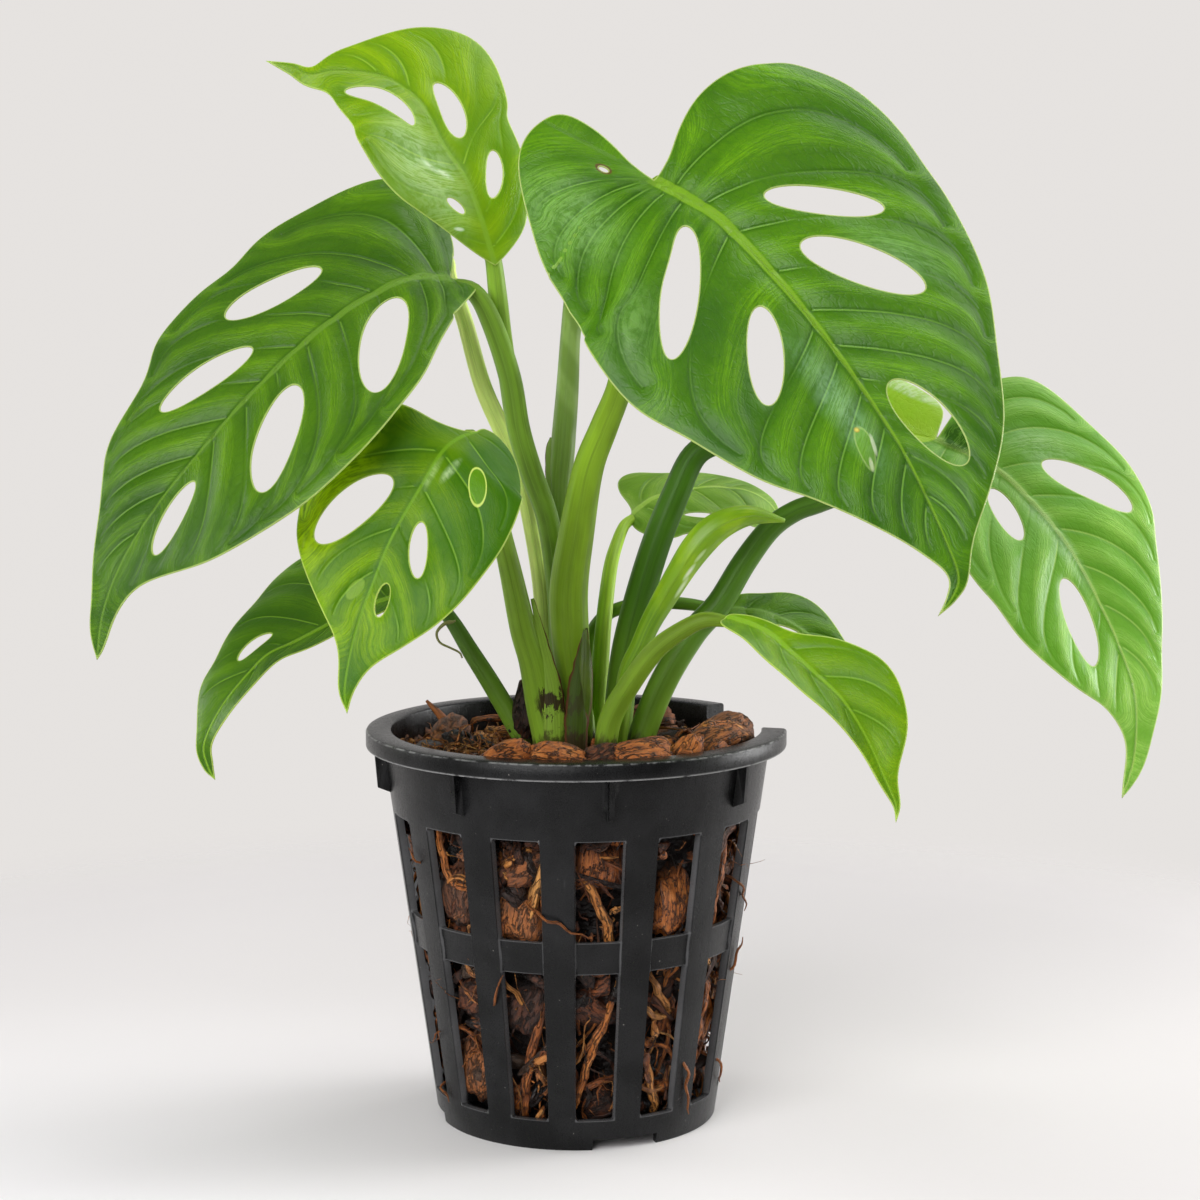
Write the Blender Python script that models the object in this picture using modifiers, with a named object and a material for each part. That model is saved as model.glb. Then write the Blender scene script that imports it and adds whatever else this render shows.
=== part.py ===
"""A Swiss cheese vine (Monstera adansonii) growing in a slotted nursery pot.

The pot is one moulding with two rows of windows. It is filled with a mix of
coconut husk chips, and thirteen leaves stand in plain holes in that mix, each
a blade fused to its own stalk. Sizes below are in millimetres; the scene is
in metres with +Z up, and the origin is the centre of the pot's foot.
"""
import math
import random

import bpy
import bmesh
import numpy as np
from mathutils import Matrix, Vector, geometry

MM = 0.001
CLEARANCE = 0.3

# The pot, a common 12 cm class
LIP_RADIUS = 60.0
LIP_INNER_RADIUS = 52.8
LIP_TOP = 112.3
LIP_DEPTH = 4.9
LIP_EDGE = 0.6
WALL_TOP_RADIUS = 55.1
FOOT_RADIUS = 40.0
WALL_THICKNESS = 2.3
FLOOR_HEIGHT = 3.2
FLOOR_THICKNESS = 1.8
PAD_RADIUS = 12.0
COLUMNS = 14
FACETS = 3 * COLUMNS
FIRST_COLUMN_DEG = 7.6
WINDOW_SHARE = 0.58
WINDOW_ROWS = ((8.7, 51.5), (60.6, 89.6))
FOOT_NOTCHES_DEG = (20.4, 97.7, 200.5, 277.6)
FOOT_NOTCH_WIDTH = 19.0
FOOT_NOTCH_HEIGHT = 3.0
DRAIN_SLOTS = 8
DRAIN_SLOT_SIZE = (13.0, 3.0, 10.0)
DRAIN_SLOT_RADIUS = 26.0
FIN_COUNT = 8
FIRST_FIN_DEG = 10.0
FIN_HEIGHT = 13.5
FIN_REACH = 58.0
FIN_THICKNESS = 1.4
FIN_SUNK = 1.2
BROKEN_LIP_DEG = (88.0, 133.0)
BROKEN_LIP_DEPTH = 10.5

# The potting mix
MIX_TOP = 99.0
MIX_CROWN = 3.5
MIX_BACKSET = 3.0
MIX_ROOM_ABOVE_LIP = 12.0
TOP_CHIPS = 34
TOP_CHIP_SPREAD = 47.0
WALL_CHIPS_PER_WINDOW = 2
MIX_ROOTS = 8
MIX_ROOT_RADIUS = 1.5

# The leaves
BLADE_THICKNESS = 0.8
BLADE_GRID = 13.0
OUTLINE_STEP = 8.0
RIB_REACH = 0.72
RIB_SINK = 0.45
RIB_STEP = 10.0
RIB_END_RADIUS = 0.55
STALK_HOLE_CLEARANCE = 0.35
STALK_STEP = 10.0
BURIED_LENGTH = 13.0

COLLECTION_NAME = "monstera_adansonii_in_net_pot"
CUTTER_COLLECTION_NAME = "cutters"


class Leaf:
    """One leaf: a blade given in its own plane and a stalk given in space.

    rib holds the midrib's points in space, from the stalk to the tip. The
    blade's outline is in (u, v): u runs along the rib, v across it, positive
    on the side of cross(rib direction, face). face is where the upper side
    looks, fold lifts each half about the rib, and curl bends the margins
    back. holes are (u, v, u, v, width) from end to end. stalk points carry
    their radius as a fourth number. A leaf that is still rolled has no rib:
    its stalk's swelling upper end is the rolled blade.
    """

    def __init__(self, name, colour, stalk, rib=None, face=(0.0, -1.0, 0.0), fold=(0.0, 0.0),
                 curl=0.0, near=(), far=(), holes=(), ridge=0.0):
        self.name = name
        self.colour = colour
        self.face = np.array(face, float)
        self.fold = np.radians(fold)
        self.curl = curl
        self.near = near
        self.far = far
        self.holes = holes
        self.stalk = stalk
        self.ridge = ridge
        self.is_rolled = rib is None
        if self.is_rolled:
            return
        self.curve = smooth_path(rib, 16)
        steps = np.linalg.norm(np.diff(self.curve, axis=0), axis=1)
        self.station = np.concatenate([[0.0], np.cumsum(steps)])
        self.length = float(self.station[-1])

    def rib_point(self, u):
        u = np.clip(u, 0.0, self.length)
        columns = [np.interp(u, self.station, self.curve[:, k]) for k in range(3)]
        return np.stack(columns, axis=-1)

    def frame(self, u):
        """Rib point, direction, side and upward normal at each u."""
        reach = 2.0
        direction = self.rib_point(u + reach) - self.rib_point(u - reach)
        outside = np.linalg.norm(direction, axis=-1) < 1e-6
        direction[outside] = self.rib_point(np.array([reach]))[0] - self.rib_point(np.array([0.0]))[0]
        direction /= np.linalg.norm(direction, axis=-1, keepdims=True)
        side = np.cross(direction, self.face)
        side /= np.linalg.norm(side, axis=-1, keepdims=True)
        normal = np.cross(side, direction)
        beyond = np.minimum(u, 0.0) + np.maximum(u - self.length, 0.0)
        point = self.rib_point(u) + direction * beyond[:, None]
        return point, direction, side, normal

    def surface(self, u, v):
        """Points of the blade in space for arrays u and v."""
        point, _, side, normal = self.frame(u)
        fold = np.where(v > 0.0, self.fold[0], self.fold[1])
        across = side * (np.cos(fold) * v)[:, None]
        lift = normal * (np.sin(fold) * np.abs(v) - self.curl * v * v)[:, None]
        return point + across + lift


def smooth_path(points, steps):
    """A Catmull-Rom curve through the points, as an array."""
    p = np.array(points, float)
    first = 2.0 * p[0] - p[1]
    last = 2.0 * p[-1] - p[-2]
    p = np.vstack([first, p, last])
    curve = []
    for i in range(1, len(p) - 2):
        for k in range(steps):
            t = k / steps
            curve.append(
                0.5 * (2.0 * p[i] + (p[i + 1] - p[i - 1]) * t
                       + (2.0 * p[i - 1] - 5.0 * p[i] + 4.0 * p[i + 1] - p[i + 2]) * t ** 2
                       + (3.0 * p[i] - p[i - 1] - 3.0 * p[i + 1] + p[i + 2]) * t ** 3))
    curve.append(p[-2])
    return np.array(curve)


def resample(path, spacing):
    """The path's points at even distances of about spacing."""
    steps = np.linalg.norm(np.diff(path, axis=0), axis=1)
    station = np.concatenate([[0.0], np.cumsum(steps)])
    count = max(2, int(round(station[-1] / spacing)) + 1)
    places = np.linspace(0.0, station[-1], count)
    columns = [np.interp(places, station, path[:, k]) for k in range(path.shape[1])]
    return np.stack(columns, axis=-1)


# Scene helpers

def clear_scene():
    for item in list(bpy.data.objects):
        bpy.data.objects.remove(item, do_unlink=True)


def make_collection(name):
    collection = bpy.data.collections.new(name)
    bpy.context.scene.collection.children.link(collection)
    return collection


def make_material(name, colour, roughness, metallic=0.0):
    material = bpy.data.materials.new(name)
    material.use_nodes = True
    shader = material.node_tree.nodes["Principled BSDF"]
    shader.inputs["Base Color"].default_value = (*colour, 1.0)
    shader.inputs["Roughness"].default_value = roughness
    shader.inputs["Metallic"].default_value = metallic
    material.diffuse_color = (*colour, 1.0)
    return material


def link_mesh(name, mesh, collection):
    item = bpy.data.objects.new(name, mesh)
    collection.objects.link(item)
    return item


def mesh_from_bmesh(name, bm, collection):
    mesh = bpy.data.meshes.new(name)
    bm.to_mesh(mesh)
    bm.free()
    return link_mesh(name, mesh, collection)


def evaluated_copy(item, name, collection, weld=False):
    """A plain mesh object of what item evaluates to; item itself is removed."""
    bpy.context.view_layer.update()
    graph = bpy.context.evaluated_depsgraph_get()
    mesh = bpy.data.meshes.new_from_object(item.evaluated_get(graph))
    if weld:
        bm = bmesh.new()
        bm.from_mesh(mesh)
        bmesh.ops.remove_doubles(bm, verts=bm.verts, dist=0.00001)
        bmesh.ops.recalc_face_normals(bm, faces=bm.faces)
        bm.to_mesh(mesh)
        bm.free()
    placement = item.matrix_world.copy()
    bpy.data.objects.remove(item, do_unlink=True)
    result = link_mesh(name, mesh, collection)
    result.matrix_world = placement
    return result


def boolean(item, tools, operation, name, collection, solver="EXACT"):
    """Join or cut item with every object in tools, apply it and drop them."""
    group = bpy.data.collections.new("operands")
    for tool in tools:
        group.objects.link(tool)
    modifier = item.modifiers.new(operation.lower(), "BOOLEAN")
    modifier.operation = operation
    modifier.operand_type = "COLLECTION"
    modifier.collection = group
    modifier.solver = solver
    result = evaluated_copy(item, name, collection)
    for tool in tools:
        bpy.data.objects.remove(tool, do_unlink=True)
    bpy.data.collections.remove(group)
    return result


def finish(item, material, sharp_deg=30.0):
    """Give the part its one material, drop loose scraps and shade it."""
    bm = bmesh.new()
    bm.from_mesh(item.data)
    bmesh.ops.remove_doubles(bm, verts=bm.verts, dist=0.00001)
    bmesh.ops.dissolve_degenerate(bm, edges=bm.edges, dist=0.00001)
    bmesh.ops.triangulate(bm, faces=bm.faces)
    keep_largest_body(bm)
    bm.to_mesh(item.data)
    bm.free()
    item.data.materials.clear()
    item.data.materials.append(material)
    item.data.shade_smooth()
    item.data.set_sharp_from_angle(angle=math.radians(sharp_deg))


def keep_largest_body(bm):
    """Delete every connected body but the one with the most faces."""
    unseen = set(bm.faces)
    bodies = []
    while unseen:
        queue = [unseen.pop()]
        body = []
        while queue:
            face = queue.pop()
            body.append(face)
            for edge in face.edges:
                for other in edge.link_faces:
                    if other in unseen:
                        unseen.discard(other)
                        queue.append(other)
        bodies.append(body)
    bodies.sort(key=len)
    for body in bodies[:-1]:
        bmesh.ops.delete(bm, geom=body, context="FACES")


def tube(name, points, radii, collection, resolution=1):
    """A capped tube through the points, as a welded mesh, sizes in mm."""
    curve = bpy.data.curves.new(name, "CURVE")
    curve.dimensions = "3D"
    curve.bevel_depth = MM
    curve.bevel_resolution = resolution
    curve.use_fill_caps = True
    spline = curve.splines.new("POLY")
    spline.points.add(len(points) - 1)
    for target, point, radius in zip(spline.points, points, radii):
        target.co = (point[0] * MM, point[1] * MM, point[2] * MM, 1.0)
        target.radius = radius
    item = link_mesh(name, curve, collection)
    return evaluated_copy(item, name, collection, weld=True)


def turned(name, profile, steps, collection, start_deg=0.0):
    """A closed profile of (radius, height) pairs turned about the Z axis."""
    bm = bmesh.new()
    corners = [bm.verts.new((radius * MM, 0.0, height * MM)) for radius, height in profile]
    for corner, following in zip(corners, corners[1:] + corners[:1]):
        if corner.co.x > 0.0 or following.co.x > 0.0:
            bm.edges.new((corner, following))
    item = mesh_from_bmesh(name, bm, collection)
    item.rotation_euler.z = math.radians(start_deg)
    screw = item.modifiers.new("turn", "SCREW")
    screw.steps = steps
    screw.render_steps = steps
    screw.use_merge_vertices = True
    screw.merge_threshold = 0.00001
    result = evaluated_copy(item, name, collection, weld=True)
    result.data.transform(result.matrix_world)
    result.matrix_world = Matrix.Identity(4)
    return result


def box(name, size, centre, azimuth_deg, collection):
    """A box of (radial, tangential, vertical) size at (radius, height)."""
    bm = bmesh.new()
    bmesh.ops.create_cube(bm, size=1.0)
    radial, tangential, vertical = size
    bmesh.ops.scale(bm, verts=bm.verts, vec=(tangential * MM, radial * MM, vertical * MM))
    bmesh.ops.translate(bm, verts=bm.verts, vec=(0.0, -centre[0] * MM, centre[1] * MM))
    turn = Matrix.Rotation(math.radians(azimuth_deg), 3, "Z")
    bmesh.ops.rotate(bm, verts=bm.verts, matrix=turn)
    return mesh_from_bmesh(name, bm, collection)


# The pot. Azimuths are measured from the front (-Y) towards +X

def wall_radius(height):
    """Outer radius of the wall at a height."""
    rise = LIP_TOP - LIP_DEPTH
    return FOOT_RADIUS + (WALL_TOP_RADIUS - FOOT_RADIUS) * height / rise


def window_cutter(azimuth_deg, bottom, top, cutters):
    """A wedge that cuts one window square through the wall."""
    inner = FOOT_RADIUS - 12.0
    outer = LIP_RADIUS + 6.0
    half = math.pi / COLUMNS * WINDOW_SHARE
    bm = bmesh.new()
    corners = []
    for height in (bottom, top):
        for radius, angle in ((inner, -half), (outer, -half), (outer, half), (inner, half)):
            place = angle + math.radians(azimuth_deg) - math.pi / 2.0
            spot = (radius * math.cos(place) * MM, radius * math.sin(place) * MM, height * MM)
            corners.append(bm.verts.new(spot))
    bmesh.ops.convex_hull(bm, input=corners)
    return mesh_from_bmesh("window", bm, cutters)


def make_pot(parts, cutters):
    lip_bottom = LIP_TOP - LIP_DEPTH
    floor_top = FLOOR_HEIGHT + FLOOR_THICKNESS
    inner_foot = FOOT_RADIUS - WALL_THICKNESS
    profile = [
        (LIP_RADIUS - LIP_EDGE, LIP_TOP),
        (LIP_RADIUS, LIP_TOP - LIP_EDGE),
        (LIP_RADIUS, lip_bottom),
        (WALL_TOP_RADIUS, lip_bottom),
        (FOOT_RADIUS, 0.0),
        (inner_foot, 0.0),
        (inner_foot, FLOOR_HEIGHT),
        (PAD_RADIUS + FLOOR_HEIGHT, FLOOR_HEIGHT),
        (PAD_RADIUS, 0.0),
        (0.0, 0.0),
        (0.0, FLOOR_THICKNESS),
        (PAD_RADIUS - 1.0, FLOOR_THICKNESS),
        (PAD_RADIUS + FLOOR_HEIGHT - 1.0, floor_top),
        (wall_radius(floor_top) - WALL_THICKNESS, floor_top),
        (WALL_TOP_RADIUS - WALL_THICKNESS, lip_bottom),
        (LIP_INNER_RADIUS, LIP_TOP - LIP_EDGE),
        (LIP_INNER_RADIUS + LIP_EDGE, LIP_TOP),
    ]
    pot = turned("pot", profile, FACETS, parts, FIRST_COLUMN_DEG)
    fins = []
    for index in range(FIN_COUNT):
        azimuth = FIRST_FIN_DEG + 360.0 / FIN_COUNT * index
        if BROKEN_LIP_DEG[0] < azimuth % 360.0 < BROKEN_LIP_DEG[1]:
            continue
        fins.append(make_fin(azimuth, parts))
    pot = boolean(pot, fins, "UNION", "pot", parts)
    tools = []
    for column in range(COLUMNS):
        for bottom, top in WINDOW_ROWS:
            azimuth = FIRST_COLUMN_DEG + 360.0 / COLUMNS * column
            tools.append(window_cutter(azimuth, bottom, top, cutters))
    for azimuth in FOOT_NOTCHES_DEG:
        size = (8.0, FOOT_NOTCH_WIDTH, 2.0 * FOOT_NOTCH_HEIGHT)
        tools.append(box("notch", size, (FOOT_RADIUS, 0.0), azimuth, cutters))
    for index in range(DRAIN_SLOTS):
        azimuth = 360.0 / DRAIN_SLOTS * (index + 0.5)
        centre = (DRAIN_SLOT_RADIUS, FLOOR_HEIGHT)
        tools.append(box("drain", DRAIN_SLOT_SIZE, centre, azimuth, cutters))
    tools.append(make_lip_break(cutters))
    return boolean(pot, tools, "DIFFERENCE", "pot", parts)


def make_fin(azimuth_deg, parts):
    """A small gusset under the lip with a slanted lower end."""
    top = LIP_TOP - LIP_DEPTH + 1.0
    low = top - FIN_HEIGHT
    outline = [
        (FIN_REACH, top),
        (FIN_REACH - 1.0, low + 2.0),
        (wall_radius(low) - FIN_SUNK, low),
        (wall_radius(top) - FIN_SUNK, top),
    ]
    turn = Matrix.Rotation(math.radians(azimuth_deg), 3, "Z")
    bm = bmesh.new()
    corners = []
    for side in (-0.5, 0.5):
        for radius, height in outline:
            spot = Vector((side * FIN_THICKNESS, -radius, height)) * MM
            corners.append(bm.verts.new(turn @ spot))
    bmesh.ops.convex_hull(bm, input=corners)
    return mesh_from_bmesh("fin", bm, parts)


def make_lip_break(cutters):
    """What is missing of the lip at the right and back, with uneven edges."""
    rng = random.Random(11)
    start, end = BROKEN_LIP_DEG
    floor = LIP_TOP - BROKEN_LIP_DEPTH
    count = 6
    bm = bmesh.new()
    lower = []
    upper = []
    for index in range(count):
        angle = math.radians(start + (end - start) * index / (count - 1)) - math.pi / 2.0
        drop = rng.uniform(-1.5, 1.5)
        if index in (0, count - 1):
            drop = 4.0
        for radius in (LIP_INNER_RADIUS - 6.0, LIP_RADIUS + 4.0):
            x = radius * math.cos(angle) * MM
            y = radius * math.sin(angle) * MM
            lower.append(bm.verts.new((x, y, (floor + drop) * MM)))
            upper.append(bm.verts.new((x, y, (LIP_TOP + 5.0) * MM)))
    for i in range(count - 1):
        a, b, c, d = 2 * i, 2 * i + 1, 2 * i + 3, 2 * i + 2
        bm.faces.new((lower[a], lower[d], lower[c], lower[b]))
        bm.faces.new((upper[a], upper[b], upper[c], upper[d]))
        bm.faces.new((lower[b], lower[c], upper[c], upper[b]))
        bm.faces.new((lower[a], upper[a], upper[d], lower[d]))
    bm.faces.new((lower[0], lower[1], upper[1], upper[0]))
    bm.faces.new((lower[-2], upper[-2], upper[-1], lower[-1]))
    bmesh.ops.triangulate(bm, faces=bm.faces)
    bmesh.ops.recalc_face_normals(bm, faces=bm.faces)
    return mesh_from_bmesh("lip_break", bm, cutters)


# The potting mix

def chip(rng, centre, size, collection):
    """One husk chip: an uneven block, turned any way."""
    bm = bmesh.new()
    bmesh.ops.create_cube(bm, size=0.85)
    for vert in bm.verts:
        vert.co += Vector([rng.uniform(-0.12, 0.12) for _ in range(3)])
    bmesh.ops.triangulate(bm, faces=bm.faces)
    bmesh.ops.scale(bm, verts=bm.verts, vec=[side * MM for side in size])
    axis = Vector((rng.gauss(0, 1), rng.gauss(0, 1), rng.gauss(0, 1))).normalized()
    turn = Matrix.Rotation(rng.uniform(0.0, math.pi), 3, axis)
    bmesh.ops.rotate(bm, verts=bm.verts, matrix=turn)
    bmesh.ops.translate(bm, verts=bm.verts, vec=[value * MM for value in centre])
    return mesh_from_bmesh("chip", bm, collection)


def mix_chips(rng, cutters):
    """Chips over the top of the mix and behind every window."""
    chips = []
    golden = math.pi * (3.0 - math.sqrt(5.0))
    for index in range(TOP_CHIPS):
        radius = TOP_CHIP_SPREAD * math.sqrt((index + 0.5) / TOP_CHIPS)
        angle = golden * index
        height = MIX_TOP + MIX_CROWN * (1.0 - radius / TOP_CHIP_SPREAD) + rng.uniform(-0.5, 3.5)
        size = (rng.uniform(13.0, 19.0), rng.uniform(9.0, 13.0), rng.uniform(7.0, 10.0))
        centre = (radius * math.cos(angle), radius * math.sin(angle), height)
        chips.append(chip(rng, centre, size, cutters))
    for column in range(COLUMNS):
        for bottom, top in WINDOW_ROWS:
            for step in range(WALL_CHIPS_PER_WINDOW):
                share = (step + rng.uniform(0.25, 0.75)) / WALL_CHIPS_PER_WINDOW
                height = bottom + (top - bottom) * share
                azimuth = FIRST_COLUMN_DEG + 360.0 / COLUMNS * (column + rng.uniform(-0.3, 0.3))
                angle = math.radians(azimuth) - math.pi / 2.0
                radius = wall_radius(height) - WALL_THICKNESS - 3.6
                size = (rng.uniform(9.0, 14.0), rng.uniform(7.0, 10.0), rng.uniform(6.0, 9.0))
                centre = (radius * math.cos(angle), radius * math.sin(angle), height)
                chips.append(chip(rng, centre, size, cutters))
    return chips


def mix_roots(rng, cutters):
    """Thick roots that run down just inside the windows."""
    roots = []
    for index in range(MIX_ROOTS):
        azimuth = 360.0 / MIX_ROOTS * (index + rng.uniform(-0.3, 0.3))
        lean = rng.uniform(-22.0, 22.0)
        low = rng.uniform(10.0, 24.0)
        high = low + rng.uniform(30.0, 50.0)
        points = []
        for step in range(5):
            share = step / 4.0
            height = low + (high - low) * share
            angle = math.radians(azimuth + lean * (share - 0.5)) - math.pi / 2.0
            depth = 2.2 + 6.0 * (2.0 * share - 1.0) ** 2
            radius = wall_radius(height) - WALL_THICKNESS - depth
            points.append((radius * math.cos(angle), radius * math.sin(angle), height))
        roots.append(tube("root", points, [MIX_ROOT_RADIUS] * len(points), cutters))
    return roots


def make_mix(parts, cutters, stalks):
    """The husk mix: a core, chips and roots in one body, with stalk holes."""
    rng = random.Random(7)
    floor = FLOOR_HEIGHT + FLOOR_THICKNESS + CLEARANCE
    inset = WALL_THICKNESS + MIX_BACKSET
    core_profile = [
        (wall_radius(MIX_TOP) - inset - 2.0, MIX_TOP),
        (wall_radius(MIX_TOP) - inset, MIX_TOP - 2.0),
        (wall_radius(floor) - inset, floor),
        (0.0, floor),
        (0.0, MIX_TOP + MIX_CROWN),
    ]
    core = turned("potting_mix", core_profile, FACETS // 2, parts, FIRST_COLUMN_DEG)
    pieces = mix_chips(rng, cutters) + mix_roots(rng, cutters)
    mix = boolean(core, pieces, "UNION", "potting_mix", parts)
    gap = WALL_THICKNESS + CLEARANCE
    room_top = LIP_TOP + MIX_ROOM_ABOVE_LIP
    room_profile = [
        (LIP_INNER_RADIUS - CLEARANCE, room_top),
        (LIP_INNER_RADIUS - CLEARANCE, LIP_TOP - LIP_DEPTH),
        (wall_radius(floor) - gap, floor),
        (0.0, floor),
        (0.0, room_top),
    ]
    room = turned("room", room_profile, FACETS, cutters, FIRST_COLUMN_DEG)
    mix = boolean(mix, [room], "INTERSECT", "potting_mix", parts)
    for stalk in stalks:
        points, radii = buried_stretch(stalk)
        widened = [radius + STALK_HOLE_CLEARANCE for radius in radii]
        hole = tube("stalk_hole", points, widened, cutters)
        mix = boolean(mix, [hole], "DIFFERENCE", "potting_mix", parts)
    return mix


def buried_stretch(stalk):
    """The stalk's route from just below its end to clear of the chips."""
    route = stalk_route(stalk)
    start = route[0] - (route[1] - route[0]) / np.linalg.norm((route[1] - route[0])[:3]) * 0.4
    top = LIP_TOP + MIX_ROOM_ABOVE_LIP + 0.4 * STALK_STEP
    stretch = np.array([start] + [row for row in route if row[2] < top])
    return stretch[:, :3], stretch[:, 3]


# Leaves and stalks

def stalk_route(stalk):
    """The stalk's even points with radii, with its end sunk in the mix."""
    points = np.array(stalk, float)
    buried = points[0] + 0.15 * (points[0] - points[1])
    buried[2] = points[0][2] - BURIED_LENGTH
    buried[3] = points[0][3] * 0.9
    path = smooth_path(np.vstack([buried, points]), 6)
    return resample(path, STALK_STEP)


def outline_loop(leaf):
    """The blade's edge in (u, v), from the notch round the tip and back."""
    notch = (0.0, 0.0)
    tip = (leaf.length, 0.0)
    near = smooth_path([notch] + list(leaf.near) + [tip], 8)
    far = smooth_path([notch] + list(leaf.far) + [tip], 8)
    near = resample(near, OUTLINE_STEP)
    far = resample(far, OUTLINE_STEP)
    return np.vstack([near, far[-2:0:-1]])


def hole_loop(hole, sides=12):
    """A long hole, swelling towards its middle."""
    start = np.array(hole[0:2], float)
    end = np.array(hole[2:4], float)
    along = end - start
    across = np.array([-along[1], along[0]]) / np.linalg.norm(along)
    points = []
    for index in range(sides):
        angle = 2.0 * math.pi * index / sides
        swell = 0.5 * hole[4] * math.sin(angle)
        points.append(start + along * (0.5 - 0.5 * math.cos(angle)) + across * swell)
    return np.array(points)


def inside(loop, points):
    """Which points lie inside the closed loop, by counting crossings."""
    result = np.zeros(len(points), bool)
    x, y = points[:, 0], points[:, 1]
    for (x0, y0), (x1, y1) in zip(loop, np.roll(loop, -1, axis=0)):
        crosses = (y0 > y) != (y1 > y)
        rise = y1 - y0 if y1 != y0 else 1e-12
        result ^= crosses & (x < (x1 - x0) * (y - y0) / rise + x0)
    return result


def distance_to(loop, points):
    """Distance from each point to the nearest corner of the loop."""
    return np.min(np.linalg.norm(points[:, None, :] - loop[None, :, :], axis=2), axis=1)


def blade_net(leaf):
    """Triangles of the blade in (u, v): edge, holes, rib and a loose grid."""
    edge = outline_loop(leaf)
    openings = [hole_loop(hole) for hole in leaf.holes]
    rib = np.array([(u, 0.0) for u in np.arange(BLADE_GRID, leaf.length - 4.0, BLADE_GRID)])
    low = edge.min(axis=0)
    high = edge.max(axis=0)
    grid = []
    for row, v in enumerate(np.arange(low[1], high[1], BLADE_GRID * 0.87)):
        for u in np.arange(low[0] + (row % 2) * BLADE_GRID / 2.0, high[0], BLADE_GRID):
            grid.append((u, v))
    grid = np.array(grid)
    keep = inside(edge, grid) & (distance_to(edge, grid) > BLADE_GRID * 0.45)
    keep &= np.abs(grid[:, 1]) > BLADE_GRID * 0.4
    for opening in openings:
        keep &= ~inside(opening, grid) & (distance_to(opening, grid) > BLADE_GRID * 0.4)
    points = [edge] + openings + [rib, grid[keep]]
    edges = []
    base = 0
    for loop in [edge] + openings:
        count = len(loop)
        edges += [(base + i, base + (i + 1) % count) for i in range(count)]
        base += count
    edges += [(base + i, base + i + 1) for i in range(len(rib) - 1)]
    net = np.vstack(points)
    result = geometry.delaunay_2d_cdt([Vector(point) for point in net], edges, [], 0, 0.0001)
    corners = np.array([tuple(point) for point in result[0]])
    faces = np.array([face for face in result[2] if len(face) == 3])
    centres = corners[faces].mean(axis=1)
    kept = inside(edge, centres)
    for opening in openings:
        kept &= ~inside(opening, centres)
    return corners, faces[kept]


def make_blade(leaf, parts):
    """The blade as a thin solid with its true cut edge and holes."""
    corners, faces = blade_net(leaf)
    spots = leaf.surface(corners[:, 0], corners[:, 1]) * MM
    used = np.unique(faces)
    order = {int(old): new for new, old in enumerate(used)}
    mesh = bpy.data.meshes.new(leaf.name)
    triangles = [[order[int(corner)] for corner in face] for face in faces]
    mesh.from_pydata([tuple(spots[old]) for old in used], [], triangles)
    item = link_mesh(leaf.name, mesh, parts)
    solid = item.modifiers.new("thickness", "SOLIDIFY")
    solid.thickness = BLADE_THICKNESS * MM
    solid.offset = 0.0
    solid.use_even_offset = False
    return evaluated_copy(item, leaf.name, parts, weld=True)


def rib_tube(leaf, cutters):
    """The raised midrib under the blade, tapering towards the tip."""
    reach = leaf.length * RIB_REACH
    stations = np.linspace(-1.0, reach, max(5, int(reach / RIB_STEP)))
    point, _, _, normal = leaf.frame(stations)
    radii = np.interp(stations, [0.0, reach], [leaf.ridge, RIB_END_RADIUS])
    centres = point - normal * (radii * RIB_SINK)[:, None]
    return tube("rib", centres, radii, cutters)


def make_leaf(leaf, parts, cutters):
    """Blade, midrib and stalk in one body."""
    route = stalk_route(leaf.stalk)
    stalk = tube("stalk", route[:, :3], route[:, 3], cutters)
    if leaf.is_rolled:
        return evaluated_copy(stalk, leaf.name, parts)
    blade = make_blade(leaf, parts)
    return boolean(blade, [rib_tube(leaf, cutters), stalk], "UNION", leaf.name, parts)


# The plant, leaf by leaf. Points are in mm from the centre of the pot's foot

GREEN = (0.10, 0.27, 0.05)
DARK_GREEN = (0.06, 0.19, 0.04)
BRIGHT_GREEN = (0.25, 0.45, 0.05)


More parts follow.
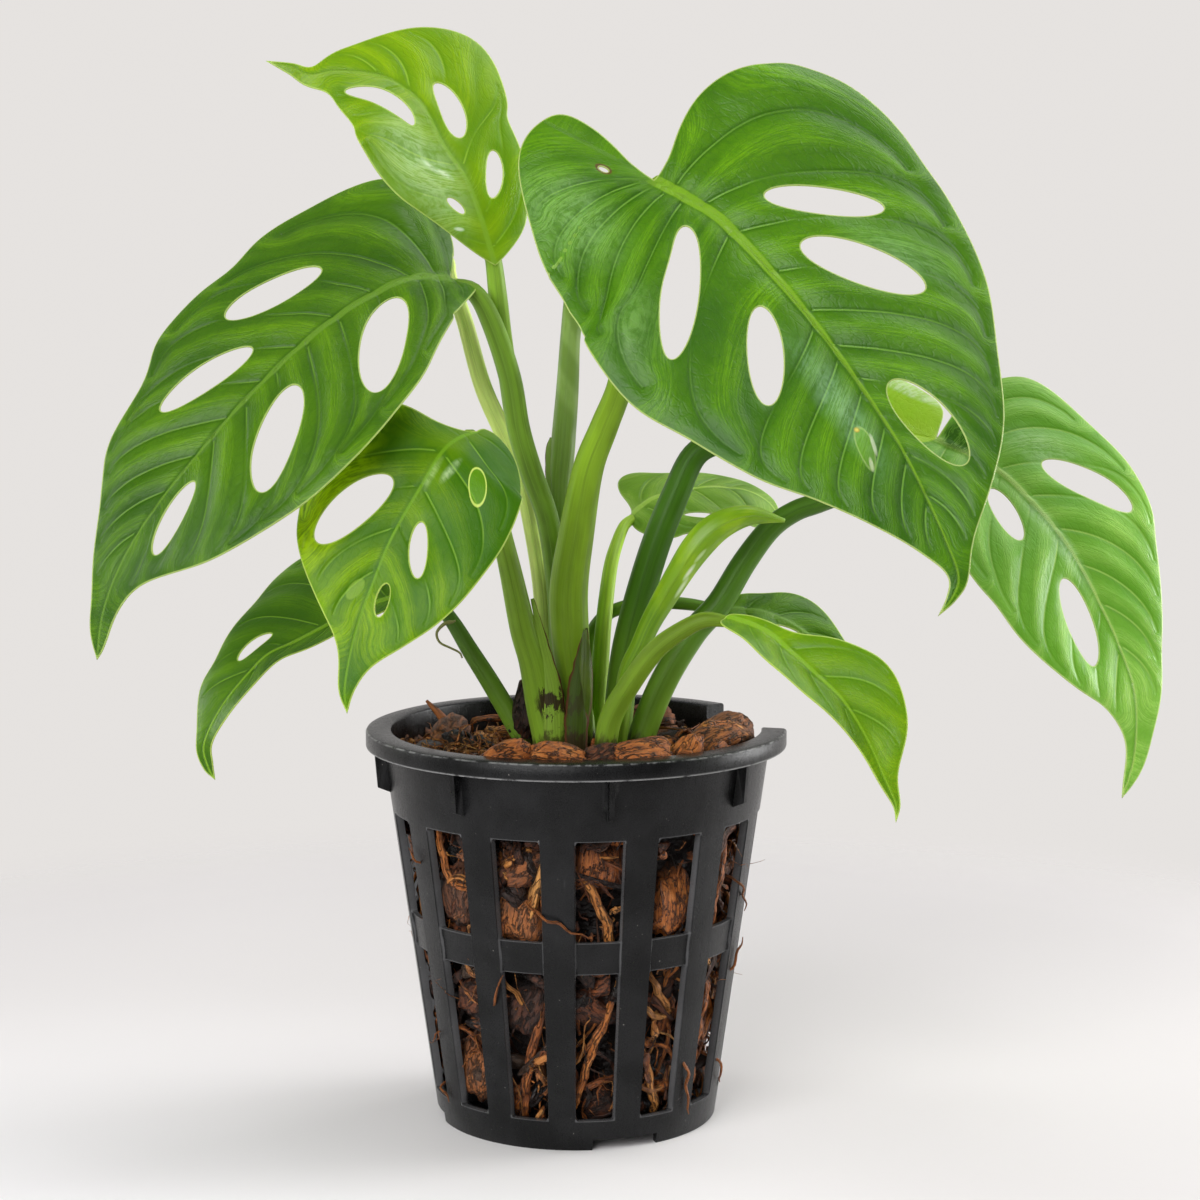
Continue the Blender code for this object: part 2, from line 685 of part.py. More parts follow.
def plant():
    return [
        Leaf(
            "leaf_large_right", GREEN,
            rib=[(21, -42, 266), (30, -46, 261), (41, -52, 253), (62, -66, 229), (80, -80, 203),
                 (88, -87, 188), (94, -93, 174), (96, -96, 166), (93, -98, 160)],
            face=(0.1, -0.9, 0.4), fold=(8, 8), curl=0.003,
            near=[(-8, -1), (-14, -3), (-24, -5), (-34, -4), (-37, 5), (-33, 16), (-19, 30), (-6, 40),
                  (15, 49), (49, 53), (73, 46), (91, 38), (105, 28), (117, 18), (128, 8), (138, 3)],
            far=[(0, -7), (-3, -17), (-4, -28), (0, -40), (7, -49), (18, -55), (28, -56), (42, -53.5),
                 (52, -52), (73, -46), (90, -37), (107, -27), (118, -18), (130, -7), (140, -2)],
            holes=[(25, -13, 45, -36, 8.1), (41, -11, 68, -30, 11.3), (16, 8, 48, 37, 10.2),
                   (49, 9, 75, 24, 9.4), (85, -7, 112, -13, 11)],
            stalk=[(0.5, -7, 109, 4.2), (0, -8, 124, 4.6), (-1.5, -9.5, 138, 5.3),
                   (-2, -11, 153, 5.4), (0, -12, 168, 5), (3.4, -15, 187, 4.3), (8, -19, 199.5, 3.9),
                   (12.2, -24, 211, 3.5), (14.4, -30, 226, 3.2), (16, -35, 239.5, 3),
                   (17.5, -39, 253, 2.8), (20.8, -42.5, 264, 2.4)],
            ridge=2.3),
        Leaf(
            "leaf_large_left", DARK_GREEN,
            rib=[(-34, -15, 240), (-45, -22, 240), (-59, -32, 233), (-72, -42, 223), (-86, -52, 209),
                 (-98, -58, 195), (-109, -63, 181), (-117, -66, 168), (-122, -69, 155),
                 (-124, -71, 142)],
            face=(-0.25, -0.75, 0.6), fold=(5, 12), curl=0.003,
            near=[(-6, 14), (-8, 32), (1, 42), (19, 44), (31, 43), (42, 39), (55, 40), (72, 38),
                  (85, 31), (103, 26), (112, 20), (124, 12), (138, 5), (148, 3)],
            far=[(-7, -3), (-3, -8), (12, -22), (37, -36), (55, -41), (69, -43), (80, -42), (91, -39),
                 (106, -33), (115, -27), (124, -18), (133, -8), (142, -4), (150, -2)],
            holes=[(29, 18, 56, 25, 10.2), (60, 11, 89, 19, 9), (22, -6, 55, -32, 12.7),
                   (64, -9, 93, -27, 11.8), (100, -5, 122, -9, 7)],
            stalk=[(-3.2, 1, 107, 3.2), (-4.1, 1, 123, 3.2), (-4.6, 1, 137.5, 3.2),
                   (-5.4, 0, 153, 3.2), (-7.9, -5, 172, 3.2), (-12.3, -8, 185.5, 3.3),
                   (-15.8, -10, 198, 3.3), (-18.2, -11, 212.5, 3.2), (-23.1, -12, 227.5, 3),
                   (-28, -13.5, 236, 2.6), (-34, -15.5, 239.5, 2.2)],
            ridge=2.1),
        Leaf(
            "leaf_young_top", BRIGHT_GREEN,
            rib=[(-22, -14, 243), (-26, -18, 257), (-30, -20, 267), (-36, -20, 276), (-42, -18, 287),
                 (-52, -14, 294), (-65, -10, 296), (-73, -8, 295), (-78, -8, 297), (-85, -8, 299)],
            face=(0.0, -0.95, 0.3), fold=(-20, 12), curl=0.002,
            near=[(1, 4), (4, 9), (8, 13), (18, 17), (28, 22), (40, 23), (45, 26), (54, 28), (58, 26),
                  (62, 24), (64, 20), (66, 15), (73, 11), (78, 8), (84, 3), (89, 2)],
            far=[(3, -3), (10, -9), (23, -15), (35, -20), (45, -22), (58, -19.5), (71, -16), (79, -9),
                 (84, -4), (89, -2.5)],
            holes=[(45, -5, 73, -6, 4.9), (36, 6, 52, 8, 6.8), (18, 5, 28, 12, 5),
                   (17, -4, 23, -7, 2.2)],
            stalk=[(3, 6.8, 107, 2.8), (1, 8, 122, 2.8), (-1.8, 8, 137, 2.9), (-5, 8, 157, 2.9),
                   (-8.9, 8, 168, 2.9), (-13, 8, 182.5, 2.8), (-16.9, 7, 197, 2.8),
                   (-19.1, 4, 211, 2.7), (-20.7, -1, 223.5, 2.7), (-21.5, -8, 233.5, 2.6),
                   (-22.3, -13.5, 243, 2.3)],
            ridge=2.2),
        Leaf(
            "leaf_small_front", BRIGHT_GREEN,
            rib=[(-26, -49, 200), (-31, -54, 198), (-35, -58, 194.5), (-39.5, -62, 187),
                 (-47, -67, 174), (-52, -71, 162), (-56.5, -74, 149), (-59, -77, 136),
                 (-58.5, -78, 129)],
            face=(-0.1, -0.9, 0.35), fold=(10, 10), curl=0.004,
            near=[(5, 3), (8, 8), (9, 14), (12, 23), (17, 28), (30, 30), (42, 26), (48, 24), (55, 19),
                  (62, 12), (69, 5), (75, 2.5), (81, 2)],
            far=[(-4, 0), (-5, -5), (-4, -12), (0, -19), (9, -25), (20, -27), (31, -28), (46, -26),
                 (57, -21), (68, -13), (75, -6), (81, -3)],
            holes=[(26, 8, 48, 18, 10), (33, -5, 48, -11, 4.9), (52, -3.5, 61, -4.5, 3.5)],
            stalk=[(-8.1, -15, 110, 4.3), (-9.8, -15.5, 120.5, 4.3), (-12, -17, 133.5, 3.9),
                   (-14.7, -19, 143, 3.6), (-18, -24, 160, 3), (-19.8, -27, 168.5, 2.8),
                   (-22, -33, 180, 2.6), (-23.8, -40, 190, 2.4), (-25.8, -47, 198.5, 2.1)],
            ridge=1.7),
        Leaf(
            "leaf_low_left", DARK_GREEN,
            rib=[(-50, 4, 150), (-64, 0, 145), (-78, -4, 138), (-87, -8, 134), (-94, -12, 127),
                 (-100, -15, 119), (-104, -17, 110), (-103, -18, 104), (-101, -18, 100)],
            face=(-0.35, -0.6, 0.7), fold=(0, 27), curl=0.003,
            near=[(-4, 6), (-2, 18), (5, 30), (15, 37), (21, 36), (29, 32), (38, 23), (50, 15),
                  (59, 13), (66, 8), (73, 3), (79, 2)],
            far=[(-3, -4), (2, -7), (12, -9), (26, -10.5), (36, -9), (45, -8), (62, -6), (71, -3.5),
                 (79, -2)],
            holes=[(37, 8, 48, 7, 4.1)],
            stalk=[(-15.3, 2, 107, 2.8), (-18, 2, 113, 2.8), (-24.7, 3, 124.5, 2.7),
                   (-30.4, 4, 133.5, 2.5), (-35.3, 5, 141.5, 2.2), (-39, 5, 146, 2),
                   (-44.1, 5, 149, 1.8), (-51, 4, 150, 1.5)],
            ridge=1.4),
        Leaf(
            "leaf_far_right", GREEN,
            rib=[(101, -5, 195), (117, -14, 187), (130, -20, 174), (138, -22, 163), (145, -23, 150),
                 (151, -24, 137), (155, -24, 124), (155, -24, 108), (152, -24, 96)],
            face=(0.25, -0.85, 0.4), fold=(14, 4), curl=0.003,
            near=[(-6, -2), (-16, -7), (-25, -10), (-26, -2), (-14, 9), (1, 18), (17, 27), (39, 33),
                  (51, 32), (64, 30), (79, 24), (90, 16), (100, 8), (108, 3), (116, 2)],
            far=[(-1, -8), (-1, -17), (0, -23), (5, -28), (11, -32), (24, -32), (37, -33), (46, -32),
                 (54, -30), (60, -26), (70, -21), (87, -12), (103, -6), (112, -4), (120, -2)],
            holes=[(27, -11, 51, -24, 8.8), (23, 7, 40, 12, 7.6), (56, 7.5, 82, 11, 9.5)],
            stalk=[(18.1, -6, 108.5, 3.9), (24.3, -5, 125, 3.9), (33, -4, 139.5, 3.8),
                   (40.5, -3, 148, 3.7), (47.5, -2, 159.5, 3.5), (54.8, -1, 169, 3.2),
                   (62, 0, 174, 3), (69, 0, 176.5, 2.9), (80, -1, 181, 2.7), (91, -3, 188.5, 2.5),
                   (101.5, -5.5, 194.5, 2.1)],
            ridge=1.9),
        Leaf(
            "leaf_small_back", GREEN,
            rib=[(16, 45, 169), (22, 47, 173), (30, 48.5, 175.5), (40, 49.5, 176.5), (50, 50, 175.5),
                 (57, 50, 172), (61, 49.5, 167)],
            face=(0.05, -0.35, 0.95), fold=(-12, 0), curl=0.0,
            near=[(-3, 4), (-2, 9), (0, 15), (5, 19), (13, 20), (22, 21), (31, 20), (40, 16),
                  (49, 10)],
            far=[(2, -4), (3, -12), (6, -19), (9, -19), (13, -14), (19, -12), (25, -11), (33, -8),
                 (42, -5), (48, -3)],
            holes=[(15, 12, 29, 15, 2.4)],
            stalk=[(5.6, 12, 105.5, 2.5), (6.8, 12, 127, 2.4), (7.9, 13, 141.5, 2.3),
                   (9.7, 20, 155, 2.1), (11.7, 28, 161.5, 1.9), (14, 37, 166, 1.7),
                   (16.3, 43.5, 169.3, 1.5)],
            ridge=1.4),
        Leaf(
            "leaf_low_right", BRIGHT_GREEN,
            rib=[(41, -36, 149), (51, -44, 146), (59, -50, 140), (66, -54, 134), (72, -57, 128),
                 (78, -59, 118), (82, -61, 109), (85, -62, 102), (85, -62, 97)],
            face=(-0.2, -0.5, 0.85), fold=(35, 20), curl=0.003,
            near=[(1, 5), (6, 9), (11, 10.5), (21, 12), (28, 12), (39, 11), (48, 7), (59, 3.5),
                  (68, 2)],
            far=[(1, -2), (7, -3), (18, -4), (24, -8), (30, -12), (40, -16), (45, -16), (50, -14.5),
                 (56, -12), (62, -7), (68, -3)],
            holes=[],
            stalk=[(8.4, -22, 111, 3.2), (10.1, -23, 119.5, 3.2), (15.6, -26, 129.5, 3),
                   (22, -29, 138.5, 2.8), (29.4, -32, 144.5, 2.5), (35.4, -34, 147.5, 2.2),
                   (42, -37, 149, 1.9)],
            ridge=1.5),
        Leaf(
            "leaf_low_back", DARK_GREEN,
            rib=[(44, 25, 143), (54, 24, 142), (64, 22, 138), (73, 19, 131), (80, 16, 123),
                 (85, 14, 116)],
            face=(0.0, -0.5, 0.85), fold=(5, 5), curl=0.002,
            near=[(-1, 4), (2, 8), (8, 12), (14, 13), (31, 13), (40, 10), (47, 6)],
            far=[(-1, -3), (1, -6), (4, -8), (9, -8), (14, -12), (20, -13), (26, -11), (33, -8),
                 (44, -4)],
            holes=[(16, 3, 24, 1.5, 2.0)],
            stalk=[(3.1, 20, 104, 2), (3, 20, 119.5, 2), (3.4, 20.5, 129.5, 2),
                   (4.5, 21, 136.5, 1.9), (8.5, 21.5, 141.5, 1.9), (14.6, 22, 144, 1.9),
                   (21.4, 23, 145, 1.8), (31, 24, 144.5, 1.8), (38, 25, 143.3, 1.6),
                   (45, 25, 142.8, 1.4)],
            ridge=1.2),
        Leaf(
            "leaf_turned_right", DARK_GREEN,
            rib=[(69, -2, 206), (72, 20, 205), (75, 45, 202), (77, 66, 194)],
            face=(-1.0, 0.0, 0.1), fold=(6, 6), curl=0.003,
            near=[(-6, 4), (-6, 11), (0, 17), (12, 20), (28, 19), (44, 14), (56, 7)],
            far=[(-6, -4), (-6, -11), (0, -17), (12, -20), (28, -19), (44, -14), (56, -7)],
            holes=[(14, 6, 27, 12, 4.5), (18, -6, 32, -11, 4)],
            stalk=[(11.4, 3.5, 107, 4), (13.3, 3, 128, 4.1), (16.2, 2, 142.5, 4.2),
                   (22, 0, 163, 4.1), (28, 0, 178.5, 3.9), (33.6, 0, 190, 3.6), (42, 0, 194, 3.3),
                   (53, 0, 196.5, 3), (63, -1, 200.5, 2.7), (69.5, -1, 206, 2.2)],
            ridge=1.8),
        Leaf(
            "leaf_turned_left", GREEN,
            rib=[(-38, 8, 244), (-40, 25, 244), (-42, 42, 240), (-43, 58, 233)],
            face=(-1.0, 0.0, 0.1), fold=(6, 6), curl=0.003,
            near=[(-4, 3), (-5, 8), (0, 12), (10, 15), (22, 14), (36, 10), (46, 5)],
            far=[(-4, -3), (-5, -8), (0, -12), (10, -15), (22, -14), (36, -10), (46, -5)],
            holes=[(12, 4, 22, 9, 3.5)],
            stalk=[(-8.5, 5, 108, 2.7), (-8.7, 5, 123.5, 2.7), (-9, 5, 138, 2.7),
                   (-10.5, 4.5, 157.5, 2.7), (-15.5, 2, 184, 2.6), (-20.6, 2, 196, 2.6),
                   (-26.5, 3, 209.5, 2.5), (-31.5, 4, 227.5, 2.3), (-35.6, 6, 239, 2.1),
                   (-38.3, 9, 244.5, 1.8)],
            ridge=1.5),
        Leaf(
            "leaf_rolled", BRIGHT_GREEN,
            stalk=[(11.6, -10, 109.5, 2.8), (14.3, -12, 128.5, 2.8), (18, -14, 137.5, 2.8),
                   (21.3, -15, 145, 3), (28.4, -17, 158, 3.7), (34, -18, 166.5, 4.3),
                   (40, -18, 172, 4.1), (48, -17.5, 174.5, 2.9), (58, -17, 173, 0.5)]),
        Leaf(
            "leaf_spear", GREEN,
            stalk=[(-4.2, 15, 106, 3.5), (-4.2, 15, 136, 3.5), (-4.7, 15, 159, 3.5),
                   (-4.9, 14, 179, 3.5), (-3.8, 12, 192, 3.5), (-2.6, 10, 209, 3.2),
                   (-1.7, 8, 223.5, 2.9), (0, 6, 236, 3.3), (2.6, 4, 253, 2.8), (5, 3, 267, 0.5)]),
        Leaf(
            "sheath_scale", BRIGHT_GREEN,
            stalk=[(-0.2, -16, 110.5, 2.9), (2, -16, 122.5, 2.9), (2.5, -17, 134, 2.1),
                   (2.6, -17.5, 142.5, 0.5)]),
    ]


def main():
    clear_scene()
    parts = make_collection(COLLECTION_NAME)
    cutters = make_collection(CUTTER_COLLECTION_NAME)
    leaves = plant()

    pot = make_pot(parts, cutters)
    finish(pot, make_material("pot", (0.028, 0.029, 0.031), 0.42))

    mix = make_mix(parts, cutters, [leaf.stalk for leaf in leaves])
    finish(mix, make_material("potting_mix", (0.16, 0.075, 0.03), 0.85))

    for leaf in leaves:
        item = make_leaf(leaf, parts, cutters)
        finish(item, make_material(leaf.name, leaf.colour, 0.38))


main()
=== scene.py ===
"""Looks of a Swiss cheese vine (Monstera adansonii) in a slotted nursery pot.

Sizes are in millimetres and turned into metres where a mesh is made. The
origin is the centre of the pot's foot, +Z is up and the viewer stands at -Y.
"""
import logging
import math
from dataclasses import dataclass, replace
from enum import Enum

import bpy
import numpy as np
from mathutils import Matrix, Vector, geometry


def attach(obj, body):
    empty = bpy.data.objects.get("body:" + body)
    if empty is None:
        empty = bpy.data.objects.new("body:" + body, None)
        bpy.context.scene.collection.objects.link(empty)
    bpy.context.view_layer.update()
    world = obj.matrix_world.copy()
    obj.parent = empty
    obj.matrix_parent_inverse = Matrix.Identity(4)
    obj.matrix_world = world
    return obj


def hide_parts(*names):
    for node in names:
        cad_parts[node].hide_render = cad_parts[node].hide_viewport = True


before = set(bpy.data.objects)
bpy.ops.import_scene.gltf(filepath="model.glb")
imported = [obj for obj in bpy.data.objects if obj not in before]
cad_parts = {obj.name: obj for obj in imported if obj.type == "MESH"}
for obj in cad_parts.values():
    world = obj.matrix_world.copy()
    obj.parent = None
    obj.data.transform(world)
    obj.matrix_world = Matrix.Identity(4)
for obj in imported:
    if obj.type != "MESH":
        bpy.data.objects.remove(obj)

LOG = logging.getLogger("monstera")
MM = 0.001
ROOT = "root"
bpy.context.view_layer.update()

# How far a stalk runs on below its first given point
BURIED = 11.0
# Radius of the circle on which the markings round a tube are read
TUBE_ROUND = 3.0
# Angles in degrees and lengths closer than this are the same
SAME = 0.01

Colour = tuple[float, float, float]
Point = tuple[float, float, float]
Station = tuple[float, float, float, float]

FOOT_GREEN: Colour = (0.24, 0.40, 0.035)
STALK_SPECK: Colour = (0.03, 0.05, 0.01)
SCAR_COLOURS: tuple[Colour, Colour] = ((0.012, 0.005, 0.004), (0.045, 0.012, 0.008))
SHEATH_TEAR_COLOURS: tuple[Colour, Colour] = ((0.012, 0.006, 0.004), (0.05, 0.018, 0.01))
FOOT_SOIL: Colour = (0.030, 0.017, 0.006)
PLASTIC: tuple[Colour, Colour] = ((0.0036, 0.0037, 0.0039), (0.0100, 0.0102, 0.0107))
PLASTIC_SCUFF: Colour = (0.085, 0.085, 0.088)
# Painted highlight along the windows' edges
PLASTIC_EDGE_HIGHLIGHT: Colour = (0.15, 0.15, 0.155)
PLASTIC_WORN: Colour = (0.42, 0.42, 0.42)
DUST: Colour = (0.42, 0.40, 0.37)
POT_SOIL: Colour = (0.05, 0.022, 0.010)
HUSK_STOPS: list[tuple[float, Colour]] = [
    (0.0, (0.005, 0.003, 0.0025)), (0.2, (0.030, 0.009, 0.004)), (0.45, (0.150, 0.038, 0.009)),
    (0.70, (0.430, 0.122, 0.018)), (1.0, (0.62, 0.29, 0.075))]
# Painted shade in the husk's grooves and wrinkles
HUSK_GROOVE_SHADE: Colour = (0.012, 0.005, 0.003)
HUSK_WRINKLE_SHADE: Colour = (0.008, 0.004, 0.003)
HUSK_STRAND: Colour = (0.62, 0.30, 0.08)
HUSK_DRY: Colour = (0.15, 0.085, 0.045)
# Painted shade deep inside the pot
HUSK_DEEP_SHADE: Colour = (0.006, 0.003, 0.002)


class Slot(Enum):
    """The record's material slots."""

    POT = "pot"
    MIX = "potting_mix"
    MATURE = "mature_leaf"
    DARK = "dark_leaf"
    YOUNG = "young_leaf"


class Scalar:
    """A number socket; arithmetic on it adds Math nodes to its graph."""

    def __init__(self, graph: "Graph", socket: bpy.types.NodeSocket) -> None:
        """Wrap one output socket of a graph."""
        self.graph = graph
        self.socket = socket

    def math(self, operation: str, *others: "Scalar | float", clamp: bool = False) -> "Scalar":
        """Apply a Math node to this value and up to two others.

        Args:
            operation: The Math node's operation.
            others: The further operands.
            clamp: Whether the result is kept between 0 and 1.

        Returns:
            The result as a new value.
        """
        return self.graph.math(operation, self, *others, clamp=clamp)

    def __add__(self, other: "Scalar | float") -> "Scalar":
        """Sum."""
        return self.math("ADD", other)

    __radd__ = __add__

    def __sub__(self, other: "Scalar | float") -> "Scalar":
        """Difference."""
        return self.math("SUBTRACT", other)

    def __rsub__(self, other: float) -> "Scalar":
        """Difference from a plain number."""
        return self.graph.math("SUBTRACT", other, self)

    def __mul__(self, other: "Scalar | float") -> "Scalar":
        """Product."""
        return self.math("MULTIPLY", other)

    __rmul__ = __mul__

    def __truediv__(self, other: "Scalar | float") -> "Scalar":
        """Quotient."""
        return self.math("DIVIDE", other)

    def __pow__(self, other: float) -> "Scalar":
        """Power."""
        return self.math("POWER", other)

    def clip(self) -> "Scalar":
        """The value kept between 0 and 1."""
        return self.math("ADD", 0.0, clamp=True)

    def rise(self, low: float, high: float) -> "Scalar":
        """A smooth step from 0 at low to 1 at high; it falls where low is above high.

        Args:
            low: Where the step is 0.
            high: Where the step is 1.

        Returns:
            The step's value.
        """
        share = ((self - low) / (high - low)).clip()
        return share * share * (3.0 - 2.0 * share)


class Tree:
    """A node tree with short ways to add nodes to it."""

    def __init__(self, tree: bpy.types.NodeTree) -> None:
        """Wrap a material's or a world's tree."""
        self.nodes = tree.nodes
        self.links = tree.links

    def node(self, kind: str, settings: dict[str, object] | None = None,
             inputs: dict[str | int, object] | None = None) -> bpy.types.Node:
        """Add a node.

        Args:
            kind: The node's type.
            settings: Attributes set first; "stops" fills a colour ramp.
            inputs: Values, sockets or Scalars by input name or index.

        Returns:
            The new node.
        """
        node = self.nodes.new(kind)
        for key, value in (settings or {}).items():
            if key == "stops":
                ramp = node.color_ramp
                while len(ramp.elements) < len(value):
                    ramp.elements.new(1.0)
                for element, (place, colour) in zip(ramp.elements, value):
                    element.position = place
                    element.color = (*colour, 1.0)
            else:
                setattr(node, key, value)
        for key, value in (inputs or {}).items():
            self.feed(node.inputs[key], value)
        return node

    def feed(self, socket: bpy.types.NodeSocket, value: object) -> None:
        """Link or set one input socket.

        Args:
            socket: The input.
            value: A Scalar, an output socket or a plain value.
        """
        if isinstance(value, Scalar):
            self.links.new(value.socket, socket)
        elif isinstance(value, bpy.types.NodeSocket):
            self.links.new(value, socket)
        elif isinstance(value, tuple) and len(value) == 3 and socket.type == "RGBA":
            socket.default_value = (*value, 1.0)
        else:
            socket.default_value = value

    def mix(self, share: object, low: object, high: object) -> bpy.types.NodeSocket:
        """Blend two colours.

        Args:
            share: How much of the second colour.
            low: The first colour.
            high: The second colour.

        Returns:
            The blended colour's socket.
        """
        node = self.node("ShaderNodeMix", {"data_type": "RGBA"}, {0: share, 6: low, 7: high})
        return node.outputs[2]

    def ramp(self, value: object, stops: list[tuple[float, Colour]]) -> bpy.types.NodeSocket:
        """A colour by a value, through stops of (place, colour)."""
        return self.node("ShaderNodeValToRGB", {"stops": stops}, {0: value}).outputs[0]


class Graph(Tree):
    """One material's node tree round a Principled shader."""

    def __init__(self, name: str) -> None:
        """Start a material with a Principled shader and its output.

        Args:
            name: The material's name, in a maker's words.
        """
        self.material = bpy.data.materials.new(name)
        self.material.use_nodes = True
        super().__init__(self.material.node_tree)
        self.shader = self.nodes["Principled BSDF"]

    def math(self, operation: str, *operands: "Scalar | float", clamp: bool = False) -> Scalar:
        """Add a Math node.

        Args:
            operation: The Math node's operation.
            operands: One to three values.
            clamp: Whether the result is kept between 0 and 1.

        Returns:
            The result.
        """
        settings = {"operation": operation, "use_clamp": clamp}
        node = self.node("ShaderNodeMath", settings, dict(enumerate(operands)))
        return Scalar(self, node.outputs[0])

    def attribute(self, name: str) -> tuple[Scalar, Scalar, Scalar]:
        """Read a vector attribute of the mesh.

        Args:
            name: The attribute's name.

        Returns:
            Its three components.
        """
        source = self.node("ShaderNodeAttribute", {"attribute_name": name})
        parts = self.node("ShaderNodeSeparateXYZ", inputs={0: source.outputs["Vector"]})
        return tuple(Scalar(self, output) for output in parts.outputs)

    def place(self) -> tuple[Scalar, Scalar, Scalar]:
        """Object coordinates in millimetres."""
        source = self.node("ShaderNodeTexCoord")
        parts = self.node("ShaderNodeSeparateXYZ", inputs={0: source.outputs["Object"]})
        return tuple(Scalar(self, output) / MM for output in parts.outputs)

    def vector(self, x: object, y: object, z: object) -> bpy.types.NodeSocket:
        """Join three values into a vector socket."""
        return self.node("ShaderNodeCombineXYZ", inputs={0: x, 1: y, 2: z}).outputs[0]

    def noise(self, vector: bpy.types.NodeSocket, scale: float, detail: float = 2.0,
              rough: float = 0.5) -> Scalar:
        """Noise between about 0.2 and 0.8.

        Args:
            vector: Where it is read.
            scale: Features for each unit.
            detail: Octaves.
            rough: How strong the finer octaves are.

        Returns:
            The noise value.
        """
        inputs = {"Vector": vector, "Scale": scale, "Detail": detail, "Roughness": rough}
        return Scalar(self, self.node("ShaderNodeTexNoise", inputs=inputs).outputs[0])

    def wrapped(self, angle: Scalar) -> tuple[Scalar, Scalar]:
        """The angle round a tube as two coordinates that have no seam."""
        return angle.math("COSINE") * TUBE_ROUND, angle.math("SINE") * TUBE_ROUND

    def cells(self, vector: bpy.types.NodeSocket, scale: float) -> Scalar:
        """Distance to the edges of a net of irregular cells.

        Args:
            vector: Where it is read.
            scale: Cells in a length of one.

        Returns:
            The distance, in shares of a cell.
        """
        settings = {"feature": "DISTANCE_TO_EDGE"}
        node = self.node("ShaderNodeTexVoronoi", settings, {"Vector": vector, "Scale": scale})
        return Scalar(self, node.outputs["Distance"])

    def bump(self, height: Scalar, depth_mm: float, strength: float = 1.0) -> None:
        """Feed the shader's normal from a height between 0 and 1.

        Args:
            height: The height field.
            depth_mm: What a height of 1 stands for.
            strength: The bump's strength.
        """
        inputs = {"Strength": strength, "Distance": depth_mm * MM, "Height": height}
        node = self.node("ShaderNodeBump", inputs=inputs)
        self.feed(self.shader.inputs["Normal"], node.outputs[0])

    def set(self, **values: object) -> None:
        """Set or link the Principled shader's sockets; _ stands for a space."""
        for key, value in values.items():
            self.feed(self.shader.inputs[key.replace("_", " ")], value)


# Meshes from arrays

def smooth_path(points: object, steps: int = 16) -> np.ndarray:
    """A Catmull-Rom curve through the points.

    Each span is a cubic whose slopes are half the difference of its
    neighbours; the ends are continued straight on.

    Args:
        points: Rows of coordinates.
        steps: Points for each span.

    Returns:
        The curve's points.
    """
    p = np.array(points, float)
    p = np.vstack([2.0 * p[0] - p[1], p, 2.0 * p[-1] - p[-2]])
    t = (np.arange(steps) / steps)[None, :, None]
    a, b, c, d = p[:-3, None], p[1:-2, None], p[2:-1, None], p[3:, None]
    spans = 0.5 * (2.0 * b + (c - a) * t + (2.0 * a - 5.0 * b + 4.0 * c - d) * t ** 2
                   + (3.0 * b - a - 3.0 * c + d) * t ** 3)
    return np.vstack([spans.reshape(-1, p.shape[1]), p[-2]])


def resample(path: np.ndarray, spacing: float) -> np.ndarray:
    """The path's points at even distances of about spacing.

    Args:
        path: Rows of coordinates, in order.
        spacing: Distance from one point to the next.

    Returns:
        The new rows, with the first and last ones kept.
    """
    station = path_length(path)
    count = max(2, int(round(station[-1] / spacing)) + 1)
    places = np.linspace(0.0, station[-1], count)
    return at_station(path, station, places)


def path_length(path: np.ndarray) -> np.ndarray:
    """Distance along the path at each of its points."""
    steps = np.linalg.norm(np.diff(path[:, :3], axis=0), axis=1)
    return np.concatenate([[0.0], np.cumsum(steps)])


def at_station(path: np.ndarray, station: np.ndarray, places: np.ndarray) -> np.ndarray:
    """The path's points at the given distances along it."""
    columns = [np.interp(places, station, path[:, k]) for k in range(path.shape[1])]
    return np.stack(columns, axis=-1)


def unit(vectors: np.ndarray) -> np.ndarray:
    """The vectors at length 1."""
    return vectors / np.maximum(np.linalg.norm(vectors, axis=-1, keepdims=True), 1e-9)


def ripple(places: np.ndarray, wavelength: float, seed: int, waves: int = 7) -> np.ndarray:
    """A smooth random height between about -1 and 1.

    It is a sum of plane waves in random directions with wavelengths spread
    round the given one.

    Args:
        places: Rows of coordinates.
        wavelength: The typical distance from crest to crest.
        seed: Which random field.
        waves: How many plane waves are summed.

    Returns:
        One height for each row.
    """
    rng = np.random.default_rng(seed)
    directions = unit(rng.normal(size=(waves, places.shape[1])))
    lengths = wavelength * rng.uniform(0.7, 1.5, waves)
    phases = rng.uniform(0.0, 2.0 * math.pi, waves)
    angles = places @ directions.T * (2.0 * math.pi / lengths) + phases
    return np.sin(angles).sum(axis=1) / math.sqrt(waves) * 0.7


def grid_faces(rows: int, columns: int, start: int = 0, wrap: bool = True) -> np.ndarray:
    """Quads of a grid whose columns may close on themselves.

    Args:
        rows: Points along.
        columns: Points around.
        start: Index of the first point.
        wrap: Whether the last column joins the first.

    Returns:
        An array of quads.
    """
    r = np.arange(rows - 1)[:, None]
    c = np.arange(columns if wrap else columns - 1)[None, :]
    n = (c + 1) % columns
    quads = np.stack([r * columns + c, r * columns + n, (r + 1) * columns + n,
                      (r + 1) * columns + c], axis=-1)
    return quads.reshape(-1, 4) + start


def end_fans(rows: int, columns: int, low: int, high: int) -> np.ndarray:
    """Triangles that close both ends of a wrapped grid on two more points.

    Args:
        rows: The grid's rows.
        columns: Points around.
        low: Index of the point before the first row.
        high: Index of the point after the last row.

    Returns:
        An array of triangles.
    """
    c = np.arange(columns)
    n = (c + 1) % columns
    last = (rows - 1) * columns
    return np.vstack([np.stack([n, c, np.full(columns, low)], axis=-1),
                      np.stack([last + c, last + n, np.full(columns, high)], axis=-1)])


def repeated(faces: list[np.ndarray], count: int, per: int) -> list[np.ndarray]:
    """One item's faces for a row of count items with per points each."""
    shift = (np.arange(count) * per)[:, None, None]
    return [(face[None] + shift).reshape(-1, face.shape[1]) for face in faces]


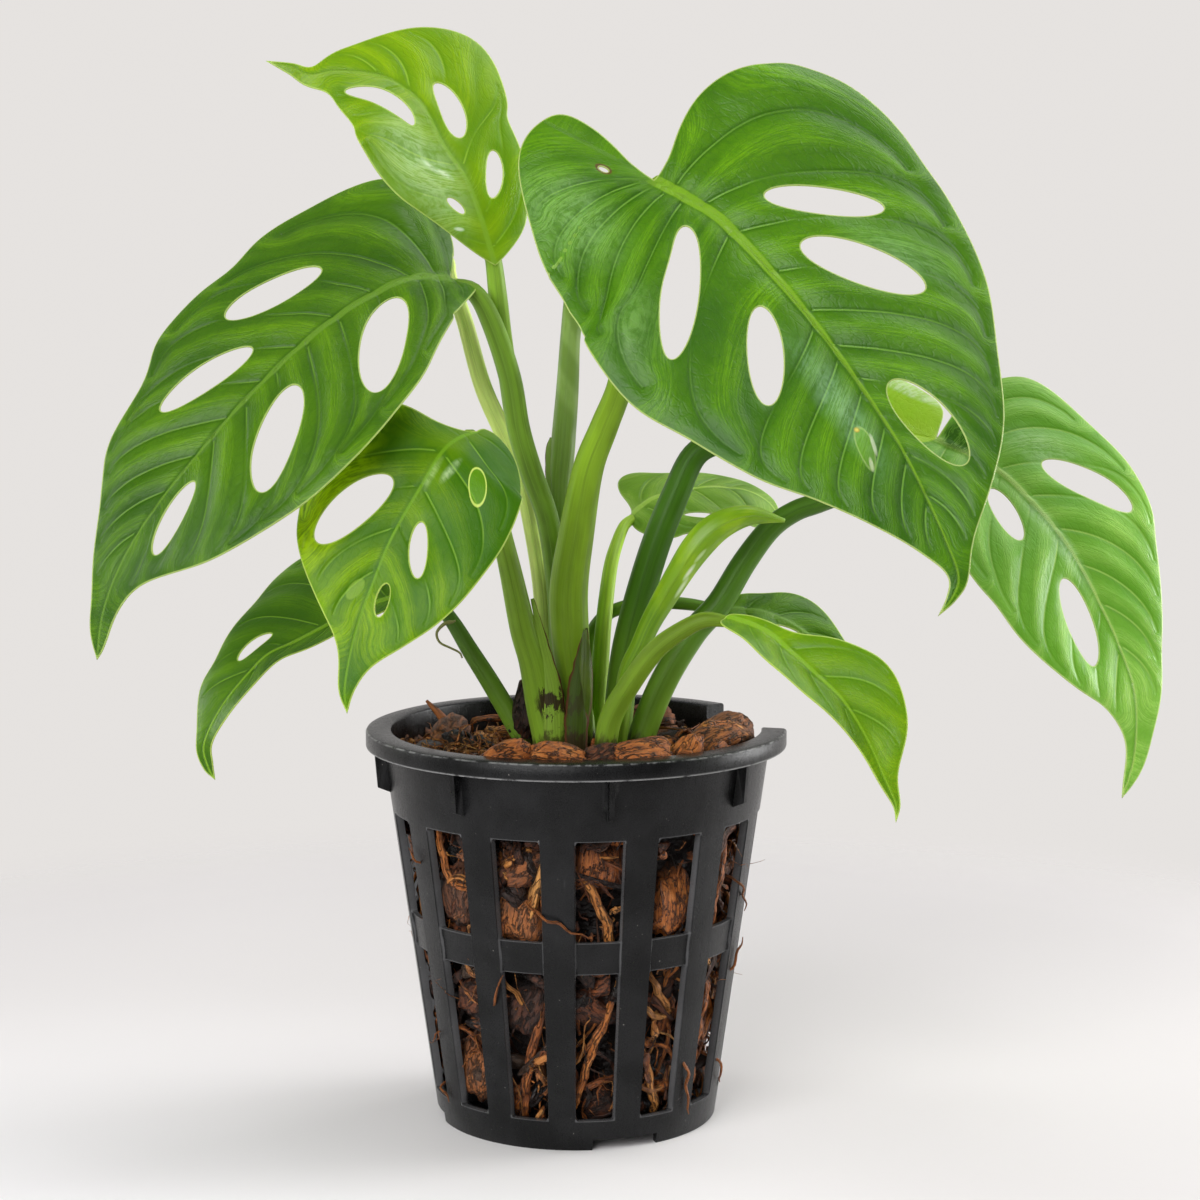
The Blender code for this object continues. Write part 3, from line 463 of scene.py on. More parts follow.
def even_angles(count: int) -> np.ndarray:
    """That many angles evenly round a full turn, in radians."""
    return 2.0 * math.pi * np.arange(count) / count


def spun(points: np.ndarray, degrees: float) -> np.ndarray:
    """The points turned round the vertical axis."""
    c, s = math.cos(math.radians(degrees)), math.sin(math.radians(degrees))
    return points @ np.array([[c, -s, 0.0], [s, c, 0.0], [0.0, 0.0, 1.0]]).T


def from_below(points: np.ndarray) -> np.ndarray:
    """A stalk's points with one more before them, deep in the mix.

    Args:
        points: The stalk's points from its foot up.

    Returns:
        The same points with the buried one in front.
    """
    start = points[0] + 0.15 * (points[0] - points[1])
    start[2] = points[0][2] - BURIED
    return np.vstack([start, points])


@dataclass
class Shape:
    """Points in millimetres with faces and vector attributes."""

    points: np.ndarray
    faces: list[np.ndarray]
    attributes: dict[str, np.ndarray]

    def outward(self) -> "Shape":
        """The same closed shape with its faces turned outward.

        The signed volume is the sum of a . (b x c) / 6 over its triangles.

        Returns:
            This shape, its faces reversed where the volume is negative.
        """
        volume = 0.0
        for face in self.faces:
            a = self.points[face[:, 0]]
            for k in range(1, face.shape[1] - 1):
                cross = np.cross(self.points[face[:, k]], self.points[face[:, k + 1]])
                volume += float(np.einsum("ij,ij->", a, cross))
        faces = [face[:, ::-1] for face in self.faces] if volume < 0.0 else self.faces
        return Shape(self.points, faces, self.attributes)

    @staticmethod
    def joined(shapes: list["Shape"]) -> "Shape":
        """Several shapes as one.

        Args:
            shapes: Shapes with the same attributes.

        Returns:
            The joined shape.
        """
        starts = np.cumsum([0] + [len(shape.points) for shape in shapes[:-1]])
        faces = [face + start for shape, start in zip(shapes, starts) for face in shape.faces]
        names = shapes[0].attributes
        attributes = {name: np.vstack([shape.attributes[name] for shape in shapes]) for name in names}
        return Shape(np.vstack([shape.points for shape in shapes]), faces, attributes)

    def piece(self, name: str, material: bpy.types.Material, slot: Slot,
              nodes: tuple[str, ...] = ()) -> bpy.types.Object:
        """Make the mesh object, dress it and tie it to the frame.

        Args:
            name: The piece's name.
            material: Its one material.
            slot: The record's slot for its finish; not used.
            nodes: The CAD nodes that it stands for.

        Returns:
            The new object.
        """
        mesh = bpy.data.meshes.new(name)
        corners = np.concatenate([face.ravel() for face in self.faces])
        totals = np.concatenate([np.full(len(face), face.shape[1]) for face in self.faces])
        starts = np.concatenate([[0], np.cumsum(totals)[:-1]])
        mesh.vertices.add(len(self.points))
        mesh.vertices.foreach_set("co", (self.points * MM).astype(np.float32).ravel())
        mesh.loops.add(len(corners))
        mesh.loops.foreach_set("vertex_index", corners.astype(np.int32))
        mesh.polygons.add(len(totals))
        mesh.polygons.foreach_set("loop_start", starts.astype(np.int32))
        mesh.update(calc_edges=True)
        mesh.validate()
        for key, values in self.attributes.items():
            layer = mesh.attributes.new(key, "FLOAT_VECTOR", "POINT")
            layer.data.foreach_set("vector", values.astype(np.float32).ravel())
        mesh.shade_smooth()
        mesh.materials.append(material)
        item = bpy.data.objects.new(name, mesh)
        bpy.context.scene.collection.objects.link(item)
        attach(item, ROOT)
        if nodes:
            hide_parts(*nodes)
        LOG.info("%s: %d points, %d faces", name, len(self.points), len(totals))
        return item


def carried_frames(path: np.ndarray, toward: np.ndarray) -> tuple[np.ndarray, np.ndarray]:
    """Two directions across a path at each point, turned as little as possible.

    Args:
        path: The path's points.
        toward: A direction that the first of the two starts closest to.

    Returns:
        The two unit directions at each point.
    """
    tangent = unit(np.gradient(path, axis=0))
    first = np.empty_like(path)
    current = np.asarray(toward, float)
    for index, along in enumerate(tangent):
        current = current - along * (current @ along)
        current = current / np.linalg.norm(current)
        first[index] = current
    return first, np.cross(tangent, first)


def swept(path: np.ndarray, radii: np.ndarray, sides: int, toward: Point = (0.0, -1.0, 0.0),
          section: np.ndarray | None = None) -> Shape:
    """A closed tube: circles, or a given section, carried along a path.

    A point is path + radius * (cos a * first + sin a * second), times the
    section's factor at that angle. Both ends are closed by a fan of triangles.

    Args:
        path: The path's points.
        radii: The radius at each point.
        sides: Points around.
        toward: Where angle 0 looks at the path's start.
        section: Factors on the radius, one row for each point of the path.

    Returns:
        The tube, with attribute "tube": distance along, angle, radius.
    """
    first, second = carried_frames(path, np.array(toward))
    angle = even_angles(sides)
    factor = np.ones((len(path), sides)) if section is None else section
    reach = (radii[:, None] * factor)[:, :, None]
    ring = np.cos(angle)[None, :, None] * first[:, None] + np.sin(angle)[None, :, None] * second[:, None]
    points = path[:, None] + ring * reach
    station = path_length(path)
    data = np.stack([np.repeat(station, sides), np.tile(angle, len(path)),
                     np.repeat(radii, sides)], axis=-1)
    body = points.reshape(-1, 3)
    ends = np.array([path[0], path[-1]])
    end_data = np.array([[station[0], 0.0, radii[0]], [station[-1], 0.0, radii[-1]]])
    faces = [grid_faces(len(path), sides), end_fans(len(path), sides, len(body), len(body) + 1)]
    return Shape(np.vstack([body, ends]), faces, {"tube": np.vstack([data, end_data])})


def inside(loop: np.ndarray, points: np.ndarray) -> np.ndarray:
    """Which points lie inside the closed loop, by counting crossings.

    Args:
        loop: The loop's corners, in order.
        points: The points to be told apart.

    Returns:
        True for each point that is inside.
    """
    result = np.zeros(len(points), bool)
    x, y = points[:, 0], points[:, 1]
    for (x0, y0), (x1, y1) in zip(loop, np.roll(loop, -1, axis=0)):
        crosses = (y0 > y) != (y1 > y)
        rise = y1 - y0 if y1 != y0 else 1e-12
        result ^= crosses & (x < (x1 - x0) * (y - y0) / rise + x0)
    return result


def distance_to_line(line: np.ndarray, points: np.ndarray, closed: bool) -> np.ndarray:
    """Distance from each point to the nearest stretch of a line of points.

    Args:
        line: The line's points.
        points: Where the distance is wanted.
        closed: Whether the line's last point joins its first.

    Returns:
        One distance for each point.
    """
    ends = np.roll(line, -1, axis=0) if closed else line[1:]
    starts = line if closed else line[:-1]
    best = np.full(len(points), 1e9)
    for start, end in zip(starts, ends):
        along = end - start
        share = np.clip((points - start) @ along / max(along @ along, 1e-12), 0.0, 1.0)
        gap = points - start - share[:, None] * along
        best = np.minimum(best, np.einsum("ij,ij->i", gap, gap))
    return np.sqrt(best)


# Leaves

@dataclass(frozen=True)
class Mark:
    """A blemish, or a painted sheen, light or shade, on a blade: an ellipse in (u, v), some with a line.

    soft is how far in from its edge the fill starts to fade, from 0 to 1.
    """

    u: float
    v: float
    half_length: float
    half_width: float
    turn_deg: float
    fill: Colour
    share: float
    soft: float = 0.0
    line: Colour | None = None
    line_share: float = 0.0

    def painted(self, g: Graph, u: Scalar, v: Scalar, colour: object,
                grain: Scalar | None = None) -> bpy.types.NodeSocket:
        """The colour with this mark on it.

        Args:
            g: The material's graph.
            u: Station along the rib.
            v: Distance across it.
            colour: The colour below.
            grain: From 0 to 1, thins out the fill of a soft mark.

        Returns:
            The new colour.
        """
        c, s = math.cos(math.radians(self.turn_deg)), math.sin(math.radians(self.turn_deg))
        a = ((u - self.u) * c + (v - self.v) * s) / self.half_length
        b = ((v - self.v) * c - (u - self.u) * s) / self.half_width
        reach = (a * a + b * b).math("SQRT")
        width = 0.22 / self.half_width
        fill = reach.rise(1.0 + width, 1.0 - width - self.soft)
        if grain is not None and self.soft > 0.0:
            fill = fill * (grain * 0.8 + 0.35)
        colour = g.mix(fill * self.share, colour, self.fill)
        if self.line is None:
            return colour
        line = (reach - 1.0).math("ABSOLUTE").rise(1.2 * width, 0.3 * width)
        return g.mix(line * self.line_share, colour, self.line)


@dataclass(frozen=True)
class LeafFinish:
    """Colours and gloss of one kind of leaf.

    A rolled leaf shows no vein, rib or underside and leaves those out. length
    is how far the rib's colour reaches, and shaded is (u, v, u, v).
    """

    name: str
    slot: Slot
    blade: Colour
    light: Colour
    deep: Colour
    margin: Colour
    vein: Colour = (0.20, 0.42, 0.05)
    rib: Colour = (0.20, 0.40, 0.015)
    under: Colour = (0.20, 0.38, 0.05)
    gloss: float = 0.34
    glow: float = 0.30
    quilt: float = 1.0
    shaded: tuple[float, float, float, float] | None = None
    length: float = 150.0
    rib_width: float = 1.25
    specular: float = 0.25
    far_shift: float = 37.0

    def blade_material(self, seed: float, marks: tuple["Mark", ...]) -> bpy.types.Material:
        """The blade's material, read from the attributes "blade" and "veins".

        "blade" is (u, v, distance to the edge) and "veins" is (number of the
        side vein, distance to it, 1 on the upper face and 0 below), in mm.
        With shaded, the blade darkens from the second point to the first.

        Args:
            seed: Moves the patches, so that no two leaves match.
            marks: Blemishes, and painted sheens, light and shade.

        Returns:
            The material.
        """
        g = Graph(f"{self.name}_blade")
        u, v, edge = g.attribute("blade")
        flow, vein, upper = g.attribute("veins")
        width = v.math("ABSOLUTE")
        flat = g.vector(u, v, seed)
        half = v.rise(-0.01, 0.01) * self.far_shift + seed
        along_veins = g.vector(flow * 9.0 + half, width * 0.05, u * 0.01)
        patches = g.noise(along_veins, 0.16, 3.0, 0.6).rise(0.34, 0.68)
        clouds = g.noise(flat, 0.035, 3.0, 0.55).rise(0.33, 0.70)
        hairs = g.noise(g.vector(flow * 22.0 + half, width * 0.10, u * 0.03), 1.0, 3.0, 0.65)
        net = g.cells(g.vector(flow * 7.0 + half, width * 0.45, u * 0.2), 1.0).rise(0.14, 0.0)
        crinkle = g.noise(g.vector(flow * 9.0 + half, width * 0.55, u * 0.3), 0.9, 3.0, 0.65)
        # Painted light and shade on the relief: each quilt between two veins is painted lighter at its
        # crest and darker towards the veins
        phase = flow.math("FRACT")
        crest_light = (phase - phase * phase) * 4.0
        colour = g.mix(patches * 0.40 + crest_light * 0.30 + clouds * 0.35, self.deep, self.blade)
        lit = crest_light.rise(0.15, 1.0) * hairs.rise(0.36, 0.66) * (clouds * 0.5 + 0.35) + clouds * 0.20
        colour = g.mix(lit.clip(), colour, self.light)
        colour = g.mix(net * 0.16 + crinkle.rise(0.52, 0.32) * 0.18, colour, self.deep)
        if self.shaded is not None:
            far_u, far_v, near_u, near_v = self.shaded
            span = (near_u - far_u) ** 2 + (near_v - far_v) ** 2
            along_u = (u - far_u) * ((near_u - far_u) / span)
            share = (along_u + (v - far_v) * ((near_v - far_v) / span)).rise(1.0, 0.0)
            colour = g.mix(share * 0.85, colour, self.deep)
        near_rib = width.rise(8.0, 0.5) * u.rise(self.length, -10.0) * 0.25
        colour = g.mix(near_rib, colour, self.light)
        inner = edge.rise(0.5, 7.0)
        # Painted shade: a dark line along each vein's crease
        colour = g.mix(vein.rise(1.5, 0.30) * 0.62 * inner, colour, self.deep)
        fading = (width.rise(45.0, 4.0) * 0.50 + 0.16) * inner
        colour = g.mix(vein.rise(0.34, 0.12) * fading, colour, self.vein)
        rib_edge = u.rise(self.length, -6.0) ** 1.7 * self.rib_width * 1.15 + 0.28
        # Painted shadow: a dark band along one side of the midrib
        rib_shadow = (rib_edge + 1.3 - width).rise(0.0, 1.0) * v.rise(-0.2, 0.4) * u.rise(6.0, 40.0)
        colour = g.mix(rib_shadow * 0.55, colour, self.deep)
        rib = (rib_edge - width).rise(-0.25, 0.30) * u.rise(-2.5, 1.0)
        colour = g.mix(rib * 0.88, colour, self.rib)
        grain = (hairs * 0.55 + crinkle * 0.45).rise(0.40, 0.58)
        # Blemishes, and painted sheens, light and shade, from the leaf's marks
        for mark in marks:
            colour = mark.painted(g, u, v, colour, grain)
        colour = g.mix(upper, self.under, colour)
        colour = g.mix(edge.rise(0.46, 0.16) * 0.75, colour, self.margin)
        height = crinkle * 0.8 + hairs * 0.35 - net * 0.15 - vein.rise(0.8, 0.05) * 0.7
        g.bump(height, 0.06 + 0.15 * self.quilt)
        rough = self.gloss + crinkle * 0.10 + (1.0 - upper) * 0.15 - clouds * 0.05
        g.set(Base_Color=colour, Roughness=rough, Specular_IOR_Level=self.specular,
              Subsurface_Weight=self.glow * 0.5, Subsurface_Radius=(0.5, 1.0, 0.12),
              Subsurface_Scale=0.0010)
        return g.material

    def stalk_material(self, stem: Colour, seed: float,
                       scar: tuple[float, float]) -> bpy.types.Material:
        """The stalk's material: fine stripes along it, paler at its foot.

        Args:
            stem: The stalk's main colour.
            seed: Moves the stripes.
            scar: From where to where along the stalk a torn brown band runs.

        Returns:
            The material.
        """
        g = Graph(f"{self.name}_stalk")
        along, angle, _ = g.attribute("tube")
        x, y = g.wrapped(angle)
        grain = g.vector(x + seed, y, along * 0.012)
        lines = g.noise(grain, 3.6, 2.0, 0.55)
        bands = g.noise(grain, 0.55, 2.0, 0.5)
        blotches = g.noise(g.vector(x * 0.2, y * 0.2, along * 0.06 + seed), 1.0, 2.0)
        shade = tuple(0.68 * part for part in stem)
        shine = tuple(min(1.0, 1.35 * part) for part in stem)
        colour = g.mix(bands.rise(0.35, 0.60), shade, stem)
        colour = g.mix(lines.rise(0.50, 0.30) * 0.40, colour, shade)
        colour = g.mix(blotches.rise(0.4, 0.7) * 0.6 + lines.rise(0.56, 0.72) * 0.4, colour, shine)
        colour = g.mix(along.rise(60.0, 10.0) * 0.55, colour, FOOT_GREEN)
        specks = g.noise(g.vector(x, y, along * 0.5), 1.4, 1.0).rise(0.78, 0.84)
        colour = g.mix(specks * 0.4, colour, STALK_SPECK)
        tears = g.noise(g.vector(x, y, along * 0.22), 0.75, 4.0, 0.75)
        if scar[1] > scar[0]:
            place = along + (tears - 0.5) * 16.0 + (blotches - 0.5) * 10.0
            low, high = scar
            band = place.rise(low - 0.5, low + 0.5) * place.rise(high + 0.5, high - 0.5)
            side, _, _ = g.place()
            band = band * (side + (tears - 0.5) * 4.0).rise(-11.5, -9.8)
            colour = g.mix(band * 0.95, colour, g.mix(lines, *SCAR_COLOURS))
        soil = (along + (tears - 0.5) * 9.0).rise(15.0, 11.5)
        colour = g.mix(soil * 0.85, colour, FOOT_SOIL)
        g.bump(lines * 0.6 + bands * 0.4, 0.14)
        g.set(Base_Color=colour, Roughness=0.40 + lines * 0.08, Subsurface_Weight=0.2,
              Subsurface_Radius=(0.6, 1.0, 0.2), Subsurface_Scale=0.002, Specular_IOR_Level=0.22)
        return g.material


MATURE = LeafFinish("mature", Slot.MATURE, blade=(0.070, 0.214, 0.001), light=(0.146, 0.355, 0.003),
                    deep=(0.030, 0.115, 0.002), vein=(0.20, 0.42, 0.05), rib=(0.20, 0.40, 0.015),
                    margin=(0.52, 0.62, 0.20), under=(0.20, 0.38, 0.05), length=146.0)
DARK = LeafFinish("dark", Slot.DARK, blade=(0.060, 0.170, 0.001), light=(0.130, 0.290, 0.002),
                  deep=(0.027, 0.096, 0.001), vein=(0.15, 0.31, 0.03), rib=(0.13, 0.27, 0.02),
                  margin=(0.46, 0.58, 0.16), under=(0.14, 0.30, 0.02), gloss=0.40, length=155.0,
                  rib_width=0.9)
YOUNG = LeafFinish("young", Slot.YOUNG, blade=(0.185, 0.345, 0.001), light=(0.275, 0.455, 0.003),
                   deep=(0.105, 0.250, 0.003), vein=(0.30, 0.50, 0.04), rib=(0.21, 0.39, 0.02),
                   margin=(0.50, 0.62, 0.16), under=(0.28, 0.46, 0.05), gloss=0.32, glow=0.45, quilt=0.40,
                   length=92.0, rib_width=0.45, specular=0.24)
FRESH = LeafFinish("fresh", Slot.YOUNG, blade=(0.150, 0.310, 0.002), light=(0.225, 0.400, 0.003),
                   deep=(0.085, 0.215, 0.002), vein=(0.22, 0.42, 0.03), rib=(0.23, 0.43, 0.02),
                   margin=(0.50, 0.62, 0.14), under=(0.24, 0.42, 0.04), gloss=0.34, glow=0.4, quilt=0.5,
                   length=84.0, rib_width=0.7, specular=0.24)
LOW = replace(FRESH, name="low", blade=(0.080, 0.205, 0.002), light=(0.135, 0.295, 0.004),
              deep=(0.040, 0.125, 0.001))
SMALL = replace(FRESH, name="small", blade=(0.130, 0.295, 0.001), light=(0.265, 0.440, 0.001),
                deep=(0.036, 0.135, 0.001), shaded=(16.0, -18.0, 38.0, 9.0), rib=(0.16, 0.34, 0.01),
                rib_width=0.26, quilt=0.36, specular=0.14)
PALE = LeafFinish("pale", Slot.MATURE, blade=(0.23, 0.52, 0.055), light=(0.40, 0.68, 0.13),
                  deep=(0.125, 0.350, 0.020), vein=(0.42, 0.66, 0.14), rib=(0.40, 0.62, 0.13),
                  margin=(0.55, 0.66, 0.25), under=(0.33, 0.58, 0.08), glow=0.4, length=120.0,
                  rib_width=0.7, quilt=0.75)
BEHIND = LeafFinish("behind", Slot.MATURE, blade=(0.21, 0.40, 0.025), light=(0.36, 0.55, 0.09),
                    deep=(0.110, 0.250, 0.014), vein=(0.36, 0.54, 0.10), rib=(0.40, 0.60, 0.10),
                    margin=(0.45, 0.58, 0.18), under=(0.30, 0.46, 0.07), glow=0.4, quilt=0.7, length=62.0,
                    rib_width=0.8)
SHOOT = LeafFinish("shoot", Slot.MATURE, blade=(0.17, 0.28, 0.045), light=(0.25, 0.38, 0.09),
                   deep=(0.13, 0.22, 0.03), margin=(0.30, 0.34, 0.12))
OLD_SHEATH = LeafFinish("old_sheath", Slot.YOUNG, blade=(0.060, 0.100, 0.004),
                        light=(0.090, 0.140, 0.008), deep=(0.050, 0.070, 0.008),
                        margin=(0.13, 0.055, 0.020))


@dataclass
class Leaf:
    """One leaf: a blade given in its own plane and a stalk given in space.

    rib holds the midrib's points in space, from the stalk to the tip. The
    outline is in (u, v): u runs along the rib, v across it, positive on the
    near side. fold lifts each half about the rib in degrees and curl bends
    the margins back. holes are (u, v, u, v, width) from end to end. A vein
    is (start u, end u, leaving angle). Stalk points end with their radius.
    A leaf whose far side isn't given is the same on both sides.
    """

    node: str
    finish: LeafFinish
    stalk: list[Station]
    rib: list[Point]
    face: Point = (0.0, -1.0, 0.0)
    fold: tuple[float, float] = (0.0, 0.0)
    curl: float = 0.0
    near: tuple[tuple[float, float], ...] = ()
    far: tuple[tuple[float, float], ...] = ()
    holes: tuple[tuple[float, float, float, float, float], ...] = ()
    veins_near: tuple[tuple[float, float, float], ...] = ()
    veins_far: tuple[tuple[float, float, float], ...] = ()
    ridge: float = 1.5
    seed: int = 1
    thickness: float = 0.5
    bend_reach: float = 4.0
    grid: float = 1.45
    edge_step: float = 1.1
    edge_blur: float = 2.6
    row_step: float = 1.4
    rib_rows: tuple[float, ...] = (-2.8, -1.9, -1.2, -0.6, 0.6, 1.2, 1.9, 2.8)
    rim_depths: tuple[float, ...] = (0.3, 0.8)
    beside_vein: float = 0.9
    marks: tuple[Mark, ...] = ()
    scar: tuple[float, float] = (0.0, 0.0)
    stem: Colour = (0.100, 0.180, 0.018)

    def prepare(self) -> None:
        """Work out the midrib's smooth curve and its length."""
        self.curve = smooth_path(self.rib, 20)
        self.station = path_length(self.curve)
        self.length = float(self.station[-1])

    def rib_point(self, u: np.ndarray) -> np.ndarray:
        """Points of the midrib at stations u."""
        return at_station(self.curve, self.station, np.clip(u, 0.0, self.length))

    def axes(self, u: np.ndarray) -> tuple[np.ndarray, np.ndarray, np.ndarray]:
        """Rib point, side direction and upward normal at each u.

        Side is rib direction x face, and the normal is side x direction. Past
        either end the rib goes straight on. The direction is taken over
        bend_reach either way, so that a bent rib doesn't crumple the blade.

        Args:
            u: Stations along the rib.

        Returns:
            The three arrays.
        """
        direction = self.rib_point(u + self.bend_reach) - self.rib_point(u - self.bend_reach)
        outside = np.linalg.norm(direction, axis=-1) < 1e-6
        start = self.rib_point(np.array([0.0, 2.0]))
        direction[outside] = start[1] - start[0]
        direction = unit(direction)
        side = unit(np.cross(direction, np.array(self.face)))
        beyond = np.minimum(u, 0.0) + np.maximum(u - self.length, 0.0)
        return self.rib_point(u) + direction * beyond[:, None], side, np.cross(side, direction)

    def surface(self, u: np.ndarray, v: np.ndarray) -> np.ndarray:
        """The blade's smooth middle surface.

        A point is rib + side cos(fold) v + normal (sin(fold) w - curl v^2),
        where w is |v| rounded off within a few millimetres of the rib.

        Args:
            u: Stations along the rib.
            v: Distances across it.

        Returns:
            Points in space.
        """
        rounding = 2.0
        point, side, normal = self.axes(u)
        near, far = np.radians(self.fold)
        blend = 0.5 + 0.5 * np.tanh(v / (1.25 * rounding))
        fold = far + (near - far) * blend
        width = np.sqrt(v * v + rounding ** 2) - rounding
        lift = np.sin(fold) * width - self.curl * v * v
        return point + side * (np.cos(fold) * v)[:, None] + normal * lift[:, None]

    def outline(self) -> np.ndarray:
        """The blade's edge in (u, v), from the notch round the tip and back."""
        start = (0.0, 0.0)
        tip = (self.length, 0.0)
        n = 6
        reach = np.arange(-n, n + 1)
        weight = np.exp(-0.5 * (reach * self.edge_step / self.edge_blur) ** 2)
        sides = []
        for points in (self.near, self.far or [(u, -v) for u, v in self.near]):
            side = resample(smooth_path([start, *points, tip], 16), self.edge_step)
            count = len(side)
            padded = np.vstack([2.0 * side[0] - side[n:0:-1], side,
                                2.0 * side[-1] - side[-2:-n - 2:-1]])
            even = sum(w * padded[n + k:n + k + count] for k, w in zip(reach, weight / weight.sum()))
            from_end = np.minimum(np.arange(count), np.arange(count)[::-1])[:, None]
            share = np.clip(from_end * self.edge_step / 5.0, 0.0, 1.0)
            sides.append(side + (even - side) * share)
        return np.vstack([sides[0], sides[1][-2:0:-1]])

    def hole_loops(self) -> list[np.ndarray]:
        """The holes' edges: ellipses on each hole's long axis."""
        loops = []
        for u0, v0, u1, v1, width in self.holes:
            start = np.array([u0, v0])
            along = np.array([u1, v1]) - start
            across = np.array([-along[1], along[0]]) / np.linalg.norm(along)
            sides = max(20, int(2.2 * np.linalg.norm(along) / self.edge_step))
            angle = even_angles(sides)
            loops.append(start + along * (0.5 - 0.5 * np.cos(angle))[:, None]
                         + across * (0.5 * width * np.sin(angle))[:, None])
        return loops

    def half_width(self, u: float, edge: np.ndarray, sign: int) -> float:
        """How far the blade reaches from the rib on one side at a station.

        Args:
            u: Station along the rib.
            edge: The blade's outline.
            sign: 1 for the side on which v is positive and -1 for the other.

        Returns:
            The reach, or 1 where the outline has no point near.
        """
        beside = 2.0
        rows = edge[(edge[:, 1] * sign > 0.0) & (np.abs(edge[:, 0] - u) < beside)]
        return float(np.abs(rows[:, 1]).max()) if len(rows) else 1.0

    def side_veins(self, edge: np.ndarray) -> list[tuple[int, np.ndarray]]:
        """The side veins' lines in (u, v).

        Each is a cubic Bezier that leaves the rib at its angle and ends just
        inside the edge, running along it.

        Args:
            edge: The blade's outline.

        Returns:
            Side (1 near, -1 far) and line for each vein, from base to tip.
        """
        lines = []
        t = np.linspace(0.0, 1.0, 28)[:, None]
        beside = 6.0
        for sign, veins in ((1, self.veins_near), (-1, self.veins_far or self.veins_near)):
            for start_u, end_u, lean in veins:
                reach = 0.90 * self.half_width(end_u, edge, sign)
                change = (self.half_width(end_u + beside, edge, sign)
                          - self.half_width(end_u - beside, edge, sign))
                out = unit(np.array([2.0 * beside, change]))
                start = np.array([start_u, 0.0])
                end = np.array([end_u, reach])
                pull = 0.4 * np.linalg.norm(end - start)
                angle = math.radians(lean)
                first = start + pull * np.array([math.cos(angle), math.sin(angle)])
                second = end - pull * out
                line = (start * (1 - t) ** 3 + 3.0 * first * t * (1 - t) ** 2
                        + 3.0 * second * t ** 2 * (1 - t) + end * t ** 3)
                line = resample(line, 1.3)
                line[:, 1] *= sign
                clear = inside(edge, line) & (distance_to_line(edge, line, True) > 1.6)
                clear[:5] = True
                stop = len(line) if clear.all() else int(np.argmin(clear))
                lines.append((sign, line[:stop]))
        return lines

    def net(self, edge: np.ndarray, holes: list[np.ndarray],
            veins: list[tuple[int, np.ndarray]]) -> tuple[np.ndarray, np.ndarray]:
        """Triangles of the blade in (u, v), laid along its edges and veins.

        Args:
            edge: The outline.
            holes: The holes' loops.
            veins: The side veins.

        Returns:
            Points and counterclockwise triangles.
        """
        loops = [edge, *holes]
        stations = np.arange(self.row_step, self.length - 2.0, self.row_step)
        rib_rows = [np.stack([stations, np.full(len(stations), offset)], axis=-1)
                    for offset in self.rib_rows]
        spine = np.stack([stations, np.zeros(len(stations))], axis=-1)
        rims = [self.inset(loop, depth, index > 0)
                for index, loop in enumerate(loops) for depth in self.rim_depths]
        lines = [spine] + [line[2:] for _, line in veins]
        beside = [line[3:] + np.array([0.0, shift])
                  for _, line in veins for shift in (-self.beside_vein, self.beside_vein)]
        low, high = edge.min(axis=0), edge.max(axis=0)
        columns, rows = np.meshgrid(np.arange(low[0], high[0], self.grid),
                                    np.arange(low[1], high[1], self.grid * 0.87))
        columns = columns + (np.arange(len(rows)) % 2)[:, None] * self.grid / 2.0
        grid = np.stack([columns.ravel(), rows.ravel()], axis=-1)
        points = list(loops)
        edges = []
        base = 0
        for loop in loops:
            index = np.arange(len(loop))
            edges.append(np.stack([index, (index + 1) % len(loop)], axis=-1) + base)
            base += len(loop)
        line_room, longest_step = 0.7, 2.2
        for line in lines:
            kept = line[self.well_inside(line, loops, line_room)]
            points.append(kept)
            index = np.arange(len(kept) - 1)
            gaps = np.linalg.norm(np.diff(kept, axis=0), axis=1)
            edges.append((np.stack([index, index + 1], axis=-1) + base)[gaps < longest_step])
            base += len(kept)
        for extra, edge_room, room in (
                (np.vstack(rims), 0.25, 0.2), (np.vstack(rib_rows), 0.9, 0.45),
                (np.vstack(beside), 0.9, 0.6), (grid, 0.9, 0.75)):
            kept = extra[self.well_inside(extra, loops, edge_room)]
            kept = kept[self.spaced(kept, np.vstack(points), room)]
            points.append(kept)
        flat = np.vstack(points)
        pairs = [tuple(int(end) for end in pair) for pair in np.vstack(edges)]
        result = geometry.delaunay_2d_cdt([Vector(point) for point in flat], pairs, [], 0, 1e-5)
        corners = np.array([tuple(point) for point in result[0]])
        faces = np.array([face for face in result[2] if len(face) == 3])
        centres = corners[faces].mean(axis=1)
        kept = inside(edge, centres)
        for hole in holes:
            kept &= ~inside(hole, centres)
        faces = faces[kept]
        used, renumbered = np.unique(faces, return_inverse=True)
        return corners[used], renumbered.reshape(-1, 3)

    @staticmethod
    def inset(loop: np.ndarray, depth: float, outward: bool) -> np.ndarray:
        """The loop's points moved off it by depth, into the blade.

        Args:
            loop: An outline or a hole's edge.
            depth: How far the points move.
            outward: True for a hole, where the blade is outside the loop.

        Returns:
            The moved points, in the same order.
        """
        along = unit(np.roll(loop, -1, axis=0) - np.roll(loop, 1, axis=0))
        turn = np.stack([-along[:, 1], along[:, 0]], axis=-1)
        area = np.sum(loop[:, 0] * np.roll(loop[:, 1], -1) - np.roll(loop[:, 0], -1) * loop[:, 1])
        sign = math.copysign(1.0, area) * (-1.0 if outward else 1.0)
        return loop + turn * sign * depth

    @staticmethod
    def well_inside(points: np.ndarray, loops: list[np.ndarray], room: float) -> np.ndarray:
        """Which points lie in the blade with some room to every edge.

        Args:
            points: The points to be told apart.
            loops: The outline and then the holes.
            room: The least distance to an edge.

        Returns:
            True for each point that has the room.
        """
        kept = inside(loops[0], points) & (distance_to_line(loops[0], points, True) > room)
        for loop in loops[1:]:
            kept &= ~inside(loop, points) & (distance_to_line(loop, points, True) > room)
        return kept

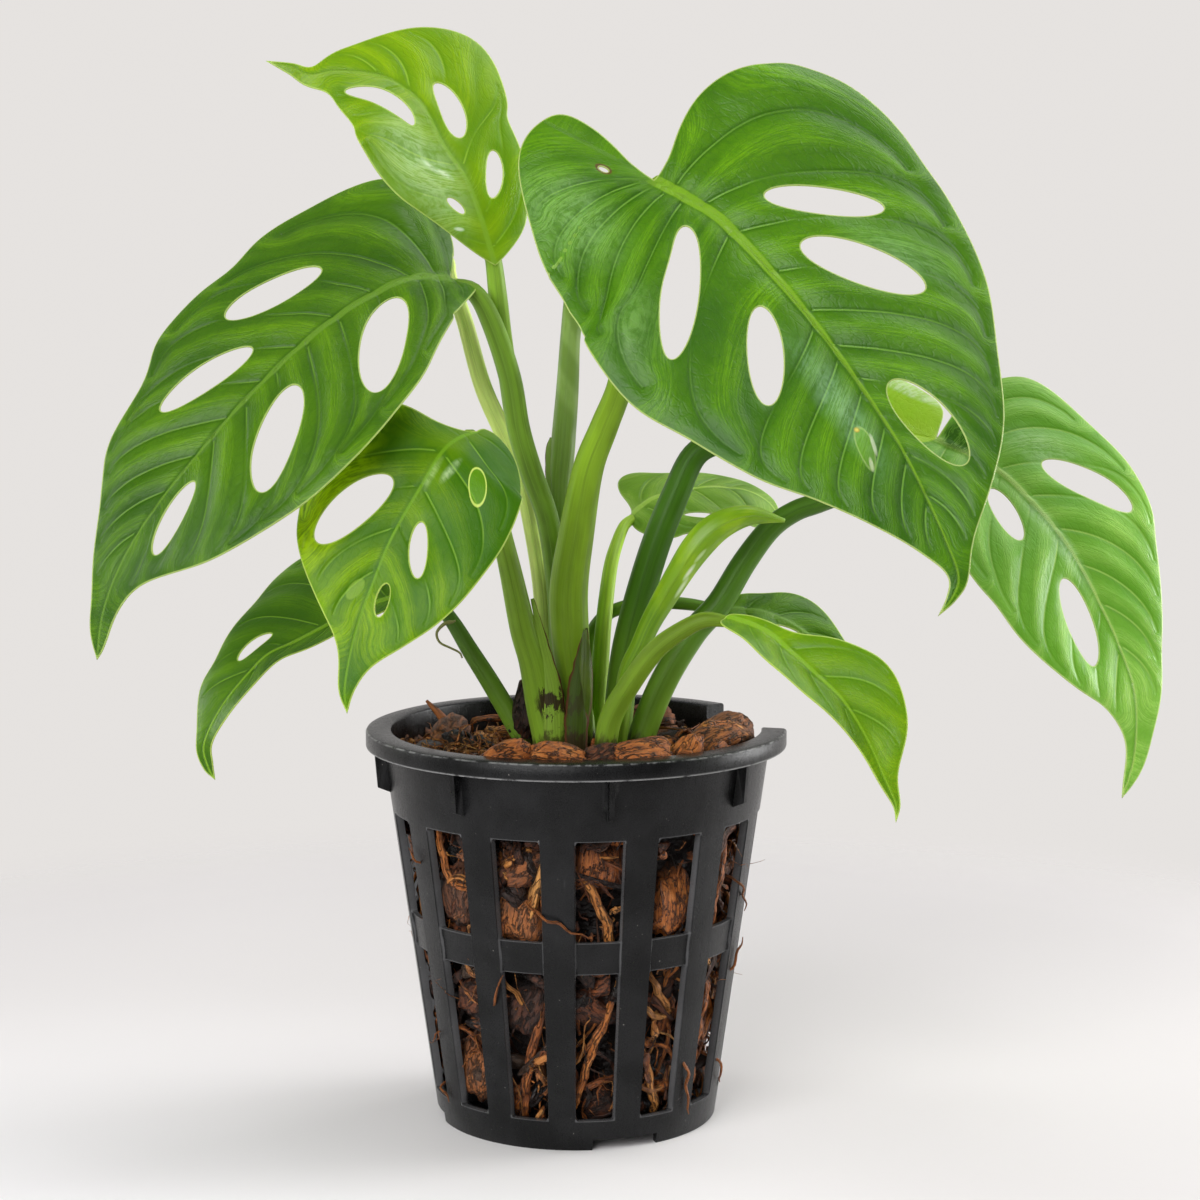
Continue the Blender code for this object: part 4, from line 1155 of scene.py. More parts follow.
    @staticmethod
    def spaced(points: np.ndarray, others: np.ndarray, room: float) -> np.ndarray:
        """Which points keep their distance from all the others.

        Args:
            points: The points to be told apart.
            others: The points that stay.
            room: The least distance between the two.

        Returns:
            True for each point that is far enough off.
        """
        kept = np.zeros(len(points), bool)
        batch = 1000
        for start in range(0, len(points), batch):
            part = points[start:start + batch]
            gaps = np.linalg.norm(part[:, None] - others[None], axis=2).min(axis=1)
            kept[start:start + batch] = gaps > room
        return kept

    def vein_fields(self, points: np.ndarray,
                    veins: list[tuple[int, np.ndarray]]) -> tuple[np.ndarray, np.ndarray]:
        """How far each point is through the row of veins, and from a vein.

        The first number is the mean of the veins' numbers, each weighted with
        1 / distance^2, so it runs smoothly from j at vein j to j + 1.

        Args:
            points: Points in (u, v).
            veins: The side veins.

        Returns:
            The running number and the distance to the nearest vein.
        """
        no_vein = 30.0
        flow = np.zeros(len(points))
        gap = np.full(len(points), no_vein)
        for sign in (1, -1):
            mine = points[:, 1] * sign >= 0.0
            lines = [line for side, line in veins if side == sign]
            if not lines or not mine.any():
                continue
            gaps = np.stack([distance_to_line(line, points[mine], False) for line in lines])
            weights = 1.0 / (gaps + 0.02) ** 2
            number = np.arange(len(lines))[:, None]
            flow[mine] = (weights * number).sum(axis=0) / weights.sum(axis=0)
            gap[mine] = gaps.min(axis=0)
        return flow, gap

    def relief(self, points: np.ndarray, flow: np.ndarray, gap: np.ndarray,
               edge_gap: np.ndarray) -> np.ndarray:
        """Height of the blade over its smooth surface.

        Veins are sunk lines, the blade swells between them, the midrib is a
        low ridge in a trough, and the rest is a fine pucker.

        Args:
            points: Points in (u, v).
            flow: Running number of the veins.
            gap: Distance to the nearest vein.
            edge_gap: Distance to the nearest edge.

        Returns:
            Heights in mm.
        """
        u, v = points.T
        width = np.abs(v)
        phase = np.mod(flow, 1.0)
        open_blade = np.clip(width / 8.0, 0.0, 1.0) * np.clip(edge_gap / 7.5, 0.0, 1.0)
        fold = 4.0 * phase * (1.0 - phase)
        crease = np.exp(-((phase - 0.5) / 0.07) ** 2)
        uneven = 1.0 + 0.35 * ripple(points, 26.0, self.seed + 90)
        swell = (1.0 * fold ** 0.8 - 0.2 * crease) * open_blade * uneven
        groove = -0.45 * np.exp(-gap / 1.1) * np.clip(edge_gap / 6.0, 0.0, 1.0)
        fade = np.clip(1.0 - u / self.length, 0.15, 1.0)
        on_rib = fade * np.clip(1.0 + u / 3.0, 0.0, 1.0)
        trough = -0.7 * np.exp(-(v / 3.2) ** 2) * on_rib
        ridge = 0.75 * np.exp(-(v / (0.45 + 0.7 * fade)) ** 2) * on_rib
        pucker = 0.15 * ripple(np.stack([flow * 9.0, width * 0.50, u * 0.05], axis=-1), 4.2, self.seed)
        broad = 0.5 * ripple(points, 34.0, self.seed + 50) * np.clip(width / 15.0, 0.0, 1.0)
        hem = -0.35 * np.exp(-(edge_gap / 1.6) ** 2)
        quilt = self.finish.quilt
        return quilt * (swell + groove + pucker * open_blade + trough + ridge) + broad + hem

    def blade(self) -> Shape:
        """The blade as a closed thin solid with its veins in relief."""
        edge = self.outline()
        holes = self.hole_loops()
        veins = self.side_veins(edge)
        points, faces = self.net(edge, holes, veins)
        flow, gap = self.vein_fields(points, veins)
        edge_gap = distance_to_line(edge, points, True)
        for hole in holes:
            edge_gap = np.minimum(edge_gap, distance_to_line(hole, points, True))
        u, v = points.T
        step = 0.2
        middle = self.surface(u, v)
        across = self.surface(u, v + step) - middle
        ahead = self.surface(u + step, v) - middle
        normal = unit(np.cross(across, ahead))
        middle = middle + normal * self.relief(points, flow, gap, edge_gap)[:, None]
        half = 0.5 * self.thickness * (0.55 + 0.45 * np.clip(edge_gap / 0.6, 0.0, 1.0))
        radius = np.interp(u, [0.0, self.length], [self.ridge, 0.25])
        keel = 1.35 * np.sqrt(np.clip(radius ** 2 - v ** 2, 0.0, None)) * np.clip(edge_gap, 0.0, 1.0)
        top = middle + normal * half[:, None]
        under = middle - normal * (half + keel)[:, None]
        count = len(points)
        directed = np.vstack([faces[:, [0, 1]], faces[:, [1, 2]], faces[:, [2, 0]]])
        codes = directed[:, 0] * count + directed[:, 1]
        border = directed[~np.isin(codes, directed[:, 1] * count + directed[:, 0])]
        a, b = border.T
        rim = np.stack([b + count, a + count, a, b], axis=-1)
        blade = np.stack([u, v, edge_gap], axis=-1)
        upper = np.stack([flow, gap, np.ones(count)], axis=-1)
        lower = np.stack([flow, gap, np.zeros(count)], axis=-1)
        return Shape(np.vstack([top, under]), [faces[:, ::-1], faces + count, rim],
                     {"blade": np.vstack([blade, blade]), "veins": np.vstack([upper, lower])})

    def stalk_path(self) -> np.ndarray:
        """The stalk's points and radii, from inside the husk to the blade."""
        rows = from_below(np.array(self.stalk, float))
        point, _, normal = self.axes(np.array([0.0, 4.0, 10.0]))
        sunk = point - normal * np.array([[1.5], [1.1], [0.8]]) * self.ridge
        radii = np.array([1.05, 0.95, 0.6]) * self.ridge
        rows = np.vstack([rows[:-1], np.column_stack([sunk, radii])])
        return resample(smooth_path(rows, 14), 1.6)

    def stalk_shape(self) -> Shape:
        """The stalk: a round section with a shallow channel and two low edges."""
        path = self.stalk_path()
        sides = 36
        angle = even_angles(sides)[None, :]
        share = np.linspace(0.0, 1.0, len(path))[:, None]
        turn = angle - math.radians(150.0 + 25.0 * math.sin(self.seed * 2.4)) + 0.5 * share
        turn = np.arctan2(np.sin(turn), np.cos(turn))
        depth = 0.16 * (1.0 - 0.6 * share)
        channel = -depth * np.exp(-(turn / 0.42) ** 2)
        edges = 0.6 * depth * (np.exp(-((turn - 0.75) / 0.16) ** 2)
                               + np.exp(-((turn + 0.75) / 0.16) ** 2))
        ribs = 0.012 * np.sin(angle * 9.0 + self.seed)
        return swept(path[:, :3], path[:, 3], sides, section=1.0 + channel + edges + ribs)

    def build(self) -> None:
        """Make and dress the blade and the stalk."""
        self.prepare()
        material = self.finish.blade_material(self.seed * 7.3, self.marks)
        self.blade().piece(f"{self.node}_blade", material, self.finish.slot, (self.node,))
        stalk = self.finish.stalk_material(self.stem, self.seed * 3.1, self.scar)
        self.stalk_shape().piece(f"{self.node}_stalk", stalk, self.finish.slot, (self.node,))


@dataclass
class RolledLeaf:
    """A young leaf that is still rolled: one tapering tube with a seam."""

    node: str
    finish: LeafFinish
    route: list[Station]
    opens_at: float
    overlap: float = 0.20
    turns: float = 0.6
    seed: int = 3
    light_slits: tuple[Mark, ...] = ()

    def build(self) -> None:
        """Make the tube; its radius steps in by the overlap at the seam."""
        path = resample(smooth_path(from_below(np.array(self.route, float)), 14), 1.2)
        sides = 48
        share = np.linspace(0.0, 1.0, len(path))[:, None]
        angle = even_angles(sides)[None, :]
        start = 0.7 + self.turns * 2.0 * math.pi * share
        around = np.mod(angle - start, 2.0 * math.pi) / (2.0 * math.pi)
        rolled = np.clip((share - self.opens_at) / 0.06, 0.0, 1.0)
        step = self.overlap * rolled * (around - 0.5)
        channel = -0.10 * (1.0 - rolled) * np.exp(-((around - 0.5) / 0.08) ** 2)
        ribs = 0.012 * np.sin(angle * 9.0 + self.seed)
        shape = swept(path[:, :3], path[:, 3], sides, section=1.0 + step + channel + ribs)
        around_all = np.append(np.broadcast_to(around, (len(path), sides)).ravel(), [0.5, 0.5])
        rolled_all = np.append(np.broadcast_to(rolled, (len(path), sides)).ravel(), [0.0, 1.0])
        unused = np.zeros(len(around_all))
        shape.attributes["roll"] = np.stack([around_all, rolled_all, unused], axis=-1)
        shape.piece(f"{self.node}_body", self.material(), self.finish.slot, (self.node,))

    def material(self) -> bpy.types.Material:
        """Stalk below and slanting veins with a pale free edge above."""
        g = Graph(self.node)
        around, rolled, _ = g.attribute("roll")
        along, angle, _ = g.attribute("tube")
        x, y = g.wrapped(angle)
        lines = g.noise(g.vector(x + self.seed, y, along * 0.02), 1.9, 3.0, 0.65)
        slant = (along * 0.42 + around * 9.0).math("SINE") * 0.5 + 0.5
        clouds = g.noise(g.vector(x, y, along * 0.3), 0.4, 2.0)
        finish = self.finish
        stalk = g.mix(lines.rise(0.34, 0.66), finish.deep, finish.blade)
        stalk = g.mix(along.rise(60.0, 8.0) * 0.7, stalk, FOOT_GREEN)
        blade = g.mix(slant.rise(0.2, 0.9) * clouds.rise(0.3, 0.6), finish.blade, finish.light)
        blade = g.mix(lines.rise(0.62, 0.75) * 0.35, blade, finish.deep)
        edge = around.rise(0.05, 0.0) + around.rise(0.955, 0.985)
        blade = g.mix(edge.clip() * 0.8, blade, finish.margin)
        right, _, up = g.place()
        # Painted light: pale slits where the bright background shows between the rolled margins
        for light_slit in self.light_slits:
            blade = light_slit.painted(g, right, up, blade)
        g.bump(lines * 0.6 + slant * 0.4, 0.25)
        g.set(Base_Color=g.mix(rolled, stalk, blade), Roughness=0.34 + lines * 0.1,
              Subsurface_Weight=0.25, Subsurface_Radius=(0.5, 1.0, 0.15), Subsurface_Scale=0.0012)
        return g.material


@dataclass
class Sheath:
    """A strip of old leaf base wrapped round a stalk, with a thin brown edge.

    Each row is (x, y, z, half width); the strip faces the given direction
    and bows round the stalk with the given radius.
    """

    name: str
    node: str
    slot: Slot
    rows: list[Station]
    facing: Point
    bow: float = 5.0
    thickness: float = 0.35
    inner: Colour = (0.12, 0.20, 0.02)
    edge: Colour = (0.10, 0.035, 0.012)
    ragged: float = 0.35
    torn: tuple[float, float] = (119.6, 124.6)
    worn: float = 0.0
    dry_left: float = 1.0

    def build(self) -> None:
        """Make the strip as a closed thin solid."""
        path = resample(smooth_path(self.rows, 12), 1.0)
        centre, half = path[:, :3], path[:, 3]
        facing = unit(np.array(self.facing))
        along = unit(np.gradient(centre, axis=0))
        side = unit(np.cross(along, facing))
        outward = np.cross(side, along)
        columns = 13
        rows = len(path)
        s = np.linspace(-1.0, 1.0, columns)[None, :]
        torn = 1.0 + self.ragged * 0.25 * ripple(centre, 4.0, len(self.name))[:, None] * np.abs(s) ** 3
        angle = s * half[:, None] / self.bow * torn
        ring = (side[:, None] * (np.sin(angle) * self.bow)[:, :, None]
                + outward[:, None] * ((np.cos(angle) - 1.0) * self.bow)[:, :, None])
        thick = self.thickness * (1.0 - 0.6 * np.abs(s) ** 4)[:, :, None] * outward[:, None]
        front = (centre[:, None] + ring + 0.5 * thick).reshape(-1, 3)
        back = (centre[:, None] + ring - 0.5 * thick).reshape(-1, 3)
        count = rows * columns
        quads = grid_faces(rows, columns, wrap=False)
        border = np.concatenate([
            np.arange(columns), np.arange(1, rows) * columns + columns - 1,
            (rows - 1) * columns + np.arange(columns - 2, -1, -1), np.arange(rows - 2, 0, -1) * columns])
        following = np.roll(border, -1)
        rim = np.stack([border, border + count, following + count, following], axis=-1)
        data = np.stack([np.repeat(path_length(path), columns), np.tile(s[0], rows),
                         np.zeros(count)], axis=-1)
        shape = Shape(np.vstack([front, back]), [quads, quads[:, ::-1] + count, rim],
                      {"strip": np.vstack([data, data])})
        shape.outward().piece(self.name, self.material(), self.slot, (self.node,))

    def material(self) -> bpy.types.Material:
        """Green with fine lines, and a dry brown edge and end."""
        g = Graph(self.name)
        along, across, _ = g.attribute("strip")
        lines = g.noise(g.vector(across * 9.0, along * 0.05, 0.0), 1.0, 3.0, 0.6)
        wave = g.noise(g.vector(across, along * 0.4, 3.0), 1.0, 2.0)
        dry_right = (wave * 0.25 - across).rise(0.86, 0.98)
        dry = (dry_right + (wave * 0.25 + across).rise(0.86, 0.98) * self.dry_left).clip()
        shine = tuple(1.4 * part for part in self.inner)
        colour = g.mix(lines.rise(0.35, 0.65), self.inner, shine)
        _, _, z = g.place()
        tears = g.noise(g.vector(across * 2.2, along * 0.35, 5.0), 1.3, 5.0, 0.8)
        blot = g.noise(g.vector(across * 1.1, along * 0.15, 9.0), 1.0, 2.0)
        place = z + (tears - 0.5) * 14.0 + (blot - 0.5) * 16.0
        low, high = self.torn
        torn = place.rise(low - 0.4, low + 0.4) * place.rise(high + 0.4, high - 0.4)
        dirt = place.rise(115.0, 111.5)
        brown = g.mix(lines, *SHEATH_TEAR_COLOURS)
        colour = g.mix((torn * self.worn + dirt * 0.8).clip(), colour, brown)
        g.bump(lines, 0.2)
        g.set(Base_Color=g.mix(dry, colour, self.edge), Roughness=0.45 + dry * 0.3,
              Specular_IOR_Level=0.22)
        return g.material


# The pot

def turned_point(azimuth: np.ndarray | float, radius: np.ndarray | float,
                 height: np.ndarray | float) -> np.ndarray:
    """Points at an azimuth (degrees from the front towards +X) and radius.

    Args:
        azimuth: Degrees, one or a row of them.
        radius: Distance from the axis.
        height: Height over the floor.

    Returns:
        One row of x, y and z for each point.
    """
    a = np.radians(azimuth)
    a, radius, height = np.broadcast_arrays(a, radius, height)
    return np.stack([radius * np.sin(a), -radius * np.cos(a), height], axis=-1)


@dataclass
class Pot:
    """The slotted pot: a foot, ribs and two rows of windows, and a lip."""

    lip_radius: float = 60.0
    lip_inner: float = 52.8
    lip_top: float = 112.3
    lip_bottom: float = 107.4
    wall_top_radius: float = 55.1
    foot_radius: float = 40.0
    wall: float = 2.3
    columns: int = 14
    first_column_deg: float = 7.6
    window_share: float = 0.58
    window_rows: tuple[tuple[float, float], ...] = ((8.7, 51.5), (60.6, 89.6))
    floor_low: float = 3.2
    floor_high: float = 5.0
    pad_radius: float = 12.0
    pad_hub: float = 6.0
    pad_inside: float = 1.8
    band_recess: float = 0.85
    corner: float = 0.55
    fins: int = 8
    first_fin_deg: float = 10.0
    fin_length: float = 13.5
    slots: int = 8
    slot_radius: float = 26.0
    slot_size: Point = (3.0, 13.0, 10.0)
    notch_size: Point = (19.0, 8.0, 6.0)
    notches_deg: tuple[float, ...] = (20.4, 97.7, 200.5, 277.6)
    break_deg: tuple[float, float] = (88.0, 133.0)
    break_depth: float = 10.5
    edge_round: float = 0.33
    sharp_deg: float = 38.0
    rounded_deg: float = 48.0

    @property
    def pitch(self) -> float:
        """Degrees from one window to the next."""
        return 360.0 / self.columns

    @property
    def half_window(self) -> float:
        """Degrees from a window's middle to its side."""
        return 0.5 * self.pitch * self.window_share

    def radius_at(self, height: np.ndarray | float) -> np.ndarray | float:
        """Outer radius of the wall at a height."""
        return self.foot_radius + (self.wall_top_radius - self.foot_radius) * height / self.lip_bottom

    def column_angles(self) -> tuple[np.ndarray, np.ndarray]:
        """Azimuths of the grid's columns, and each one's offset from its window.

        Returns:
            Azimuths and offsets in degrees.
        """
        half = self.half_window
        span = self.pitch - 2.0 * half
        rib = np.array([0.36, 2.8, 0.5 * span, span - 2.8, span - 0.36]) + half
        offsets = np.concatenate([half * np.array([-1.0, -0.75, -0.38, 0.0, 0.38, 0.75, 1.0]), rib])
        starts = self.first_column_deg + self.pitch * np.arange(self.columns)
        return (starts[:, None] + offsets[None, :]).ravel(), np.tile(offsets, self.columns)

    def heights(self, top: float, bottom: float) -> np.ndarray:
        """Heights of the wall's rows, dense at the windows' corners, downwards.

        Args:
            top: Where the wall starts.
            bottom: Where it ends.

        Returns:
            The heights, each one once.
        """
        rows = [top, bottom]
        for low, high in self.window_rows:
            rows += [low, low + 0.3, low + 0.7, low + 1.2, high, high - 0.3, high - 0.7, high - 1.2]
            rows += list(np.arange(low + 6.0, high - 4.0, 6.0))
        rows += [104.0, 98.0, 93.0, 55.5, 7.0]
        kept = sorted({round(z, 2) for z in rows if bottom <= z <= top}, reverse=True)
        return np.array(kept)

    def body(self) -> Shape:
        """Wall, foot, floor and lip as one closed turned shape with windows."""
        azimuth, offset = self.column_angles()
        count = len(azimuth)
        half = self.half_window
        outer = self.heights(self.lip_bottom - 0.3, 0.4)
        inner = self.heights(self.lip_bottom, self.floor_high + 0.3)[::-1]
        lip = [(self.lip_inner, self.lip_top - 0.7), (self.lip_inner + 0.12, self.lip_top - 0.25),
               (self.lip_inner + 0.6, self.lip_top), (self.lip_radius - 0.9, self.lip_top),
               (self.lip_radius - 0.3, self.lip_top - 0.2), (self.lip_radius, self.lip_top - 0.7),
               (self.lip_radius, self.lip_bottom + 0.5), (self.lip_radius - 0.12, self.lip_bottom + 0.12),
               (self.lip_radius - 0.5, self.lip_bottom), (self.wall_top_radius + 0.6, self.lip_bottom)]
        foot = self.foot_radius
        under = [(foot - 0.3, 0.0), (foot - self.wall + 0.3, 0.0), (foot - self.wall, 0.3),
                 (foot - self.wall, self.floor_low), (self.slot_radius, self.floor_low),
                 (self.pad_radius + self.floor_low, self.floor_low), (self.pad_radius, 0.0),
                 (self.pad_hub, 0.0)]
        floor = [(self.pad_hub, self.pad_inside), (self.pad_radius - 1.0, self.pad_inside),
                 (self.pad_radius + self.floor_low - 1.0, self.floor_high),
                 (self.slot_radius, self.floor_high),
                 (self.radius_at(self.floor_high) - self.wall, self.floor_high)]
        rows = lip + [(self.radius_at(z), z) for z in outer] + under
        outer_start = len(lip)
        centre_row = len(rows)
        rows += floor
        inner_start = len(rows)
        rows += [(self.radius_at(z) - self.wall, z) for z in inner]
        radius, height = (np.array(values) for values in zip(*rows))
        radius = np.repeat(radius[:, None], count, axis=1)
        turn = np.repeat(azimuth[None, :], len(rows), axis=0)
        panel = (np.abs(offset) < half + SAME)[None, :]
        edge = (np.abs(np.abs(offset) - half) < SAME)[None, :]
        low_row, high_row = self.window_rows
        band = ((height > low_row[0] + 0.9) & (height < high_row[1] - 0.9))[:, None]
        is_outer = np.zeros(len(rows), bool)
        is_outer[outer_start:outer_start + len(outer)] = True
        radius -= np.where(panel & band & is_outer[:, None], self.band_recess, 0.0)
        near_end = np.full(len(rows), 99.0)
        for low, high in self.window_rows:
            within = (height >= low - SAME) & (height <= high + SAME)
            near_end = np.where(within, np.minimum(height - low, high - height), near_end)
        pull = np.interp(near_end, [0.0, 0.3, 0.7, 1.2], [1.0, 0.42, 0.12, 0.0]) * self.corner
        shift = np.degrees(pull[:, None] / radius) * -np.sign(offset)[None, :]
        turn = turn + np.where(edge, shift, 0.0)
        points = turned_point(turn, radius, height[:, None]).reshape(-1, 3)
        faces = []
        spans = {"outer": [], "inner": []}
        for row in range(len(rows) - 1):
            if row == centre_row - 1:
                continue
            z = 0.5 * (height[row] + height[row + 1])
            in_wall = is_outer[row] and is_outer[row + 1] or row >= inner_start
            window = in_wall and any(low < z < high for low, high in self.window_rows)
            quads = grid_faces(2, count, row * count)
            if window:
                middle = 0.5 * (offset + np.roll(offset, -1))
                middle[np.roll(offset, -1) < offset] = 90.0
                open_cell = np.abs(middle) < half
                quads = quads[~open_cell]
                spans["outer" if is_outer[row] else "inner"].append(row)
            faces.append(quads)
        close = grid_faces(2, count, 0)
        faces.append(np.where(close < count, close + (len(rows) - 1) * count, close - count))
        faces += self.caps(centre_row, count)
        faces += self.jambs(spans, height, offset, half, count)
        return Shape(points, faces, {}).outward()

    @staticmethod
    def caps(centre_row: int, count: int) -> list[np.ndarray]:
        """Rows of quads that close the pad's two faces across the axis.

        Args:
            centre_row: The second of the two rows round the axis, one on each face.
            count: Points in a row.

        Returns:
            The quads of the one face and of the other.
        """
        k = np.arange(count // 2 - 1)
        quad = np.stack([k, k + 1, count - 2 - k, count - 1 - k], axis=-1)
        return [quad + (centre_row - 1) * count, quad[:, ::-1] + centre_row * count]

    def jambs(self, spans: dict[str, list[int]], height: np.ndarray, offset: np.ndarray,
              half: float, count: int) -> list[np.ndarray]:
        """The windows' sides, sills and heads between outer and inner wall.

        Args:
            spans: Rows of the outer and inner wall whose cells are open.
            height: Heights of all rows.
            offset: The columns' offsets from their windows.
            half: Half a window's angle.
            count: Columns in all.

        Returns:
            Arrays of quads.
        """
        inner_of = {round(float(height[row + 1]), 2): row + 1 for row in spans["inner"]}
        inner_of.update({round(float(height[row]), 2): row for row in spans["inner"]})
        left = np.flatnonzero(np.abs(offset + half) < SAME)
        right = np.flatnonzero(np.abs(offset - half) < SAME)
        quads = []
        for row in spans["outer"]:
            upper = inner_of[round(float(height[row]), 2)]
            lower = inner_of[round(float(height[row + 1]), 2)]
            a, b = row * count, (row + 1) * count
            c, d = lower * count, upper * count
            quads.append(np.stack([a + right, b + right, c + right, d + right], axis=-1))
            quads.append(np.stack([b + left, a + left, d + left, c + left], axis=-1))
        for low, high in self.window_rows:
            for z, is_top in ((low, False), (high, True)):
                below = 0 if is_top else 1
                outer_row = [row for row in spans["outer"] if abs(height[row + below] - z) < SAME][0]
                a = (outer_row + below) * count
                d = inner_of[round(z, 2)] * count
                for step in range(6):
                    k = left + step
                    quad = np.stack([a + k, a + k + 1, d + k + 1, d + k], axis=-1)
                    quads.append(quad[:, ::-1] if is_top else quad)
        return quads

    def fin(self, azimuth: float) -> Shape:
        """A small gusset under the lip with a slanted lower end.

        Args:
            azimuth: Where it stands, in degrees.

        Returns:
            The gusset as a closed shape.
        """
        top = self.lip_bottom + 0.6
        low = top - self.fin_length
        outline = [(58.0, top), (57.0, low + 2.0), (self.radius_at(low) - 1.2, low),
                   (self.radius_at(top) - 1.2, top)]
        rows = np.array([(side, -radius, z) for side in (-0.7, 0.7) for radius, z in outline])
        faces = np.array([(0, 1, 2, 3), (7, 6, 5, 4), (0, 4, 5, 1), (1, 5, 6, 2), (2, 6, 7, 3),
                          (3, 7, 4, 0)])
        return Shape(spun(rows, azimuth), [faces], {}).outward()

    def boxes(self, size: Point, radius: float, height: float, turns: tuple[float, ...]) -> Shape:
        """Equal boxes round the axis.

        Args:
            size: Width across, depth along the radius, and height.
            radius: Where each one's middle is.
            height: The same, upwards.
            turns: Azimuths in degrees, anticlockwise from the front.

        Returns:
            The boxes as one shape.
        """
        corners = ((-0.5, -0.5), (0.5, -0.5), (0.5, 0.5), (-0.5, 0.5))
        box = np.array([(x, y, z) for z in (-0.5, 0.5) for x, y in corners])
        box = box * np.array(size) + np.array([0.0, -radius, height])
        faces = np.array([(3, 2, 1, 0), (4, 5, 6, 7), (0, 1, 5, 4), (1, 2, 6, 5), (2, 3, 7, 6),
                          (3, 0, 4, 7)])
        return Shape.joined([Shape(spun(box, turn), [faces], {}).outward() for turn in turns])

    def break_cutter(self) -> Shape:
        """What is missing of the lip, with an uneven lower edge."""
        rng = np.random.default_rng(11)
        count = 20
        share = np.linspace(0.0, 1.0, count)
        azimuth = self.break_deg[0] + (self.break_deg[1] - self.break_deg[0]) * share
        drop = rng.uniform(-1.0, 1.0, count) + 5.0 * np.exp(-(share / 0.10) ** 2)
        drop = drop + 4.0 * np.exp(-((1.0 - share) / 0.08) ** 2)
        low = self.lip_top - self.break_depth + drop
        slant = -3.0 * (1.0 - share) ** 6
        inner, outer, above = 44.0, 66.0, 120.0
        corners = ((inner, low, -1.0), (outer, low - 0.6, 1.0), (outer, above, 1.0), (inner, above, -1.0))
        rows = [turned_point(azimuth + slant * lean, radius, z) for radius, z, lean in corners]
        points = np.stack(rows, axis=1).reshape(-1, 3)
        faces = grid_faces(count, 4)
        ends = np.array([(3, 2, 1, 0), tuple((count - 1) * 4 + k for k in range(4))])
        return Shape(points, [faces, ends], {}).outward()

    def material(self) -> bpy.types.Material:
        """Charcoal plastic with dust, scuffs and worn edges on the lip, and painted highlights along the
        windows' edges.
        """
        g = Graph("pot")
        x, y, z = g.place()
        radius = (x * x + y * y).math("SQRT")
        spot = g.vector(x, y, z)
        grain = g.noise(spot, 3.0, 3.0, 0.6)
        clouds = g.noise(spot, 0.06, 3.0, 0.55)
        streaks = g.noise(g.vector(x * 0.8, y * 0.8, z * 0.06), 0.5, 3.0, 0.6)
        shift = 720.0 - self.first_column_deg + 0.5 * self.pitch
        azimuth = x.math("ARCTAN2", y * -1.0) * (180.0 / math.pi) + shift
        offset = (azimuth.math("MODULO", self.pitch) - 0.5 * self.pitch).math("ABSOLUTE")
        side_gap = (offset - self.half_window) * radius * (math.pi / 180.0)
        low_row, high_row = self.window_rows
        # Painted highlights: thin pale lines along the windows' sides, sills and heads, where the rounded
        # edges catch the light
        beside = side_gap.math("ABSOLUTE").rise(0.32, 0.08)
        beside = beside * z.rise(low_row[0] - 0.2, low_row[0]) * z.rise(high_row[1] + 0.2, high_row[1])
        ends = None
        for level in (*low_row, *high_row):
            line = (z - level).math("ABSOLUTE").rise(0.32, 0.08) * side_gap.rise(0.3, 0.0)
            ends = line if ends is None else ends + line
        edge = (beside + ends).clip() * radius.rise(self.foot_radius - 1.0, self.foot_radius)
        dust = g.noise(spot, 1.05, 2.0, 0.7).rise(0.735, 0.775) * clouds.rise(0.35, 0.6)
        scuff = streaks.rise(0.66, 0.78) * clouds.rise(0.5, 0.68)
        colour = g.mix(clouds.rise(0.35, 0.65), *PLASTIC)
        colour = g.mix(scuff * 0.5, colour, PLASTIC_SCUFF)
        colour = g.mix(edge * (clouds * 0.6 + 0.15), colour, PLASTIC_EDGE_HIGHLIGHT)
        wear = radius.rise(59.2, 59.7) * z.rise(108.1, 107.6)
        wear = wear * g.noise(spot, 0.3, 3.0, 0.7).rise(0.25, 0.50)
        rim = radius.rise(59.3, 59.8) * z.rise(111.6, 112.1)
        rim = rim * g.noise(spot, 0.4, 3.0, 0.7).rise(0.42, 0.6)
        colour = g.mix((wear * 0.55 + rim * 0.45).clip(), colour, PLASTIC_WORN)
        colour = g.mix(dust * 0.75, colour, DUST)
        soil = radius.rise(52.9, 52.2) * z.rise(97.0, 99.0) * z.rise(112.0, 105.0)
        soil = soil * g.noise(spot, 0.35, 4.0, 0.7).rise(0.45, 0.62)
        colour = g.mix(soil * 0.7, colour, POT_SOIL)
        g.bump(grain * 0.7 + streaks * 0.3, 0.12)
        rough = 0.20 + grain * 0.10 + streaks * 0.06 - scuff * 0.06 + dust * 0.2
        g.set(Base_Color=colour, Roughness=rough, Specular_IOR_Level=0.20)
        return g.material

    def build(self) -> None:
        """Make the pot, cut it and round its edges."""
        turns = [self.first_fin_deg + 360.0 / self.fins * index for index in range(self.fins)]
        fins = [self.fin(turn) for turn in turns if not self.break_deg[0] < turn < self.break_deg[1]]
        shape = Shape.joined([self.body(), *fins])
        item = shape.piece("pot_moulding", self.material(), Slot.POT, ("pot",))
        slot_turns = tuple(360.0 / self.slots * (index + 0.5) for index in range(self.slots))
        cut_out(item, self.boxes(self.notch_size, self.foot_radius, 0.0, self.notches_deg))
        cut_out(item, self.boxes(self.slot_size, self.slot_radius, self.floor_low, slot_turns))
        cut_out(item, self.break_cutter())
        item.data.set_sharp_from_angle(angle=math.radians(self.sharp_deg))
        bevel = item.modifiers.new("rounded edges", "BEVEL")
        bevel.width = self.edge_round * MM
        bevel.segments = 2
        bevel.limit_method = "ANGLE"
        bevel.angle_limit = math.radians(self.rounded_deg)


